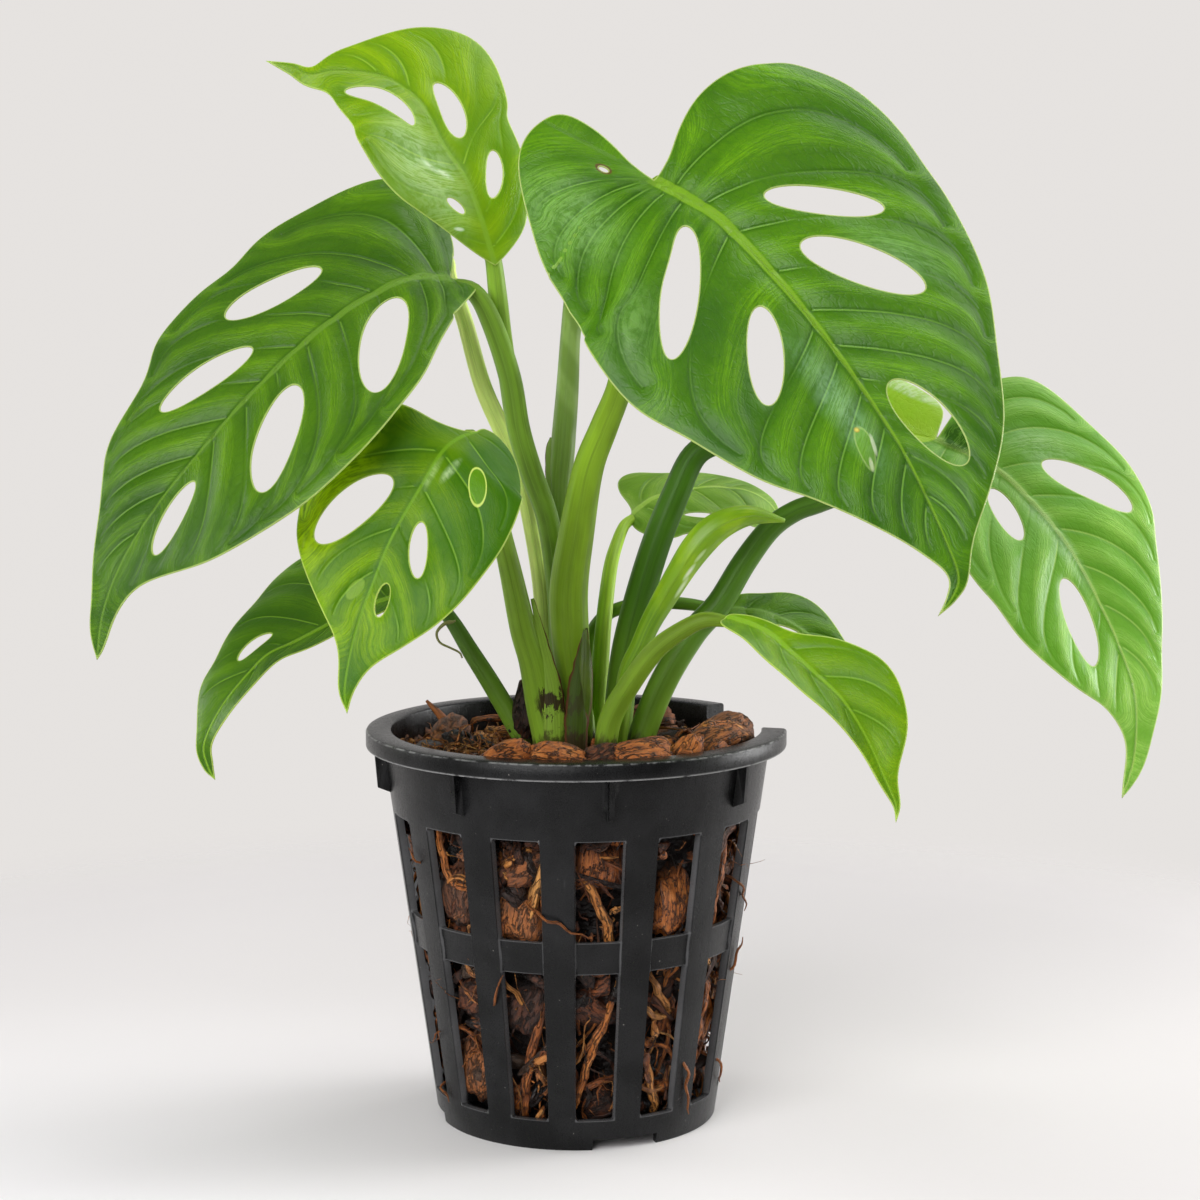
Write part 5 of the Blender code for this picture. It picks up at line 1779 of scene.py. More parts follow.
def cut_out(item: bpy.types.Object, shape: Shape) -> None:
    """Cut a shape out of a piece for good.

    Args:
        item: The piece.
        shape: What is cut out.
    """
    mesh = bpy.data.meshes.new("cutter")
    faces = [tuple(int(k) for k in row) for face in shape.faces for row in face]
    mesh.from_pydata((shape.points * MM).tolist(), [], faces)
    tool = bpy.data.objects.new("cutter", mesh)
    bpy.context.scene.collection.objects.link(tool)
    change = item.modifiers.new("cut", "BOOLEAN")
    change.operation = "DIFFERENCE"
    change.object = tool
    change.solver = "EXACT"
    change.use_self = True
    bpy.context.view_layer.update()
    graph = bpy.context.evaluated_depsgraph_get()
    result = bpy.data.meshes.new_from_object(item.evaluated_get(graph))
    item.modifiers.remove(change)
    old = item.data
    item.data = result
    bpy.data.meshes.remove(old)
    bpy.data.objects.remove(tool)
    bpy.data.meshes.remove(mesh)


# The potting mix

@dataclass(frozen=True)
class Lump:
    """One husk piece: where it is, half its size, its long axis and tint."""

    azimuth: float
    radius: float
    height: float
    size: Point
    axis: Point
    tint: float


@dataclass
class PottingMix:
    """Husk nuts, chips, fibres and roots round a dark core."""

    pot: Pot
    stalks: list[list[Station]]
    top: float = 99.0
    top_radius: float = 50.0
    top_chips: int = 340
    wall_chips: int = 300
    seed: int = 5

    def inner_radius(self, height: np.ndarray | float) -> np.ndarray:
        """Inner radius of the wall at each height."""
        z = np.clip(height, 0.0, self.pot.lip_bottom)
        return np.minimum(self.pot.radius_at(z) - self.pot.wall, self.pot.lip_inner)

    def pressed(self, points: np.ndarray, room: float) -> np.ndarray:
        """Points outside the room within the wall, moved in to it.

        Args:
            points: Rows of x, y and z.
            room: Distance that is kept to the wall.

        Returns:
            The points, with none too far out and none below the pot's floor.
        """
        radius = np.hypot(points[:, 0], points[:, 1])
        limit = self.inner_radius(points[:, 2]) - room
        factor = np.minimum(1.0, limit / np.maximum(radius, 1e-6))
        result = points.copy()
        result[:, :2] *= factor[:, None]
        result[:, 2] = np.maximum(result[:, 2], self.pot.floor_high + 0.4)
        return result

    def lumps(self, centres: np.ndarray, sizes: np.ndarray, axes: np.ndarray, tints: np.ndarray,
              rows: int, columns: int, blocky: float, rough: float, seed: int, room: float = 0.3) -> Shape:
        """Many husk pieces at once.

        Each is a superellipsoid (every coordinate of a unit sphere to the
        power blocky, its sign kept) whose radius carries a random ripple.

        Args:
            centres: Middles.
            sizes: Half lengths along each piece's own axes.
            axes: Long axes.
            tints: One number from 0 (dark) to 1 (bright) each.
            rows: Rings of each piece.
            columns: Points on each ring.
            blocky: 1 is an ellipsoid; less is boxier.
            rough: Height of the ripple as a share of the size.
            seed: Random seed.
            room: Distance kept from the wall.

        Returns:
            The pieces as one shape.
        """
        rng = np.random.default_rng(seed)
        count = len(centres)
        polar = math.pi * (np.arange(rows) + 0.5) / rows
        turn = even_angles(columns)
        ball = np.stack([np.repeat(np.cos(polar), columns),
                         np.outer(np.sin(polar), np.cos(turn)).ravel(),
                         np.outer(np.sin(polar), np.sin(turn)).ravel()], axis=-1)
        ball = np.vstack([ball, [[1.0, 0.0, 0.0], [-1.0, 0.0, 0.0]]])
        shape = np.sign(ball) * np.abs(ball) ** blocky
        per = len(ball)
        offset = rng.uniform(0.0, 40.0, (count, 1, 3))
        places = (shape[None] + offset).reshape(-1, 3)
        grooves = (shape[None] * np.array([0.22, 1.0, 1.0]) + offset).reshape(-1, 3)
        swell = 1.0 + rough * ripple(places, 1.7, seed) + 0.45 * rough * ripple(grooves, 0.42, seed + 1)
        taper = rng.uniform(-0.30, 0.30, (count, 1))
        bend = rng.uniform(-0.22, 0.22, (count, 1))
        local = shape[None] * swell.reshape(count, per, 1)
        local[..., 1:] *= (1.0 + taper * shape[None, :, 0])[..., None]
        local[..., 1] += bend * (shape[None, :, 0] ** 2 - 0.4)
        local = local * sizes[:, None, :]
        long_axis = unit(axes)
        across = unit(np.cross(long_axis, rng.normal(size=(count, 3))))
        third = np.cross(long_axis, across)
        points = (centres[:, None] + local[..., 0:1] * long_axis[:, None]
                  + local[..., 1:2] * across[:, None] + local[..., 2:3] * third[:, None])
        one = [grid_faces(rows, columns), end_fans(rows, columns, per - 2, per - 1)]
        husk = (local + offset * 7.0).reshape(-1, 3)
        tint = self.tint_rows(tints, rng.uniform(0.0, 1.0, count), 0.0, per)
        return Shape(self.pressed(points.reshape(-1, 3), room), repeated(one, count, per),
                     {"husk": husk, "tint": tint})

    @staticmethod
    def tint_rows(tints: np.ndarray, shades: np.ndarray, thread: float, per: int) -> np.ndarray:
        """The attribute "tint" of items with per points each.

        Args:
            tints: From 0 (dark) to 1 (bright) for each item.
            shades: A random share for each item.
            thread: 0 for a lump, 1 for a smooth root or fibre.
            per: Points in each item.

        Returns:
            One row for each point.
        """
        rows = [np.repeat(tints, per), np.repeat(shades, per), np.full(len(tints) * per, thread)]
        return np.stack(rows, axis=-1)

    def threads(self, starts: np.ndarray, ways: np.ndarray, radius: float, seed: int,
                bend: float, tints: np.ndarray, room: float = 0.2) -> Shape:
        """Many thin fibres with three sides.

        A fibre is start + t way + bend 4t(1 - t), thinning to its tip.

        Args:
            starts: First points.
            ways: From the first point to the last.
            radius: Radius at the start.
            seed: Random seed.
            bend: Size of the bend as a share of the length.
            tints: Tint of each.
            room: Distance kept from the wall.

        Returns:
            The fibres as one shape.
        """
        rng = np.random.default_rng(seed)
        count, stops, sides = len(starts), 7, 3
        t = np.linspace(0.0, 1.0, stops)[None, :, None]
        length = np.linalg.norm(ways, axis=1)[:, None]
        bow = unit(rng.normal(size=(count, 3))) * length * bend
        sway = unit(rng.normal(size=(count, 3))) * length * bend * 0.4
        path = (starts[:, None] + ways[:, None] * t + bow[:, None] * 4.0 * t * (1.0 - t)
                + sway[:, None] * np.sin(t * 9.0))
        tangent = unit(np.gradient(path, axis=1))
        first = unit(np.cross(tangent, unit(rng.normal(size=(count, 1, 3)))))
        second = np.cross(tangent, first)
        angle = even_angles(sides)
        reach = (radius * (1.0 - 0.75 * t)) * rng.uniform(0.6, 1.4, (count, 1, 1))
        ring = (first[:, :, None] * np.cos(angle)[None, None, :, None]
                + second[:, :, None] * np.sin(angle)[None, None, :, None])
        points = path[:, :, None] + ring * reach[..., None]
        per = stops * sides
        one = [grid_faces(stops, sides), np.array([(2, 1, 0), (per - 3, per - 2, per - 1)])]
        tint = self.tint_rows(tints, rng.uniform(0.0, 1.0, count), 1.0, per)
        husk = points.reshape(-1, 3)
        return Shape(self.pressed(husk, room) if room > 0.0 else husk, repeated(one, count, per),
                     {"husk": husk, "tint": tint})

    def ribbons(self, starts: np.ndarray, ways: np.ndarray, widths: np.ndarray, tints: np.ndarray,
                seed: int, room: float = 0.25) -> Shape:
        """Curled flat strips of husk, many at once.

        A strip runs from start to start + way with a bow and a curl; its
        section is a flat ellipse that turns along the way and thins out.

        Args:
            starts: First points.
            ways: From the first point to the last.
            widths: Half widths.
            tints: Tint of each.
            seed: Random seed.
            room: Distance kept from the wall.

        Returns:
            The strips as one shape.
        """
        rng = np.random.default_rng(seed)
        count, stops, sides = len(starts), 12, 6
        t = np.linspace(0.0, 1.0, stops)[None, :, None]
        length = np.linalg.norm(ways, axis=1)[:, None, None]
        bow = unit(rng.normal(size=(count, 1, 3))) * length * rng.uniform(0.1, 0.35, (count, 1, 1))
        curl = unit(rng.normal(size=(count, 1, 3))) * length * 0.10
        phase = rng.uniform(0.0, 6.0, (count, 1, 1))
        path = (starts[:, None] + ways[:, None] * t + bow * 4.0 * t * (1.0 - t)
                + curl * np.sin(t * 8.0 + phase))
        tangent = unit(np.gradient(path, axis=1))
        first = unit(np.cross(tangent, unit(rng.normal(size=(count, 1, 3)))))
        second = np.cross(tangent, first)
        turn = rng.uniform(-2.5, 2.5, (count, 1, 1)) * t
        flat = first * np.cos(turn) + second * np.sin(turn)
        thick = second * np.cos(turn) - first * np.sin(turn)
        taper = np.sqrt(np.clip(np.sin(math.pi * (0.04 + 0.92 * t)), 0.0, 1.0))
        torn = 1.0 + 0.25 * np.sin(t * 17.0 + phase * 3.0)
        wide = widths[:, None, None] * taper * torn
        angle = even_angles(sides)[None, None, :, None]
        points = (path[:, :, None] + flat[:, :, None] * np.cos(angle) * wide[:, :, None]
                  + thick[:, :, None] * np.sin(angle) * (0.10 + 0.22 * wide[:, :, None]))
        per = stops * sides
        c = np.arange(sides - 2)
        cap = np.stack([0 * c, c + 2, c + 1], axis=-1)
        one = [grid_faces(stops, sides), np.vstack([cap, cap[:, ::-1] + per - sides])]
        along = np.repeat((t[0, :, 0] * 14.0)[None, :], count, axis=0) + phase[:, :, 0] * 9.0
        round_way = np.tile(angle[0, 0, :, 0], count * stops)
        husk = np.stack([np.repeat(along.ravel(), sides), np.cos(round_way) * 1.6,
                         np.sin(round_way) * 0.5], axis=-1)
        tint = self.tint_rows(tints, rng.uniform(0.0, 1.0, count), 0.6, per)
        return Shape(self.pressed(points.reshape(-1, 3), room), repeated(one, count, per),
                     {"husk": husk, "tint": tint})

    def husk_strips(self) -> Shape:
        """Strips behind the windows and over the top of the mix."""
        rng = np.random.default_rng(self.seed + 100)
        side, top_count = 460, 240
        height = rng.uniform(9.0, 92.0, side)
        wall = turned_point(rng.uniform(0.0, 360.0, side),
                            self.inner_radius(height) - rng.uniform(0.3, 3.6, side), height)
        azimuth = np.degrees(np.arctan2(wall[:, 0], -wall[:, 1]))
        around = turned_point(azimuth + 90.0, np.ones(side), np.zeros(side))
        ways = around * rng.normal(0.0, 8.0, side)[:, None]
        ways[:, 2] += rng.normal(0.0, 12.0, side)
        radius = (self.top_radius + 1.0) * np.sqrt(rng.uniform(0.02, 1.0, top_count))
        top = turned_point(rng.uniform(0.0, 360.0, top_count), radius,
                           self.top + 2.0 + rng.uniform(0.0, 6.5, top_count))
        top_ways = rng.normal(size=(top_count, 3)) * np.array([6.5, 6.5, 2.4])
        starts = np.vstack([wall, top])
        way = np.vstack([ways, top_ways])
        widths = np.concatenate([rng.gamma(2.2, 0.36, side).clip(0.25, 2.2),
                                 rng.uniform(0.35, 1.4, top_count)])
        dark_left = np.clip((-top[:, 0] - 8.0) / 25.0, 0.0, 1.0) * (top[:, 1] < -12.0)
        tints = np.concatenate([rng.beta(2.2, 1.4, side),
                                np.clip(rng.beta(2.4, 1.6, top_count) - 0.5 * dark_left, 0.0, 1.0)])
        kept = self.clear_of_stalks(starts, 1.0)
        return self.ribbons(starts[kept], way[kept], widths[kept], tints[kept], self.seed + 101)

    def root(self, rows: list[Station], radius: float, seed: int, tint: float) -> Shape:
        """One thick root through (azimuth, depth under the wall's inside, height).

        Args:
            rows: Azimuth in degrees, depth and height; the fourth is a factor on the radius.
            radius: Its radius.
            seed: Random seed for its kinks.
            tint: Its tint.

        Returns:
            The root.
        """
        data = np.array(rows, float)
        reach = self.inner_radius(data[:, 2]) - data[:, 1]
        spots = turned_point(data[:, 0], reach, data[:, 2])
        path = resample(smooth_path(np.column_stack([spots, data[:, 3]]), 12), 1.2)
        station = path_length(path)
        for axis in range(3):
            path[:, axis] += 0.45 * ripple(station[:, None], 9.0, seed + axis)
        sides = 10
        angle = even_angles(sides)[None, :]
        knots = 0.10 * ripple(station[:, None], 5.0, seed + 7)[:, None]
        knots = knots + 0.05 * np.sin(3.0 * angle + seed)
        shape = swept(path[:, :3], path[:, 3] * radius, sides, section=1.0 + knots)
        along, turn, _ = shape.attributes.pop("tube").T
        shape.attributes["husk"] = np.stack([along, np.cos(turn) * 2.0, np.sin(turn) * 2.0], axis=-1)
        shade = np.array([(seed * 0.37) % 1.0])
        shape.attributes["tint"] = self.tint_rows(np.array([tint]), shade, 1.0, len(along))
        return shape

    def core(self) -> Shape:
        """The heart of the mix, a bumpy closed turned body; its tint of 0 paints it near black, as painted
        shade deep in the pot.
        """
        low, middle, high = 7, 34, 9
        heights = np.concatenate([np.full(low, self.pot.floor_high + 0.4),
                                  np.linspace(7.0, self.top - 3.0, middle),
                                  np.full(high, self.top - 2.0)])
        inset = 7.5
        radius = self.inner_radius(heights) - inset
        radius[:low] = radius[low - 1] * np.linspace(0.05, 0.97, low)
        radius[-high:] = radius[-high - 1] * np.linspace(0.96, 0.04, high)
        count = 96
        turn = 360.0 * np.arange(count) / count
        points = turned_point(turn[None, :], radius[:, None], heights[:, None])
        flat = points.reshape(-1, 3)
        bump = 1.6 * ripple(flat, 13.0, 3) + 0.8 * ripple(flat, 6.0, 4)
        outward = flat * np.array([1.0, 1.0, 0.0])
        flat = flat + unit(outward) * (bump * (np.hypot(flat[:, 0], flat[:, 1]) > 12.0))[:, None]
        flat[:, 2] += np.where(flat[:, 2] > self.top - 4.0, bump * 0.8, 0.0)
        ends = np.array([[0.0, 0.0, heights[0]], [0.0, 0.0, heights[-1]]])
        faces = [grid_faces(len(heights), count),
                 end_fans(len(heights), count, len(flat), len(flat) + 1)]
        points = np.vstack([flat, ends])
        return Shape(points, faces, {"husk": points, "tint": np.zeros((len(points), 3))})

    def named_lumps(self) -> list[Lump]:
        """The pieces that can be told apart, at the windows and along the lip."""
        up = (0.0, 0.1, 1.0)
        return [
            Lump(-47.0, 43.5, 73.0, (11.0, 6.5, 6.0), (0.3, 0.2, 1.0), 0.35),
            Lump(-46.0, 41.0, 62.0, (9.0, 6.0, 6.0), (0.5, 0.0, 1.0), 0.45),
            Lump(-19.5, 43.6, 66.5, (8.6, 6.4, 6.2), (0.25, 0.1, 1.0), 0.62),
            Lump(-17.0, 43.5, 82.0, (9.0, 6.0, 5.0), (1.0, 0.2, 0.5), 0.5),
            Lump(-13.8, 46.4, 76.0, (10.0, 3.6, 1.4), (0.28, 0.0, 1.0), 0.95),
            Lump(8.6, 44.0, 81.5, (8.4, 7.4, 6.6), (0.15, 0.1, 1.0), 0.55),
            Lump(34.8, 43.4, 69.5, (10.6, 6.6, 6.2), up, 0.68),
            Lump(60.0, 42.5, 76.0, (13.0, 5.5, 3.5), (0.3, 0.2, 1.0), 0.6),
            Lump(-49.5, 36.0, 20.0, (9.5, 6.0, 5.5), (0.1, 0.1, 1.0), 0.60),
            Lump(-43.0, 38.5, 41.0, (8.0, 6.5, 6.0), (0.6, 0.1, 0.8), 0.35),
            Lump(-20.5, 38.3, 40.5, (8.5, 6.8, 6.0), (0.5, 0.1, 0.9), 0.22),
            Lump(5.5, 39.0, 40.0, (8.0, 6.5, 5.0), (0.8, 0.1, -0.5), 0.30),
            Lump(10.0, 35.2, 12.0, (5.5, 5.0, 4.0), (1.0, 0.1, 0.3), 0.20),
            Lump(36.0, 38.5, 42.0, (7.0, 6.0, 5.0), (0.7, 0.1, 0.5), 0.20),
            Lump(58.0, 38.0, 30.0, (9.0, 6.0, 5.0), up, 0.35),
            Lump(-23.5, 46.4, 110.2, (8.0, 5.6, 4.6), (1.0, 0.2, 0.3), 0.66),
            Lump(-5.5, 46.8, 110.2, (9.4, 5.6, 4.4), (1.0, 0.1, -0.1), 0.70),
            Lump(23.5, 45.9, 110.4, (8.8, 5.6, 4.8), (1.0, 0.3, 0.1), 0.64),
            Lump(9.0, 43.0, 110.4, (6.0, 4.6, 4.2), (1.0, 0.5, 0.4), 0.40),
            Lump(42.0, 46.2, 111.2, (5.0, 4.4, 4.4), (0.6, 0.3, 1.0), 0.68),
            Lump(63.0, 43.0, 110.5, (7.6, 5.2, 4.6), (1.0, 0.3, 0.35), 0.62),
            Lump(73.0, 42.5, 111.5, (7.0, 4.6, 4.4), (1.0, 0.9, -0.2), 0.74),
            Lump(55.0, 47.0, 108.6, (5.2, 3.8, 3.0), (0.6, 1.0, 0.3), 0.55),
            Lump(84.0, 41.0, 109.0, (9.0, 7.0, 5.5), (1.0, 0.6, 0.2), 0.55),
            Lump(100.0, 45.0, 107.0, (8.0, 6.5, 5.0), (0.4, 1.0, 0.3), 0.48),
            Lump(-97.0, 14.6, 117.0, (8.6, 4.4, 4.2), (0.15, 0.1, 1.0), 0.17),
            Lump(-60.0, 44.0, 104.5, (7.0, 6.0, 4.6), (1.0, 0.5, 0.1), 0.06),
            Lump(-78.0, 43.0, 105.0, (6.5, 6.0, 4.0), (0.6, 1.0, 0.1), 0.10),
            Lump(-42.0, 45.0, 105.0, (7.0, 5.4, 4.2), (1.0, 0.4, 0.2), 0.10),
            Lump(150.0, 40.0, 106.0, (10.0, 7.0, 6.0), (1.0, 0.3, 0.2), 0.5),
            Lump(200.0, 38.0, 106.0, (9.0, 7.0, 6.0), (0.3, 1.0, 0.2), 0.4),
            Lump(-110.0, 40.0, 106.0, (9.0, 7.0, 5.0), (0.3, 1.0, 0.1), 0.5),
        ]

    def clear_of_stalks(self, points: np.ndarray, room: float) -> np.ndarray:
        """Which points lie further than room from every stalk's surface.

        Args:
            points: Rows of x, y and z.
            room: Distance that is kept to the stalks.

        Returns:
            True for each point that is clear.
        """
        kept = np.ones(len(points), bool)
        for stalk in self.stalks:
            rows = np.array(stalk[:4], float)
            foot = rows[0].copy()
            foot[2] -= 12.0
            line = smooth_path(np.vstack([foot, rows]), 8)
            gap = np.linalg.norm(points[:, None] - line[None, :, :3], axis=2) - line[None, :, 3]
            kept &= gap.min(axis=1) > room
        return kept

    def loose_chips(self) -> Shape:
        """Hundreds of small chips on top of the mix and behind the windows."""
        rng = np.random.default_rng(self.seed)
        count = self.top_chips
        radius = self.top_radius * np.sqrt(rng.uniform(0.0, 1.0, count))
        azimuth = rng.uniform(0.0, 360.0, count)
        height = self.top + 3.0 * (1.0 - radius / self.top_radius) + rng.uniform(-3.0, 6.5, count)
        top = turned_point(azimuth, radius, height)
        top_sizes = np.stack([rng.uniform(2.2, 6.0, count), rng.uniform(1.4, 3.4, count),
                              rng.uniform(0.9, 2.2, count)], axis=-1)
        top_axes = rng.normal(size=(count, 3)) * np.array([1.0, 1.0, 0.5])
        dark_left = np.clip((-top[:, 0] - 8.0) / 25.0, 0.0, 1.0) * (top[:, 1] < 5.0)
        top_tints = np.clip(rng.beta(1.6, 1.8, count) - 0.45 * dark_left, 0.0, 1.0)
        count = self.wall_chips
        height = rng.uniform(8.0, 96.0, count)
        wall = turned_point(rng.uniform(0.0, 360.0, count),
                            self.inner_radius(height) - rng.uniform(2.0, 8.0, count), height)
        wall_sizes = np.stack([rng.uniform(2.5, 7.0, count), rng.uniform(1.2, 3.6, count),
                               rng.uniform(0.7, 2.4, count)], axis=-1)
        wall_axes = rng.normal(size=(count, 3))
        wall_tints = rng.beta(1.0, 3.2, count)
        centres = np.vstack([top, wall])
        sizes = np.vstack([top_sizes, wall_sizes])
        kept = self.clear_of_stalks(centres, 1.5)
        return self.lumps(centres[kept], sizes[kept], np.vstack([top_axes, wall_axes])[kept],
                          np.concatenate([top_tints, wall_tints])[kept], 7, 9, 0.66, 0.30, self.seed + 3)

    def big_lumps(self) -> Shape:
        """The named pieces and more of their size round the sides and back."""
        rng = np.random.default_rng(self.seed + 20)
        named = self.named_lumps()
        behind_window, top_from = 2.6, 95.0
        centres = []
        for item in named:
            inward = behind_window if item.height < top_from else 0.0
            centres.append(turned_point(item.azimuth, item.radius - inward, item.height))
        sizes = [item.size for item in named]
        axes = [item.axis for item in named]
        tints = [item.tint for item in named]
        for column in range(self.pot.columns):
            azimuth = (self.pot.first_column_deg + self.pot.pitch * column + 180.0) % 360.0 - 180.0
            if -60.0 < azimuth < 66.0:
                continue
            for height in (rng.uniform(14.0, 22.0), rng.uniform(34.0, 44.0), rng.uniform(66.0, 82.0)):
                turn = azimuth + rng.uniform(-5.0, 5.0)
                centres.append(turned_point(turn, self.inner_radius(height) - 8.4, height))
                sizes.append((rng.uniform(7.0, 11.0), rng.uniform(5.0, 7.0), rng.uniform(4.5, 6.0)))
                axes.append(tuple(rng.normal(size=3) + np.array([0.0, 0.0, 1.2])))
                tints.append(rng.uniform(0.15, 0.7))
        return self.lumps(np.array(centres), np.array(sizes), np.array(axes), np.array(tints),
                          28, 36, 0.80, 0.20, self.seed + 1)

    def roots(self) -> list[Shape]:
        """Thick roots behind the windows and a few thin ones over the ribs."""
        rng = np.random.default_rng(self.seed + 40)
        named = [
            (1.20, 0.80, [(0.5, 3.0, 82.0, 0.7), (4.0, 1.7, 77.0, 1.0), (9.0, 1.6, 69.0, 1.15),
             (12.5, 2.0, 61.0, 1.2), (14.0, 5.0, 54.0, 1.0)]),
            (1.10, 0.72, [(15.5, 4.0, 46.0, 0.8), (12.0, 1.9, 38.0, 1.0), (6.0, 1.6, 27.0, 1.1),
             (1.5, 1.8, 16.0, 1.0), (-3.0, 4.0, 9.0, 0.9)]),
            (1.15, 0.55, [(-12.0, 4.0, 42.0, 0.8), (-15.0, 1.9, 34.0, 1.1), (-19.5, 1.6, 22.0, 1.2),
             (-22.0, 2.0, 11.0, 1.0), (-24.0, 5.0, 6.5, 0.8)]),
            (1.0, 0.5, [(-1.0, 3.5, 17.0, 0.8), (4.0, 1.8, 18.0, 1.0), (10.0, 1.6, 19.0, 1.0),
             (18.0, 4.0, 20.0, 0.8)]),
            (1.1, 0.86, [(29.0, 3.0, 50.0, 0.7), (32.0, 1.7, 45.0, 1.0), (38.0, 1.9, 39.0, 0.9),
             (44.0, 4.5, 37.0, 0.7)]),
            (1.0, 0.9, [(27.0, 2.0, 40.0, 0.9), (32.0, 1.5, 37.0, 1.0), (39.0, 2.0, 37.0, 0.8)]),
            (1.2, 0.86, [(27.0, 2.6, 30.0, 0.8), (31.0, 1.5, 20.0, 1.0), (35.0, 1.5, 12.0, 1.05),
             (38.0, 3.5, 7.0, 0.8)]),
            (0.95, 0.8, [(26.0, 2.2, 17.5, 0.9), (31.0, 1.2, 15.5, 1.0), (37.0, 1.2, 15.0, 0.9),
             (45.0, 3.0, 20.0, 0.7)]),
            (1.1, 0.72, [(-52.0, 2.0, 90.0, 0.8), (-50.0, 1.4, 80.0, 1.0), (-46.0, 1.4, 74.0, 1.0),
             (-38.0, 2.5, 73.0, 0.8)]),
            (0.9, 0.82, [(-54.0, 2.0, 66.0, 0.8), (-50.0, 1.4, 72.0, 1.0), (-44.0, 1.4, 76.0, 1.0),
             (-39.0, 3.0, 75.0, 0.8)]),
            (1.3, 0.60, [(58.0, 3.0, 90.0, 0.7), (59.5, 1.5, 80.0, 1.0), (57.0, 1.5, 68.0, 1.1),
             (60.0, 3.0, 57.0, 0.9)]),
            (1.2, 0.62, [(57.0, 3.0, 50.0, 0.7), (60.0, 1.5, 40.0, 1.0), (57.0, 1.5, 26.0, 1.0),
             (62.0, 3.0, 12.0, 0.9)]),
        ]
        shapes = [self.root(rows, radius, seed, tint)
                  for seed, (radius, tint, rows) in enumerate(named, start=1)]
        for index in range(70):
            column = rng.integers(0, self.pot.columns)
            azimuth = self.pot.first_column_deg + self.pot.pitch * column + rng.uniform(-11, 11)
            low = rng.uniform(8.0, 64.0)
            span = rng.uniform(18.0, 34.0)
            lean = rng.uniform(-36.0, 36.0)
            rows = [(azimuth + lean * (t - 0.5),
                     1.2 + rng.uniform(0.2, 2.6) + 4.0 * (2.0 * t - 1.0) ** 2,
                     low + span * t, 1.0 - 0.3 * abs(2.0 * t - 1.0)) for t in (0.0, 0.3, 0.6, 1.0)]
            shapes.append(self.root(rows, rng.uniform(0.40, 0.95), 60 + index, rng.uniform(0.35, 0.95)))
        outside = -self.pot.wall
        over_ribs = [
            (-10.0, 68.5, 14.0, -6.0, 0.42), (-29.0, 42.0, 5.0, 9.0, 0.38),
            (45.0, 21.0, 3.5, -15.0, 0.45), (-61.0, 28.0, -5.0, -2.5, 0.25),
            (71.0, 46.0, 5.0, 8.0, 0.4), (-58.0, 79.0, -4.0, 3.0, 0.3),
            (68.0, 70.0, 5.0, -8.0, 0.35), (-64.0, 12.0, 6.0, -4.0, 0.35),
            (70.0, 18.0, 6.0, -8.0, 0.4), (120.0, 66.0, 9.0, -6.0, 0.4),
            (-130.0, 30.0, 9.0, -9.0, 0.4), (175.0, 40.0, -9.0, 8.0, 0.4)]
        for azimuth, height, turn, drop, radius in over_ribs:
            rows = [(azimuth - 0.5 * turn, 2.0, height - 0.4 * drop, 1.1),
                    (azimuth, outside - 0.7, height, 1.0),
                    (azimuth + 0.5 * turn, outside - 0.9, height + 0.5 * drop, 0.9),
                    (azimuth + turn, outside - 1.3, height + drop, 0.35)]
            shapes.append(self.root(rows, radius, int(height), 0.66))
        return shapes

    def fibres(self) -> Shape:
        """Thin fibres through the top and behind the windows."""
        rng = np.random.default_rng(self.seed + 60)
        count, more, side = 520, 260, 560
        radius = self.top_radius * np.sqrt(rng.uniform(0.0, 1.0, count))
        top = turned_point(rng.uniform(0.0, 360.0, count), radius, self.top + rng.uniform(0.0, 8.0, count))
        top_ways = rng.normal(size=(count, 3)) * np.array([5.0, 5.0, 2.2])
        orange = turned_point(rng.uniform(-85.0, -35.0, more), rng.uniform(26.0, 46.0, more),
                              rng.uniform(103.0, 109.0, more))
        orange_ways = rng.normal(size=(more, 3)) * np.array([5.0, 4.0, 2.8])
        height = rng.uniform(8.0, 92.0, side)
        wall = turned_point(rng.uniform(0.0, 360.0, side),
                            self.inner_radius(height) - rng.uniform(0.8, 6.0, side), height)
        wall_ways = rng.normal(size=(side, 3)) * np.array([5.0, 5.0, 7.0])
        starts = np.vstack([top, orange, wall])
        ways = np.vstack([top_ways, orange_ways, wall_ways])
        tints = np.concatenate([rng.uniform(0.3, 1.0, count), rng.uniform(0.7, 1.0, more),
                                rng.uniform(0.15, 0.9, side)])
        return self.threads(starts, ways, 0.30, self.seed + 61, 0.22, tints)

    def strays(self) -> Shape:
        """A few hairs that stick out of the windows."""
        rng = np.random.default_rng(self.seed + 80)
        count = 46
        height = rng.uniform(8.0, 88.0, count)
        columns = rng.integers(0, self.pot.columns, count)
        azimuth = (self.pot.first_column_deg + self.pot.pitch * columns
                   + rng.uniform(-6.0, 6.0, count))
        outward = turned_point(azimuth, np.ones(count), np.zeros(count))
        starts = outward * (self.inner_radius(height) - 2.0)[:, None]
        starts[:, 2] = height
        ways = outward * rng.uniform(4.0, 6.5, count)[:, None]
        ways = ways + rng.normal(size=(count, 3)) * np.array([2.0, 2.0, 3.2])
        tints = rng.uniform(0.4, 0.9, count)
        return self.threads(starts, ways, 0.16, self.seed + 81, 0.3, tints, room=0.0)

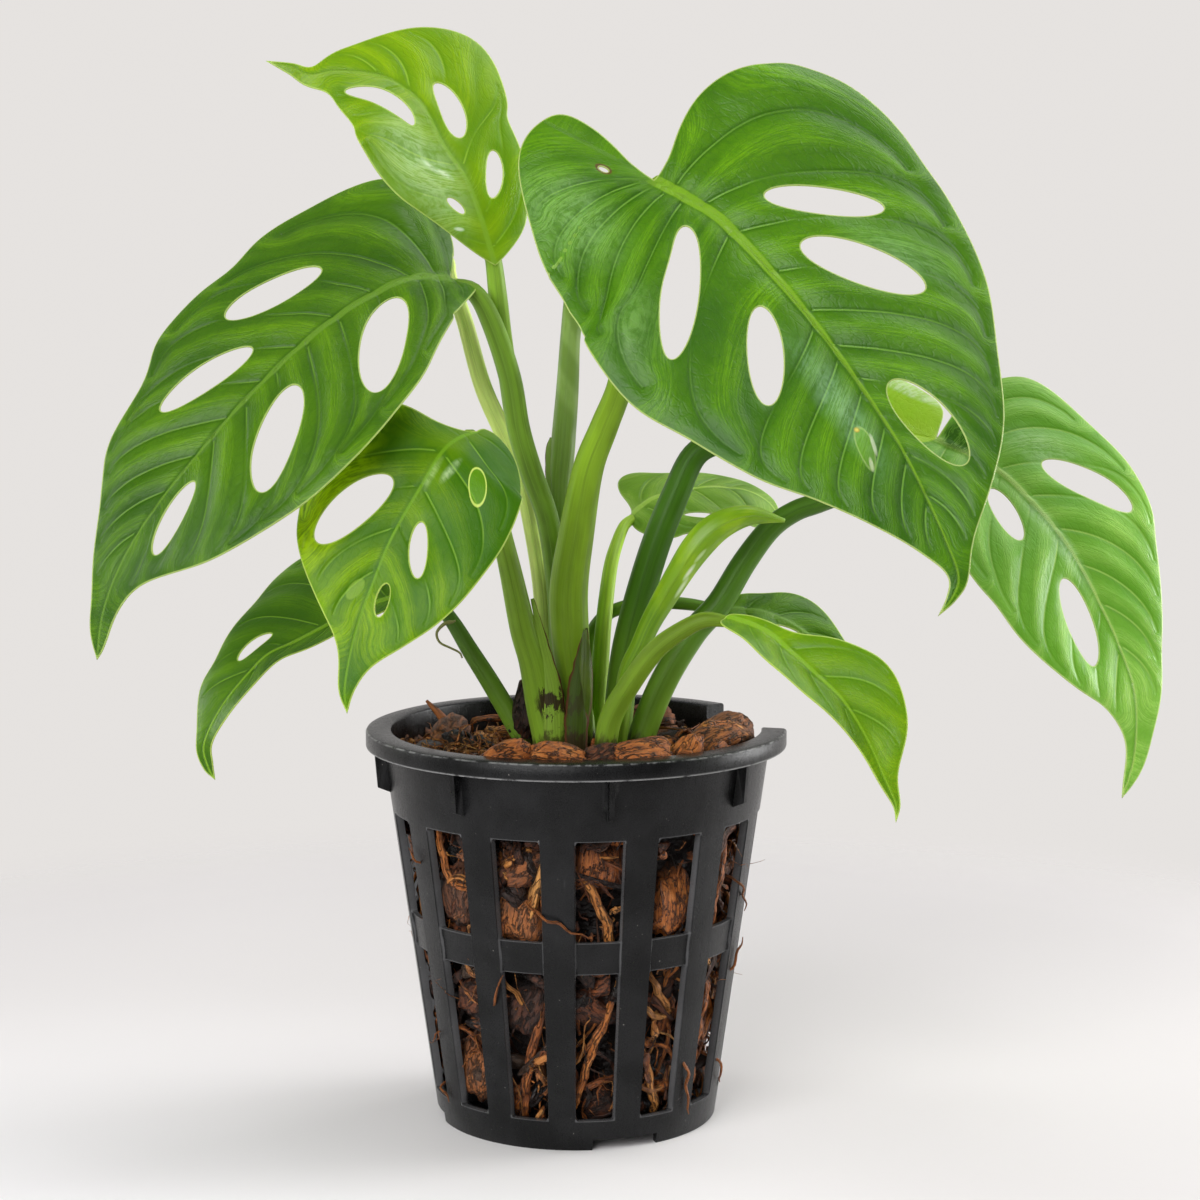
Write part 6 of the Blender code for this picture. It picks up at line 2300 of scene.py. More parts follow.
    def material(self) -> bpy.types.Material:
        """Fibrous husk, from near black to orange by tint, rougher when dry, with painted shade in its
        grooves and deep in the pot.
        """
        g = Graph("potting_mix")
        x, y, z = g.attribute("husk")
        tint, shade, thread = g.attribute("tint")
        fibre = g.noise(g.vector(x * 0.10, y * 0.85, z * 0.85), 1.5, 4.0, 0.7)
        wrinkle = g.noise(g.vector(x * 0.42, y, z), 0.42, 4.0, 0.6) - 0.5
        wrinkle = wrinkle.math("ABSOLUTE").rise(0.045, 0.0)
        blot = g.noise(g.vector(x, y, z), 0.22, 3.0, 0.6)
        warm = (tint + (blot - 0.5) * 0.5 + (fibre - 0.5) * 0.35).clip()
        ramp = g.ramp(warm, HUSK_STOPS)
        strands = g.noise(g.vector(x * 0.16, y * 1.7, z * 1.7), 1.5, 3.0, 0.65)
        # Painted shade in the husk's fibre grooves and wrinkles
        colour = g.mix(fibre.rise(0.54, 0.32) * 0.68, ramp, HUSK_GROOVE_SHADE)
        colour = g.mix(wrinkle * 0.85, colour, HUSK_WRINKLE_SHADE)
        colour = g.mix(strands.rise(0.56, 0.72) * 0.5 * tint, colour, HUSK_STRAND)
        colour = g.mix(shade.rise(0.76, 0.95) * 0.30, colour, HUSK_DRY)
        # Painted shade: near black deeper than a few millimetres behind the wall's inside, and in a layer
        # just under the top
        right, back, up = g.place()
        low, high = 10.0, 90.0
        near_foot = float(self.inner_radius(low))
        slope = (float(self.inner_radius(high)) - near_foot) / (high - low)
        behind = (up - low) * slope + near_foot - (right * right + back * back).math("SQRT")
        in_wall = behind.rise(2.2, 7.5) * up.rise(101.0, 97.0)
        deep = in_wall + up.rise(103.5, 99.0) * up.rise(97.0, 98.0) * 0.8
        colour = g.mix(deep * 0.92, colour, HUSK_DEEP_SHADE)
        g.bump(fibre * 0.5 + strands * 0.3 + blot * 0.3 - wrinkle * 0.8, 1.1)
        wet = tint.rise(0.24, 0.04)
        g.set(Base_Color=colour, Roughness=0.58 - wet * 0.30 + fibre * 0.1 - thread * 0.16,
              Specular_IOR_Level=0.45)
        return g.material

    def build(self) -> None:
        """Make the mix as six pieces that all stand for its node."""
        material = self.material()
        shapes = (("mix_core", self.core()), ("mix_nuts", self.big_lumps()),
                  ("mix_chips", self.loose_chips()), ("mix_strips", self.husk_strips()),
                  ("mix_roots", Shape.joined(self.roots())),
                  ("mix_fibres", Shape.joined([self.fibres(), self.strays()])))
        for name, shape in shapes:
            shape.piece(name, material, Slot.MIX, ("potting_mix",))


# The studio

@dataclass
class Studio:
    """Pale floor, soft light and the photo's camera.

    Places are in metres, the lens and the floor in millimetres.
    """

    camera_place: Point = (0.00676, -0.800, 0.25076)
    camera_pitch: float = 0.127
    lens: float = 85.15
    sensor: float = 36.0
    light_aim: Point = (0.0, 0.0, 0.15)
    floor_radius: float = 420.0
    wall_light: Colour = (0.79, 0.765, 0.745)
    sky_light: Colour = (0.20, 0.20, 0.205)
    room_light: Colour = (0.22, 0.218, 0.215)
    room_to: float = 0.22
    wall_from: float = 0.52
    sky_from: float = 0.20
    sky_to: float = 0.50
    floor_fade_from: float = 300.0
    floor_tones: tuple[Colour, Colour] = ((0.70, 0.675, 0.67), (0.73, 0.705, 0.70))
    sunny_floor: Colour = (0.97, 0.95, 0.955)

    def build(self) -> None:
        """Add floor, world, lights and camera."""
        self.floor()
        self.world()
        self.light("key", (0.70, 0.25, 1.15), 1.2, 12.5)
        self.light("front", (-0.60, -1.20, 0.75), 1.1, 21.0)
        self.light("right", (1.00, 0.28, 0.22), 0.4, 8.0)
        self.light("left", (-1.00, 0.30, 0.50), 0.4, 2.2)
        self.camera()

    def floor(self) -> None:
        """A pale disc that fades into the background at its edge."""
        g = Graph("floor")
        x, y, _ = g.place()
        radius = (x * x + y * y).math("SQRT")
        clouds = g.noise(g.vector(x, y, 0.0), 0.006, 2.0)
        colour = g.mix(clouds, *self.floor_tones)
        # Painted light: the floor is painted brighter towards the front left, standing in for light there
        colour = g.mix(y.rise(150.0, -90.0) * x.rise(130.0, -90.0), colour, self.sunny_floor)
        g.set(Base_Color=colour, Roughness=0.6, Specular_IOR_Level=0.25,
              Alpha=radius.rise(self.floor_radius, self.floor_fade_from))
        rings, sides = 48, 96
        turn = 360.0 * np.arange(sides) / sides
        radii = np.linspace(0.004, 1.0, rings) * self.floor_radius
        points = turned_point(turn[None, :], radii[:, None], np.zeros((rings, 1))).reshape(-1, 3)
        mesh = bpy.data.meshes.new("floor")
        faces = grid_faces(rings, sides)[:, ::-1]
        mesh.from_pydata((points * MM).tolist(), [], [tuple(int(k) for k in face) for face in faces])
        mesh.materials.append(g.material)
        item = bpy.data.objects.new("floor", mesh)
        bpy.context.scene.collection.objects.link(item)

    def world(self) -> None:
        """A pale wall round the plant, dimmer overhead and in the room in front."""
        world = bpy.data.worlds.new("studio")
        world.use_nodes = True
        tree = Tree(world.node_tree)
        place = tree.node("ShaderNodeTexCoord").outputs["Generated"]
        _, depth, height = tree.node("ShaderNodeSeparateXYZ", inputs={0: place}).outputs
        halved = {0: depth, 1: 0.5, 2: 0.5}
        shift = tree.node("ShaderNodeMath", {"operation": "MULTIPLY_ADD"}, halved).outputs[0]
        around = tree.ramp(shift, [(self.room_to, self.room_light), (self.wall_from, self.wall_light)])
        span = {0: height, 1: self.sky_from, 2: self.sky_to}
        overhead = tree.node("ShaderNodeMapRange", inputs=span).outputs[0]
        tree.feed(tree.nodes["Background"].inputs[0], tree.mix(overhead, around, self.sky_light))
        bpy.context.scene.world = world

    def light(self, name: str, place: Point, size: float, power: float) -> None:
        """Add a square area light that looks at the plant.

        Args:
            name: The light's name.
            place: Where it is, in metres.
            size: Its side, in metres.
            power: Its power in watts.
        """
        data = bpy.data.lights.new(name, "AREA")
        data.size = size
        data.energy = power
        item = bpy.data.objects.new(name, data)
        item.location = place
        aim = Vector(self.light_aim) - Vector(place)
        item.rotation_mode = "QUATERNION"
        item.rotation_quaternion = aim.to_track_quat("-Z", "Y")
        bpy.context.scene.collection.objects.link(item)

    def camera(self) -> None:
        """The camera at the photo's place and angle."""
        data = bpy.data.cameras.new("camera")
        data.lens = self.lens
        data.sensor_width = self.sensor
        item = bpy.data.objects.new("camera", data)
        item.location = self.camera_place
        item.rotation_euler = (math.pi / 2.0 - self.camera_pitch, 0.0, 0.0)
        bpy.context.scene.collection.objects.link(item)
        bpy.context.scene.camera = item
        bpy.context.scene.view_settings.view_transform = "Standard"


# The leaves

def plant() -> list[Leaf | RolledLeaf]:
    """The leaves' shapes and routes, in millimetres, from large to small.

    Returns:
        All leaves and the pieces that stand among them.
    """
    return [
        Leaf(
            "leaf_large_right", MATURE, stem=(0.190, 0.320, 0.014),
            rib=[(21, -42, 266), (30, -46, 261), (41, -52, 253), (62, -66, 229), (80, -80, 203),
                 (88, -87, 188), (94, -93, 174), (96.3, -96, 166.5), (94.5, -97.5, 161.5),
                 (91, -98.5, 157)],
            face=(0.1, -0.9, 0.4), fold=(8, 8), curl=0.003,
            near=[(-8, -1), (-14, -3), (-24, -5), (-34, -4), (-37, 5), (-33, 16), (-19, 30), (-6, 40),
                  (15, 49), (49, 53), (73, 46), (91, 38), (105, 28), (117, 18), (128, 8.5),
                  (137, 3), (142, 1.8)],
            far=[(0, -7), (-3, -17), (-4, -28), (0, -40), (7, -49), (18, -55), (28, -56), (42, -53.5),
                 (52, -52), (73, -46), (90, -37), (107, -27), (118, -18), (129, -8), (136, -3.4),
                 (142, -1.8)],
            holes=[(25, -13, 45, -36, 8.1), (41, -11, 68, -30, 11.3), (16, 8, 48, 37, 10.2),
                   (49, 9, 75, 24, 9.4), (85, -7, 112, -13, 11), (-14.6, 4.5, -11.6, 4.5, 1.3)],
            marks=(
                # The first four marks are painted highlights (sheens); the rest are blemishes
                Mark(-12.0, 22.0, 26.0, 15.0, 12.0, (0.32, 0.58, 0.18), 0.42, 0.9),
                Mark(84.0, 8.0, 30.0, 6.5, 0.0, (0.34, 0.58, 0.32), 0.40, 0.9),
                Mark(30.0, 38.0, 26.0, 10.0, 30.0, (0.28, 0.52, 0.14), 0.32, 0.9),
                Mark(57.0, -31.0, 22.0, 7.0, -30.0, (0.28, 0.52, 0.20), 0.30, 0.9),
                Mark(98.2, 8.8, 6.2, 2.1, 12.0, (0.16, 0.37, 0.02), 0.50, 0.0, (0.42, 0.58, 0.18), 0.45),
                Mark(103.0, 9.6, 1.6, 0.5, 12.0, (0.62, 0.72, 0.42), 0.75, 0.0, (0.62, 0.72, 0.42), 0.3),
                Mark(92.5, 8.0, 0.7, 0.5, 0.0, (0.75, 0.60, 0.12), 0.8, 0.0, (0.45, 0.25, 0.05), 0.4),
                Mark(98.2, 6.4, 2.4, 0.5, 10.0, (0.60, 0.70, 0.45), 0.8, 0.0, (0.60, 0.70, 0.45), 0.3),
                Mark(-13.1, 4.5, 2.3, 1.2, 0.0, (0.10, 0.04, 0.01), 0.8, 0.0, (0.12, 0.05, 0.015), 0.7)),
            stalk=[(0.5, -7, 109, 4.2), (0, -8, 124, 4.6), (-1.5, -9.5, 138, 5.3),
                   (-2, -11, 153, 5.4), (0, -12, 168, 5), (3.4, -15, 187, 4.3), (8, -19, 199.5, 3.9),
                   (12.2, -24, 211, 3.5), (14.4, -30, 226, 3.2), (16, -35, 239.5, 3),
                   (17.5, -39, 253, 2.8), (20.8, -42.5, 264, 2.4)],
            veins_near=((0, -18, 150), (0, -4, 134), (2, 9, 116), (5, 28, 100), (10, 50, 84), (26, 84, 64),
                        (61, 97, 48), (72, 107, 46), (83, 116, 44), (94, 124, 41), (105, 132, 38),
                        (117, 140, 36)),
            veins_far=((0, -2, 150), (0, 12, 134), (3, 26, 116), (6, 40, 92), (15, 57, 66), (27, 73, 60),
                       (42, 86, 56), (56, 98, 52), (68, 108, 48), (79, 116, 46), (91, 124, 43),
                       (103, 132, 40), (115, 140, 38)),
            ridge=2.3, seed=1, bend_reach=7.0),
        Leaf(
            "leaf_large_left", DARK, stem=(0.170, 0.310, 0.028),
            rib=[(-34, -15, 240), (-45, -22, 240), (-59, -32, 233), (-72, -42, 223), (-86, -52, 209),
                 (-98, -58, 195), (-109, -63, 181), (-117, -66, 168), (-122, -69, 155),
                 (-124, -71, 142)],
            face=(-0.25, -0.75, 0.6), fold=(5, 12), curl=0.003,
            near=[(-6, 14), (-8, 32), (1, 42), (19, 44), (31, 43), (42, 39), (55, 40), (72, 38),
                  (85, 31), (103, 26), (112, 20), (124, 12), (138, 5), (148, 3)],
            far=[(-7, -3), (-3, -8), (12, -22), (37, -36), (55, -41), (69, -43), (80, -42), (91, -39),
                 (106, -33), (115, -27), (124, -18), (133, -8), (142, -4), (150, -2)],
            holes=[(29, 18, 56, 25, 10.2), (60, 11, 89, 19, 9), (22, -6, 55, -32, 12.7),
                   (64, -9, 93, -27, 11.8), (100, -5, 122, -9, 7)],
            stalk=[(-3.2, 1, 107, 3.2), (-4.1, 1, 123, 3.2), (-4.6, 1, 137.5, 3.2),
                   (-5.4, 0, 153, 3.2), (-7.9, -5, 172, 3.2), (-12.3, -8, 185.5, 3.3),
                   (-15.8, -10, 198, 3.3), (-18.2, -11, 212.5, 3.2), (-23.1, -12, 227.5, 3),
                   (-28, -13.5, 236, 2.6), (-34, -15.5, 239.5, 2.2)],
            veins_near=((0, 6, 100), (4, 26, 74), (12, 48, 62), (24, 66, 58), (38, 82, 55), (52, 96, 50),
                        (66, 107, 47), (80, 116, 44), (93, 124, 42), (105, 133, 39), (118, 142, 36)),
            veins_far=((0, 10, 112), (4, 34, 84), (10, 58, 68), (24, 74, 62), (38, 88, 58), (50, 99, 54),
                       (62, 109, 51), (74, 118, 48), (87, 127, 45), (99, 134, 42), (112, 143, 38)),
            ridge=2.1, seed=2),
        Leaf(
            "leaf_young_top", YOUNG, stem=(0.220, 0.380, 0.035),
            rib=[(-22, -14, 243), (-26, -18, 257), (-30, -20, 267), (-36, -20, 276), (-42, -18, 287),
                 (-52, -14, 294), (-65, -10, 296), (-73, -8, 295), (-78, -8, 297), (-85, -8, 299)],
            face=(0.0, -0.95, 0.3), fold=(-20, 12), curl=0.002,
            near=[(2.5, 5.7), (7, 12), (15.5, 16.1), (25, 19.5), (34, 21.6), (46, 24.7), (52, 27.4),
                  (57.5, 26.4), (63, 21.4), (69, 14.3), (76, 8.4), (84, 3), (89, 2)],
            far=[(3, -2.7), (7, -5.8), (13, -9.8), (24, -16.2), (34, -19), (42, -20.6), (50, -21),
                 (57, -19.8), (65, -17), (72, -12.9), (80, -6), (85, -3), (90, -2)],
            holes=[(45, -5, 73, -6, 4.9), (36, 6, 52, 8, 6.8), (18, 5, 28, 12, 5),
                   (17, -4, 23, -7, 2.2)],
            # The first three marks are painted highlights and the last is painted shade on the near half
            marks=(Mark(34.0, -8.5, 30.0, 12.0, -4.0, (0.62, 0.84, 0.44), 0.46, 0.95),
                   Mark(30.0, -4.6, 3.0, 0.7, -24.0, (0.80, 0.90, 0.70), 0.50, 0.5, (0.5, 0.7, 0.4), 0.2),
                   Mark(33.5, -6.6, 2.4, 0.6, -14.0, (0.80, 0.90, 0.70), 0.50, 0.5, (0.5, 0.7, 0.4), 0.2),
                   Mark(13.5, -7.0, 1.2, 0.45, -60.0, (0.86, 0.93, 0.80), 0.65, 0.0, (0.5, 0.7, 0.4), 0.3),
                   Mark(18.0, 10.0, 24.0, 5.0, 8.0, (0.07, 0.20, 0.004), 0.45, 0.9)),
            stalk=[(3, 6.8, 107, 2.8), (1, 8, 122, 2.8), (-1.8, 8, 137, 2.9), (-5, 8, 157, 2.9),
                   (-8.9, 8, 168, 2.9), (-13, 8, 182.5, 2.8), (-16.9, 7, 197, 2.8),
                   (-19.1, 4, 211, 2.7), (-20.7, -1, 223.5, 2.7), (-21.5, -8, 233.5, 2.6),
                   (-22.3, -13.5, 243, 2.3)],
            veins_near=((1, 8, 95), (5, 26, 64), (14, 44, 56), (28, 58, 52), (42, 68, 48),
                        (54, 76, 44), (64, 83, 38)),
            veins_far=((1, 16, 80), (6, 34, 58), (16, 50, 52), (30, 64, 48), (45, 74, 44), (58, 82, 40)),
            ridge=2.2, seed=3),
        Leaf(
            "leaf_small_front", SMALL, stem=(0.215, 0.370, 0.022),
            rib=[(-26, -49, 200), (-31, -54, 198), (-35, -58, 194.5), (-39.5, -62, 187),
                 (-47, -67, 174), (-52, -71, 162), (-56.5, -74, 149), (-59, -77, 136),
                 (-58.5, -78, 129)],
            face=(-0.1, -0.9, 0.35), fold=(10, 10), curl=0.004,
            near=[(5, 3), (8, 8), (9, 14), (12, 23), (17, 28), (30, 30), (42, 26), (48, 24), (55, 19),
                  (62, 12), (69, 5), (75, 2.5), (81, 2)],
            far=[(-4, 0), (-5, -5), (-4, -12), (0, -19), (9, -25), (20, -27), (31, -28), (46, -26),
                 (57, -21), (68, -13), (75, -6), (81, -3)],
            holes=[(26, 8, 48, 18, 10), (33, -5, 48, -11, 4.9), (52, -3.5, 61, -4.5, 3.5)],
            marks=(
                # The first mark is painted light on the blade's left, in the shade cast by the leaf above;
                # the next two are painted highlights
                Mark(36.0, 24.0, 30.0, 15.0, 0.0, (0.66, 0.95, 0.004), 0.62, 0.7),
                Mark(17.0, -5.0, 5.0, 1.6, 8.0, (0.70, 0.88, 0.50), 0.50, 0.8),
                Mark(20.0, -1.0, 6.0, 1.2, 0.0, (0.55, 0.78, 0.30), 0.40, 0.8),
                Mark(17.8, -13.8, 5.8, 2.4, -28.0, (0.15, 0.36, 0.006), 0.5, 0.0, (0.62, 0.75, 0.16), 0.9),
                Mark(56.0, 3.8, 3.0, 1.6, 20.0, (0.30, 0.48, 0.06), 0.45, 0.0, (0.30, 0.48, 0.06), 0.2)),
            scar=(20.0, 26.5),
            stalk=[(-7.2, -15, 110, 4.8), (-9.4, -15.5, 120.5, 4.5), (-12, -17, 133.5, 3.9),
                   (-14.7, -19, 143, 3.6), (-18, -24, 160, 3), (-19.8, -27, 168.5, 2.8),
                   (-22, -33, 180, 2.6), (-23.8, -40, 190, 2.4), (-25.8, -47, 198.5, 2.1)],
            veins_near=((1, 12, 110), (5, 28, 72), (13, 44, 62), (24, 55, 56), (37, 64, 50), (49, 71, 44)),
            veins_far=((1, 4, 118), (4, 26, 74), (13, 42, 62), (24, 54, 56), (36, 64, 50), (49, 72, 44)),
            ridge=1.7, seed=4, bend_reach=7.0),
        Leaf(
            "leaf_low_left", LOW, stem=(0.075, 0.170, 0.018),
            rib=[(-50, 4, 150), (-64, 0, 145), (-78, -4, 138), (-87, -8, 134), (-94, -12, 127),
                 (-100, -15, 119), (-104, -17, 110), (-103, -18, 104), (-101, -18, 100)],
            face=(-0.35, -0.6, 0.7), fold=(0, 27), curl=0.003,
            near=[(-4, 6), (-2, 18), (5, 30), (15, 37), (21, 36), (29, 32), (38, 23), (50, 15),
                  (59, 13), (66, 8), (73, 3), (79, 2)],
            far=[(-3, -4), (2, -7), (12, -9), (26, -10.5), (36, -9), (45, -8), (62, -6), (71, -3.5),
                 (79, -2)],
            holes=[(37, 8, 48, 7, 4.1)],
            stalk=[(-15.3, 2, 107, 2.8), (-18, 2, 113, 2.8), (-24.7, 3, 124.5, 2.7),
                   (-30.4, 4, 133.5, 2.5), (-35.3, 5, 141.5, 2.2), (-39, 5, 146, 2),
                   (-44.1, 5, 149, 1.8), (-51, 4, 150, 1.5)],
            veins_near=((1, 2, 120), (4, 20, 80), (12, 34, 66), (24, 46, 58), (36, 58, 48), (48, 68, 42)),
            veins_far=((2, 14, 62), (10, 30, 52), (22, 44, 46), (34, 56, 42), (47, 68, 38)),
            ridge=1.4, seed=5),
        Leaf(
            "leaf_far_right", PALE, stem=(0.068, 0.165, 0.010),
            rib=[(101, -5, 195), (117, -14, 187), (130, -20, 174), (138, -22, 163), (145, -23, 150),
                 (151, -24, 137), (155, -24, 124), (155, -24, 108), (152, -24, 96)],
            face=(0.25, -0.85, 0.4), fold=(14, 4), curl=0.003,
            near=[(-1.5, -4.5), (-2.4, -8.5), (-5.5, -11), (-12, -12.2), (-19, -12.4), (-26, -11),
                  (-27, -2), (-14, 9), (1, 18), (17, 27), (39, 33), (51, 32), (64, 30), (79, 24),
                  (90, 16), (100, 8), (108, 3), (116, 2)],
            far=[(-0.4, -9.5), (-1, -17), (0, -23), (5, -28), (11, -32), (24, -32), (37, -33), (46, -32),
                 (54, -30), (60, -26), (70, -21), (87, -12), (103, -6), (112, -4), (120, -2)],
            holes=[(27, -11, 51, -24, 8.8), (23, 7, 40, 12, 7.6), (56, 7.5, 82, 11, 9.5)],
            # The first mark is painted light on the near lobe, which lies in shade; the next three are
            # painted highlights; the last is a painted shadow near the base
            marks=(Mark(-15.0, -3.0, 15.5, 12.0, 0.0, (0.48, 0.74, 0.03), 0.8),
                   Mark(25.0, -14.0, 17.0, 8.0, -25.0, (0.50, 0.74, 0.38), 0.42, 0.9),
                   Mark(46.0, 1.5, 24.0, 3.8, 0.0, (0.52, 0.76, 0.44), 0.45, 0.9),
                   Mark(-15.0, -12.0, 16.0, 4.6, -4.0, (0.72, 0.90, 0.50), 0.8, 0.25),
                   Mark(6.0, -4.0, 7.2, 6.5, 0.0, (0.045, 0.150, 0.004), 1.0, 0.45)),
            stalk=[(18.1, -6, 108.5, 3.9), (24.3, -5, 125, 3.9), (33, -4, 139.5, 3.8),
                   (40.5, -3, 148, 3.7), (47.5, -2, 159.5, 3.5), (54.8, -1, 169, 3.2),
                   (62, 0, 174, 3), (69, 0, 176.5, 2.9), (80, -1, 181, 2.7), (91, -3, 188.5, 2.5),
                   (101.5, -5.5, 194.5, 2.1)],
            veins_near=((0, -14, 150), (1, 4, 122), (4, 24, 84), (11, 42, 66), (21, 56, 60), (33, 68, 55),
                        (45, 79, 50), (57, 89, 46), (69, 98, 43), (81, 106, 40)),
            veins_far=((0, 4, 118), (3, 24, 82), (10, 42, 66), (20, 56, 60), (31, 68, 55), (43, 79, 50),
                       (55, 89, 46), (67, 97, 43), (80, 106, 40)),
            ridge=1.9, seed=6),
        Leaf(
            # Its stalk's green is painted paler than its own: partly painted light on a stalk that lies in
            # shade
            "leaf_small_back", BEHIND, stem=(0.31, 0.50, 0.03),
            rib=[(16, 45, 169), (22, 47, 173), (30, 48.5, 175.5), (40, 49.5, 176.5), (50, 50, 175.5),
                 (57, 50, 172), (61, 49.5, 167)],
            face=(0.05, -0.35, 0.95), fold=(-12, 0), curl=0.0,
            near=[(-3, 4), (-2, 9), (0, 15), (5, 19), (13, 20), (22, 21), (31, 20), (40, 16),
                  (49, 10)],
            far=[(2, -4), (3, -12), (6, -19), (9, -19), (13, -14), (19, -12), (25, -11), (33, -8),
                 (42, -5), (48, -3)],
            holes=[(15, 12, 29, 15, 2.4)],
            stalk=[(5.6, 12, 105.5, 2.5), (6.8, 12, 127, 2.4), (7.9, 13, 141.5, 2.3),
                   (9.7, 20, 155, 2.1), (11.7, 28, 161.5, 1.9), (14, 37, 166, 1.7),
                   (16.3, 43.5, 169.3, 1.5)],
            veins_near=((0, 4, 100), (4, 18, 68), (11, 30, 58), (20, 40, 50), (31, 48, 42)),
            veins_far=((0, 8, 88), (4, 18, 64), (12, 28, 54), (21, 37, 48), (31, 45, 42)),
            ridge=1.4, seed=7),
        Leaf(
            "leaf_low_right", FRESH, stem=(0.150, 0.250, 0.012),
            rib=[(41, -36, 149), (51, -44, 146), (59, -50, 140), (66, -54, 134), (72, -57, 128),
                 (78, -59, 118), (82, -61, 109), (85, -62, 102), (85, -62, 97)],
            face=(-0.2, -0.5, 0.85), fold=(35, 20), curl=0.003,
            near=[(1, 5), (6, 9), (11, 10.5), (21, 12), (28, 12), (39, 11), (48, 7), (59, 3.5),
                  (68, 2)],
            far=[(1, -2), (7, -3), (18, -4), (24, -8), (30, -12), (40, -16), (45, -16), (50, -14.5),
                 (56, -12), (62, -7), (68, -3)],
            stalk=[(8.4, -22, 111, 3.2), (10.1, -23, 119.5, 3.2), (15.6, -26, 129.5, 3),
                   (22, -29, 138.5, 2.8), (29.4, -32, 144.5, 2.5), (35.4, -34, 147.5, 2.2),
                   (42, -37, 149, 1.9)],
            veins_near=((1, 14, 68), (8, 28, 54), (19, 40, 46), (30, 52, 40), (43, 62, 34)),
            veins_far=((2, 24, 62), (11, 38, 56), (22, 50, 50), (33, 58, 44), (45, 65, 38)),
            ridge=1.5, seed=8),
        Leaf(
            "leaf_low_back", DARK, stem=(0.100, 0.220, 0.010),
            rib=[(44, 25, 143), (54, 24, 142), (64, 22, 138), (73, 19, 131), (80, 16, 123),
                 (85, 14, 116)],
            face=(0.0, -0.5, 0.85), fold=(5, 5), curl=0.002,
            near=[(-1, 4), (2, 8), (8, 12), (14, 13), (31, 13), (40, 10), (47, 6)],
            far=[(-1, -3), (1, -6), (4, -8), (9, -8), (14, -12), (20, -13), (26, -11), (33, -8),
                 (44, -4)],
            holes=[(16, 3, 24, 1.5, 2.0)],
            stalk=[(3.1, 20, 104, 2), (3, 20, 119.5, 2), (3.4, 20.5, 129.5, 2),
                   (4.5, 21, 136.5, 1.9), (8.5, 21.5, 141.5, 1.9), (14.6, 22, 144, 1.9),
                   (21.4, 23, 145, 1.8), (31, 24, 144.5, 1.8), (38, 25, 143.3, 1.6),
                   (45, 25, 142.8, 1.4)],
            veins_near=((0, 8, 80), (5, 22, 62), (14, 33, 54), (24, 42, 46)),
            veins_far=((0, 8, 80), (5, 20, 62), (14, 32, 54), (24, 41, 46)),
            ridge=1.2, seed=9),
        Leaf(
            "leaf_turned_right", DARK, stem=(0.046, 0.130, 0.005),
            rib=[(69, -2, 206), (72, 20, 205), (75, 45, 202), (77, 66, 194)],
            face=(-1.0, 0.0, 0.1), fold=(6, 6), curl=0.003,
            near=[(-6, 4), (-6, 11), (0, 17), (12, 20), (28, 19), (44, 14), (56, 7)],
            holes=[(14, 6, 27, 12, 4.5), (18, -6, 32, -11, 4)],
            stalk=[(11.4, 3.5, 107, 4), (13.3, 3, 128, 4.1), (16.2, 2, 142.5, 4.2),
                   (22, 0, 163, 4.1), (28, 0, 178.5, 3.9), (33.6, 0, 190, 3.6), (42, 0, 194, 3.3),
                   (53, 0, 196.5, 3), (63, -1, 200.5, 2.7), (69.5, -1, 206, 2.2)],
            veins_near=((0, -4, 140), (3, 16, 84), (11, 32, 64), (22, 46, 56), (35, 60, 48)),
            ridge=1.8, seed=10),
        Leaf(
            # Its stalk's green is painted pale: painted light on a stalk that lies in shade
            "leaf_turned_left", MATURE, stem=(0.60, 0.74, 0.20),
            rib=[(-38, 8, 244), (-40, 25, 244), (-42, 42, 240), (-43, 58, 233)],
            face=(-1.0, 0.0, 0.1), fold=(6, 6), curl=0.003,
            near=[(-4, 3), (-5, 8), (0, 12), (10, 15), (22, 14), (36, 10), (46, 5)],
            holes=[(12, 4, 22, 9, 3.5)],
            stalk=[(-8.5, 5, 108, 2.7), (-8.7, 5, 123.5, 2.7), (-9, 5, 138, 2.7),
                   (-10.5, 4.5, 157.5, 2.7), (-15.5, 2, 184, 2.6), (-20.6, 2, 196, 2.6),
                   (-26.5, 3, 209.5, 2.5), (-31.5, 4, 227.5, 2.3), (-35.6, 6, 239, 2.1),
                   (-38.3, 9, 244.5, 1.8)],
            veins_near=((0, -3, 140), (2, 12, 84), (9, 24, 64), (18, 36, 56), (28, 46, 48)),
            ridge=1.5, seed=11),
        RolledLeaf(
            "leaf_rolled", YOUNG, opens_at=0.50,
            # Painted light: pale slits where the bright background shows between the rolled margins
            light_slits=(
                Mark(31.4, 159.0, 2.2, 0.45, 55.0, (0.78, 0.84, 0.62), 0.9, 0.0, (0.5, 0.65, 0.3), 0.6),
                Mark(29.4, 154.6, 2.6, 0.45, 58.0, (0.70, 0.80, 0.52), 0.8, 0.0, (0.45, 0.6, 0.25), 0.6),
                Mark(34.4, 163.6, 1.7, 0.35, 50.0, (0.62, 0.74, 0.40), 0.7, 0.0, (0.45, 0.6, 0.25), 0.5)),
            route=[(11.6, -10, 109.5, 2.8), (14.3, -12, 128.5, 2.8), (18, -14, 137.5, 2.8),
                   (21.3, -15, 145, 3), (28.4, -17, 158, 3.7), (34, -18, 166.5, 4.3),
                   (40, -18, 172, 4.1), (48, -17.5, 174.5, 2.9), (58, -17, 173, 0.5)]),
        RolledLeaf(
            "leaf_spear", SHOOT, opens_at=0.58, seed=8,
            route=[(-4.2, 15, 106, 3.5), (-4.2, 15, 136, 3.5), (-4.7, 15, 159, 3.5),
                   (-4.9, 14, 179, 3.5), (-3.8, 12, 192, 3.5), (-2.6, 10, 209, 3.2),
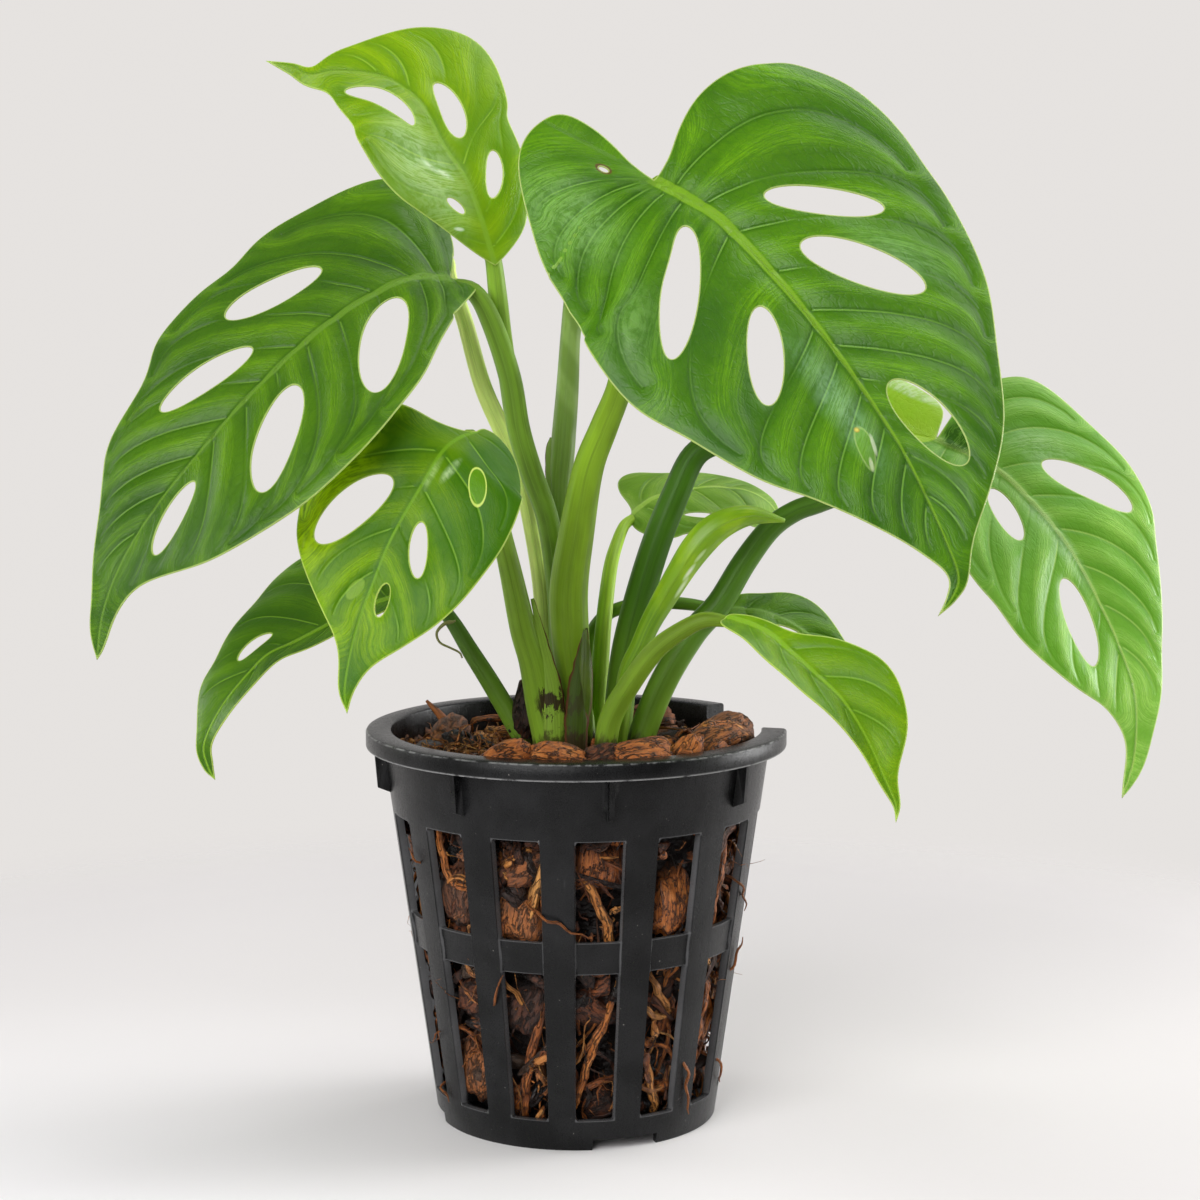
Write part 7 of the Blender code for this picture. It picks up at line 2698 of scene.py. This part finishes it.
                   (-1.7, 8, 223.5, 2.9), (0, 6, 236, 3.3), (2.6, 4, 253, 2.8), (5, 3, 267, 0.5)]),
        RolledLeaf(
            "sheath_scale", OLD_SHEATH, opens_at=0.12, turns=0.08, seed=12,
            route=[(-0.2, -16, 110.5, 2.9), (2, -16, 122.5, 2.9), (2.5, -17, 134, 2.1),
                   (2.6, -17.5, 142.5, 0.5)]),
    ]


def sheaths() -> list[Sheath]:
    """The thin wings of old leaf bases at the crown.

    Returns:
        The strips.
    """
    return [
        Sheath("wing_front", "leaf_small_front", Slot.YOUNG, facing=(0.35, -1.0, 0.1), bow=5.5,
               inner=(0.19, 0.31, 0.03), worn=0.95, dry_left=0.12,
               rows=[(-12.0, -19.6, 151.5, 0.5), (-10.2, -19.4, 144.0, 1.2), (-9.2, -19.2, 139.5, 1.6),
                     (-7.8, -19.0, 133.6, 2.1), (-6.4, -19.4, 127.5, 2.9), (-5.6, -19.8, 120.5, 3.4),
                     (-5.4, -20.0, 112.0, 3.4), (-5.4, -19.0, 103.0, 3.2)]),
        Sheath("wing_right", "leaf_large_right", Slot.MATURE, facing=(0.1, -1.0, 0.1), bow=5.0,
               inner=(0.036, 0.064, 0.002), worn=0.5,
               rows=[(3.1, -17.2, 143.0, 0.3), (2.3, -18.0, 138.0, 1.5), (1.6, -18.6, 132.0, 2.5),
                     (0.7, -19.2, 125.0, 3.3), (0.3, -19.8, 117.0, 3.6), (0.2, -20.0, 110.0, 3.6),
                     (0.2, -19.0, 102.0, 3.4)]),
        Sheath("wing_spear", "leaf_spear", Slot.MATURE, facing=(-0.5, -1.0, 0.0), bow=3.8,
               inner=(0.20, 0.30, 0.06), torn=(0.0, 1.0),
               rows=[(-7.2, 11.5, 194.0, 0.4), (-7.9, 11.6, 190.5, 1.1), (-7.9, 12.0, 184.0, 1.2),
                     (-7.8, 12.3, 176.0, 1.0), (-7.5, 12.6, 167.0, 0.4)]),
    ]


def tendril() -> None:
    """The dried thread that hangs from the low left leaf's stalk."""
    rows = [(-34.6, 3.6, 142.0, 0.7), (-37.5, 2.6, 141.5, 0.55), (-39.8, 2.2, 139.0, 0.4),
            (-39.0, 2.0, 136.2, 0.35), (-36.0, 2.0, 134.6, 0.32), (-33.4, 2.2, 133.2, 0.3),
            (-32.6, 2.2, 131.6, 0.22)]
    path = resample(smooth_path(rows, 10), 0.6)
    g = Graph("tendril")
    along, angle, _ = g.attribute("tube")
    tone = g.noise(g.vector(along * 0.3, angle, 0.0), 1.0, 2.0)
    g.set(Base_Color=g.mix(tone, (0.20, 0.16, 0.05), (0.34, 0.36, 0.14)), Roughness=0.6)
    swept(path[:, :3], path[:, 3], 10).piece("tendril", g.material, Slot.YOUNG, ("leaf_low_left",))


# Putting it together

def main() -> None:
    """Build the pot, the mix, the leaves and the studio in that order."""
    logging.basicConfig(level=logging.INFO, format="%(message)s")
    leaves = plant()
    pot = Pot()
    pot.build()
    stalks = [leaf.route if isinstance(leaf, RolledLeaf) else leaf.stalk for leaf in leaves]
    PottingMix(pot, stalks).build()
    for leaf in leaves:
        leaf.build()
    for sheath in sheaths():
        sheath.build()
    tendril()
    Studio().build()


if __name__ == "__main__":
    main()
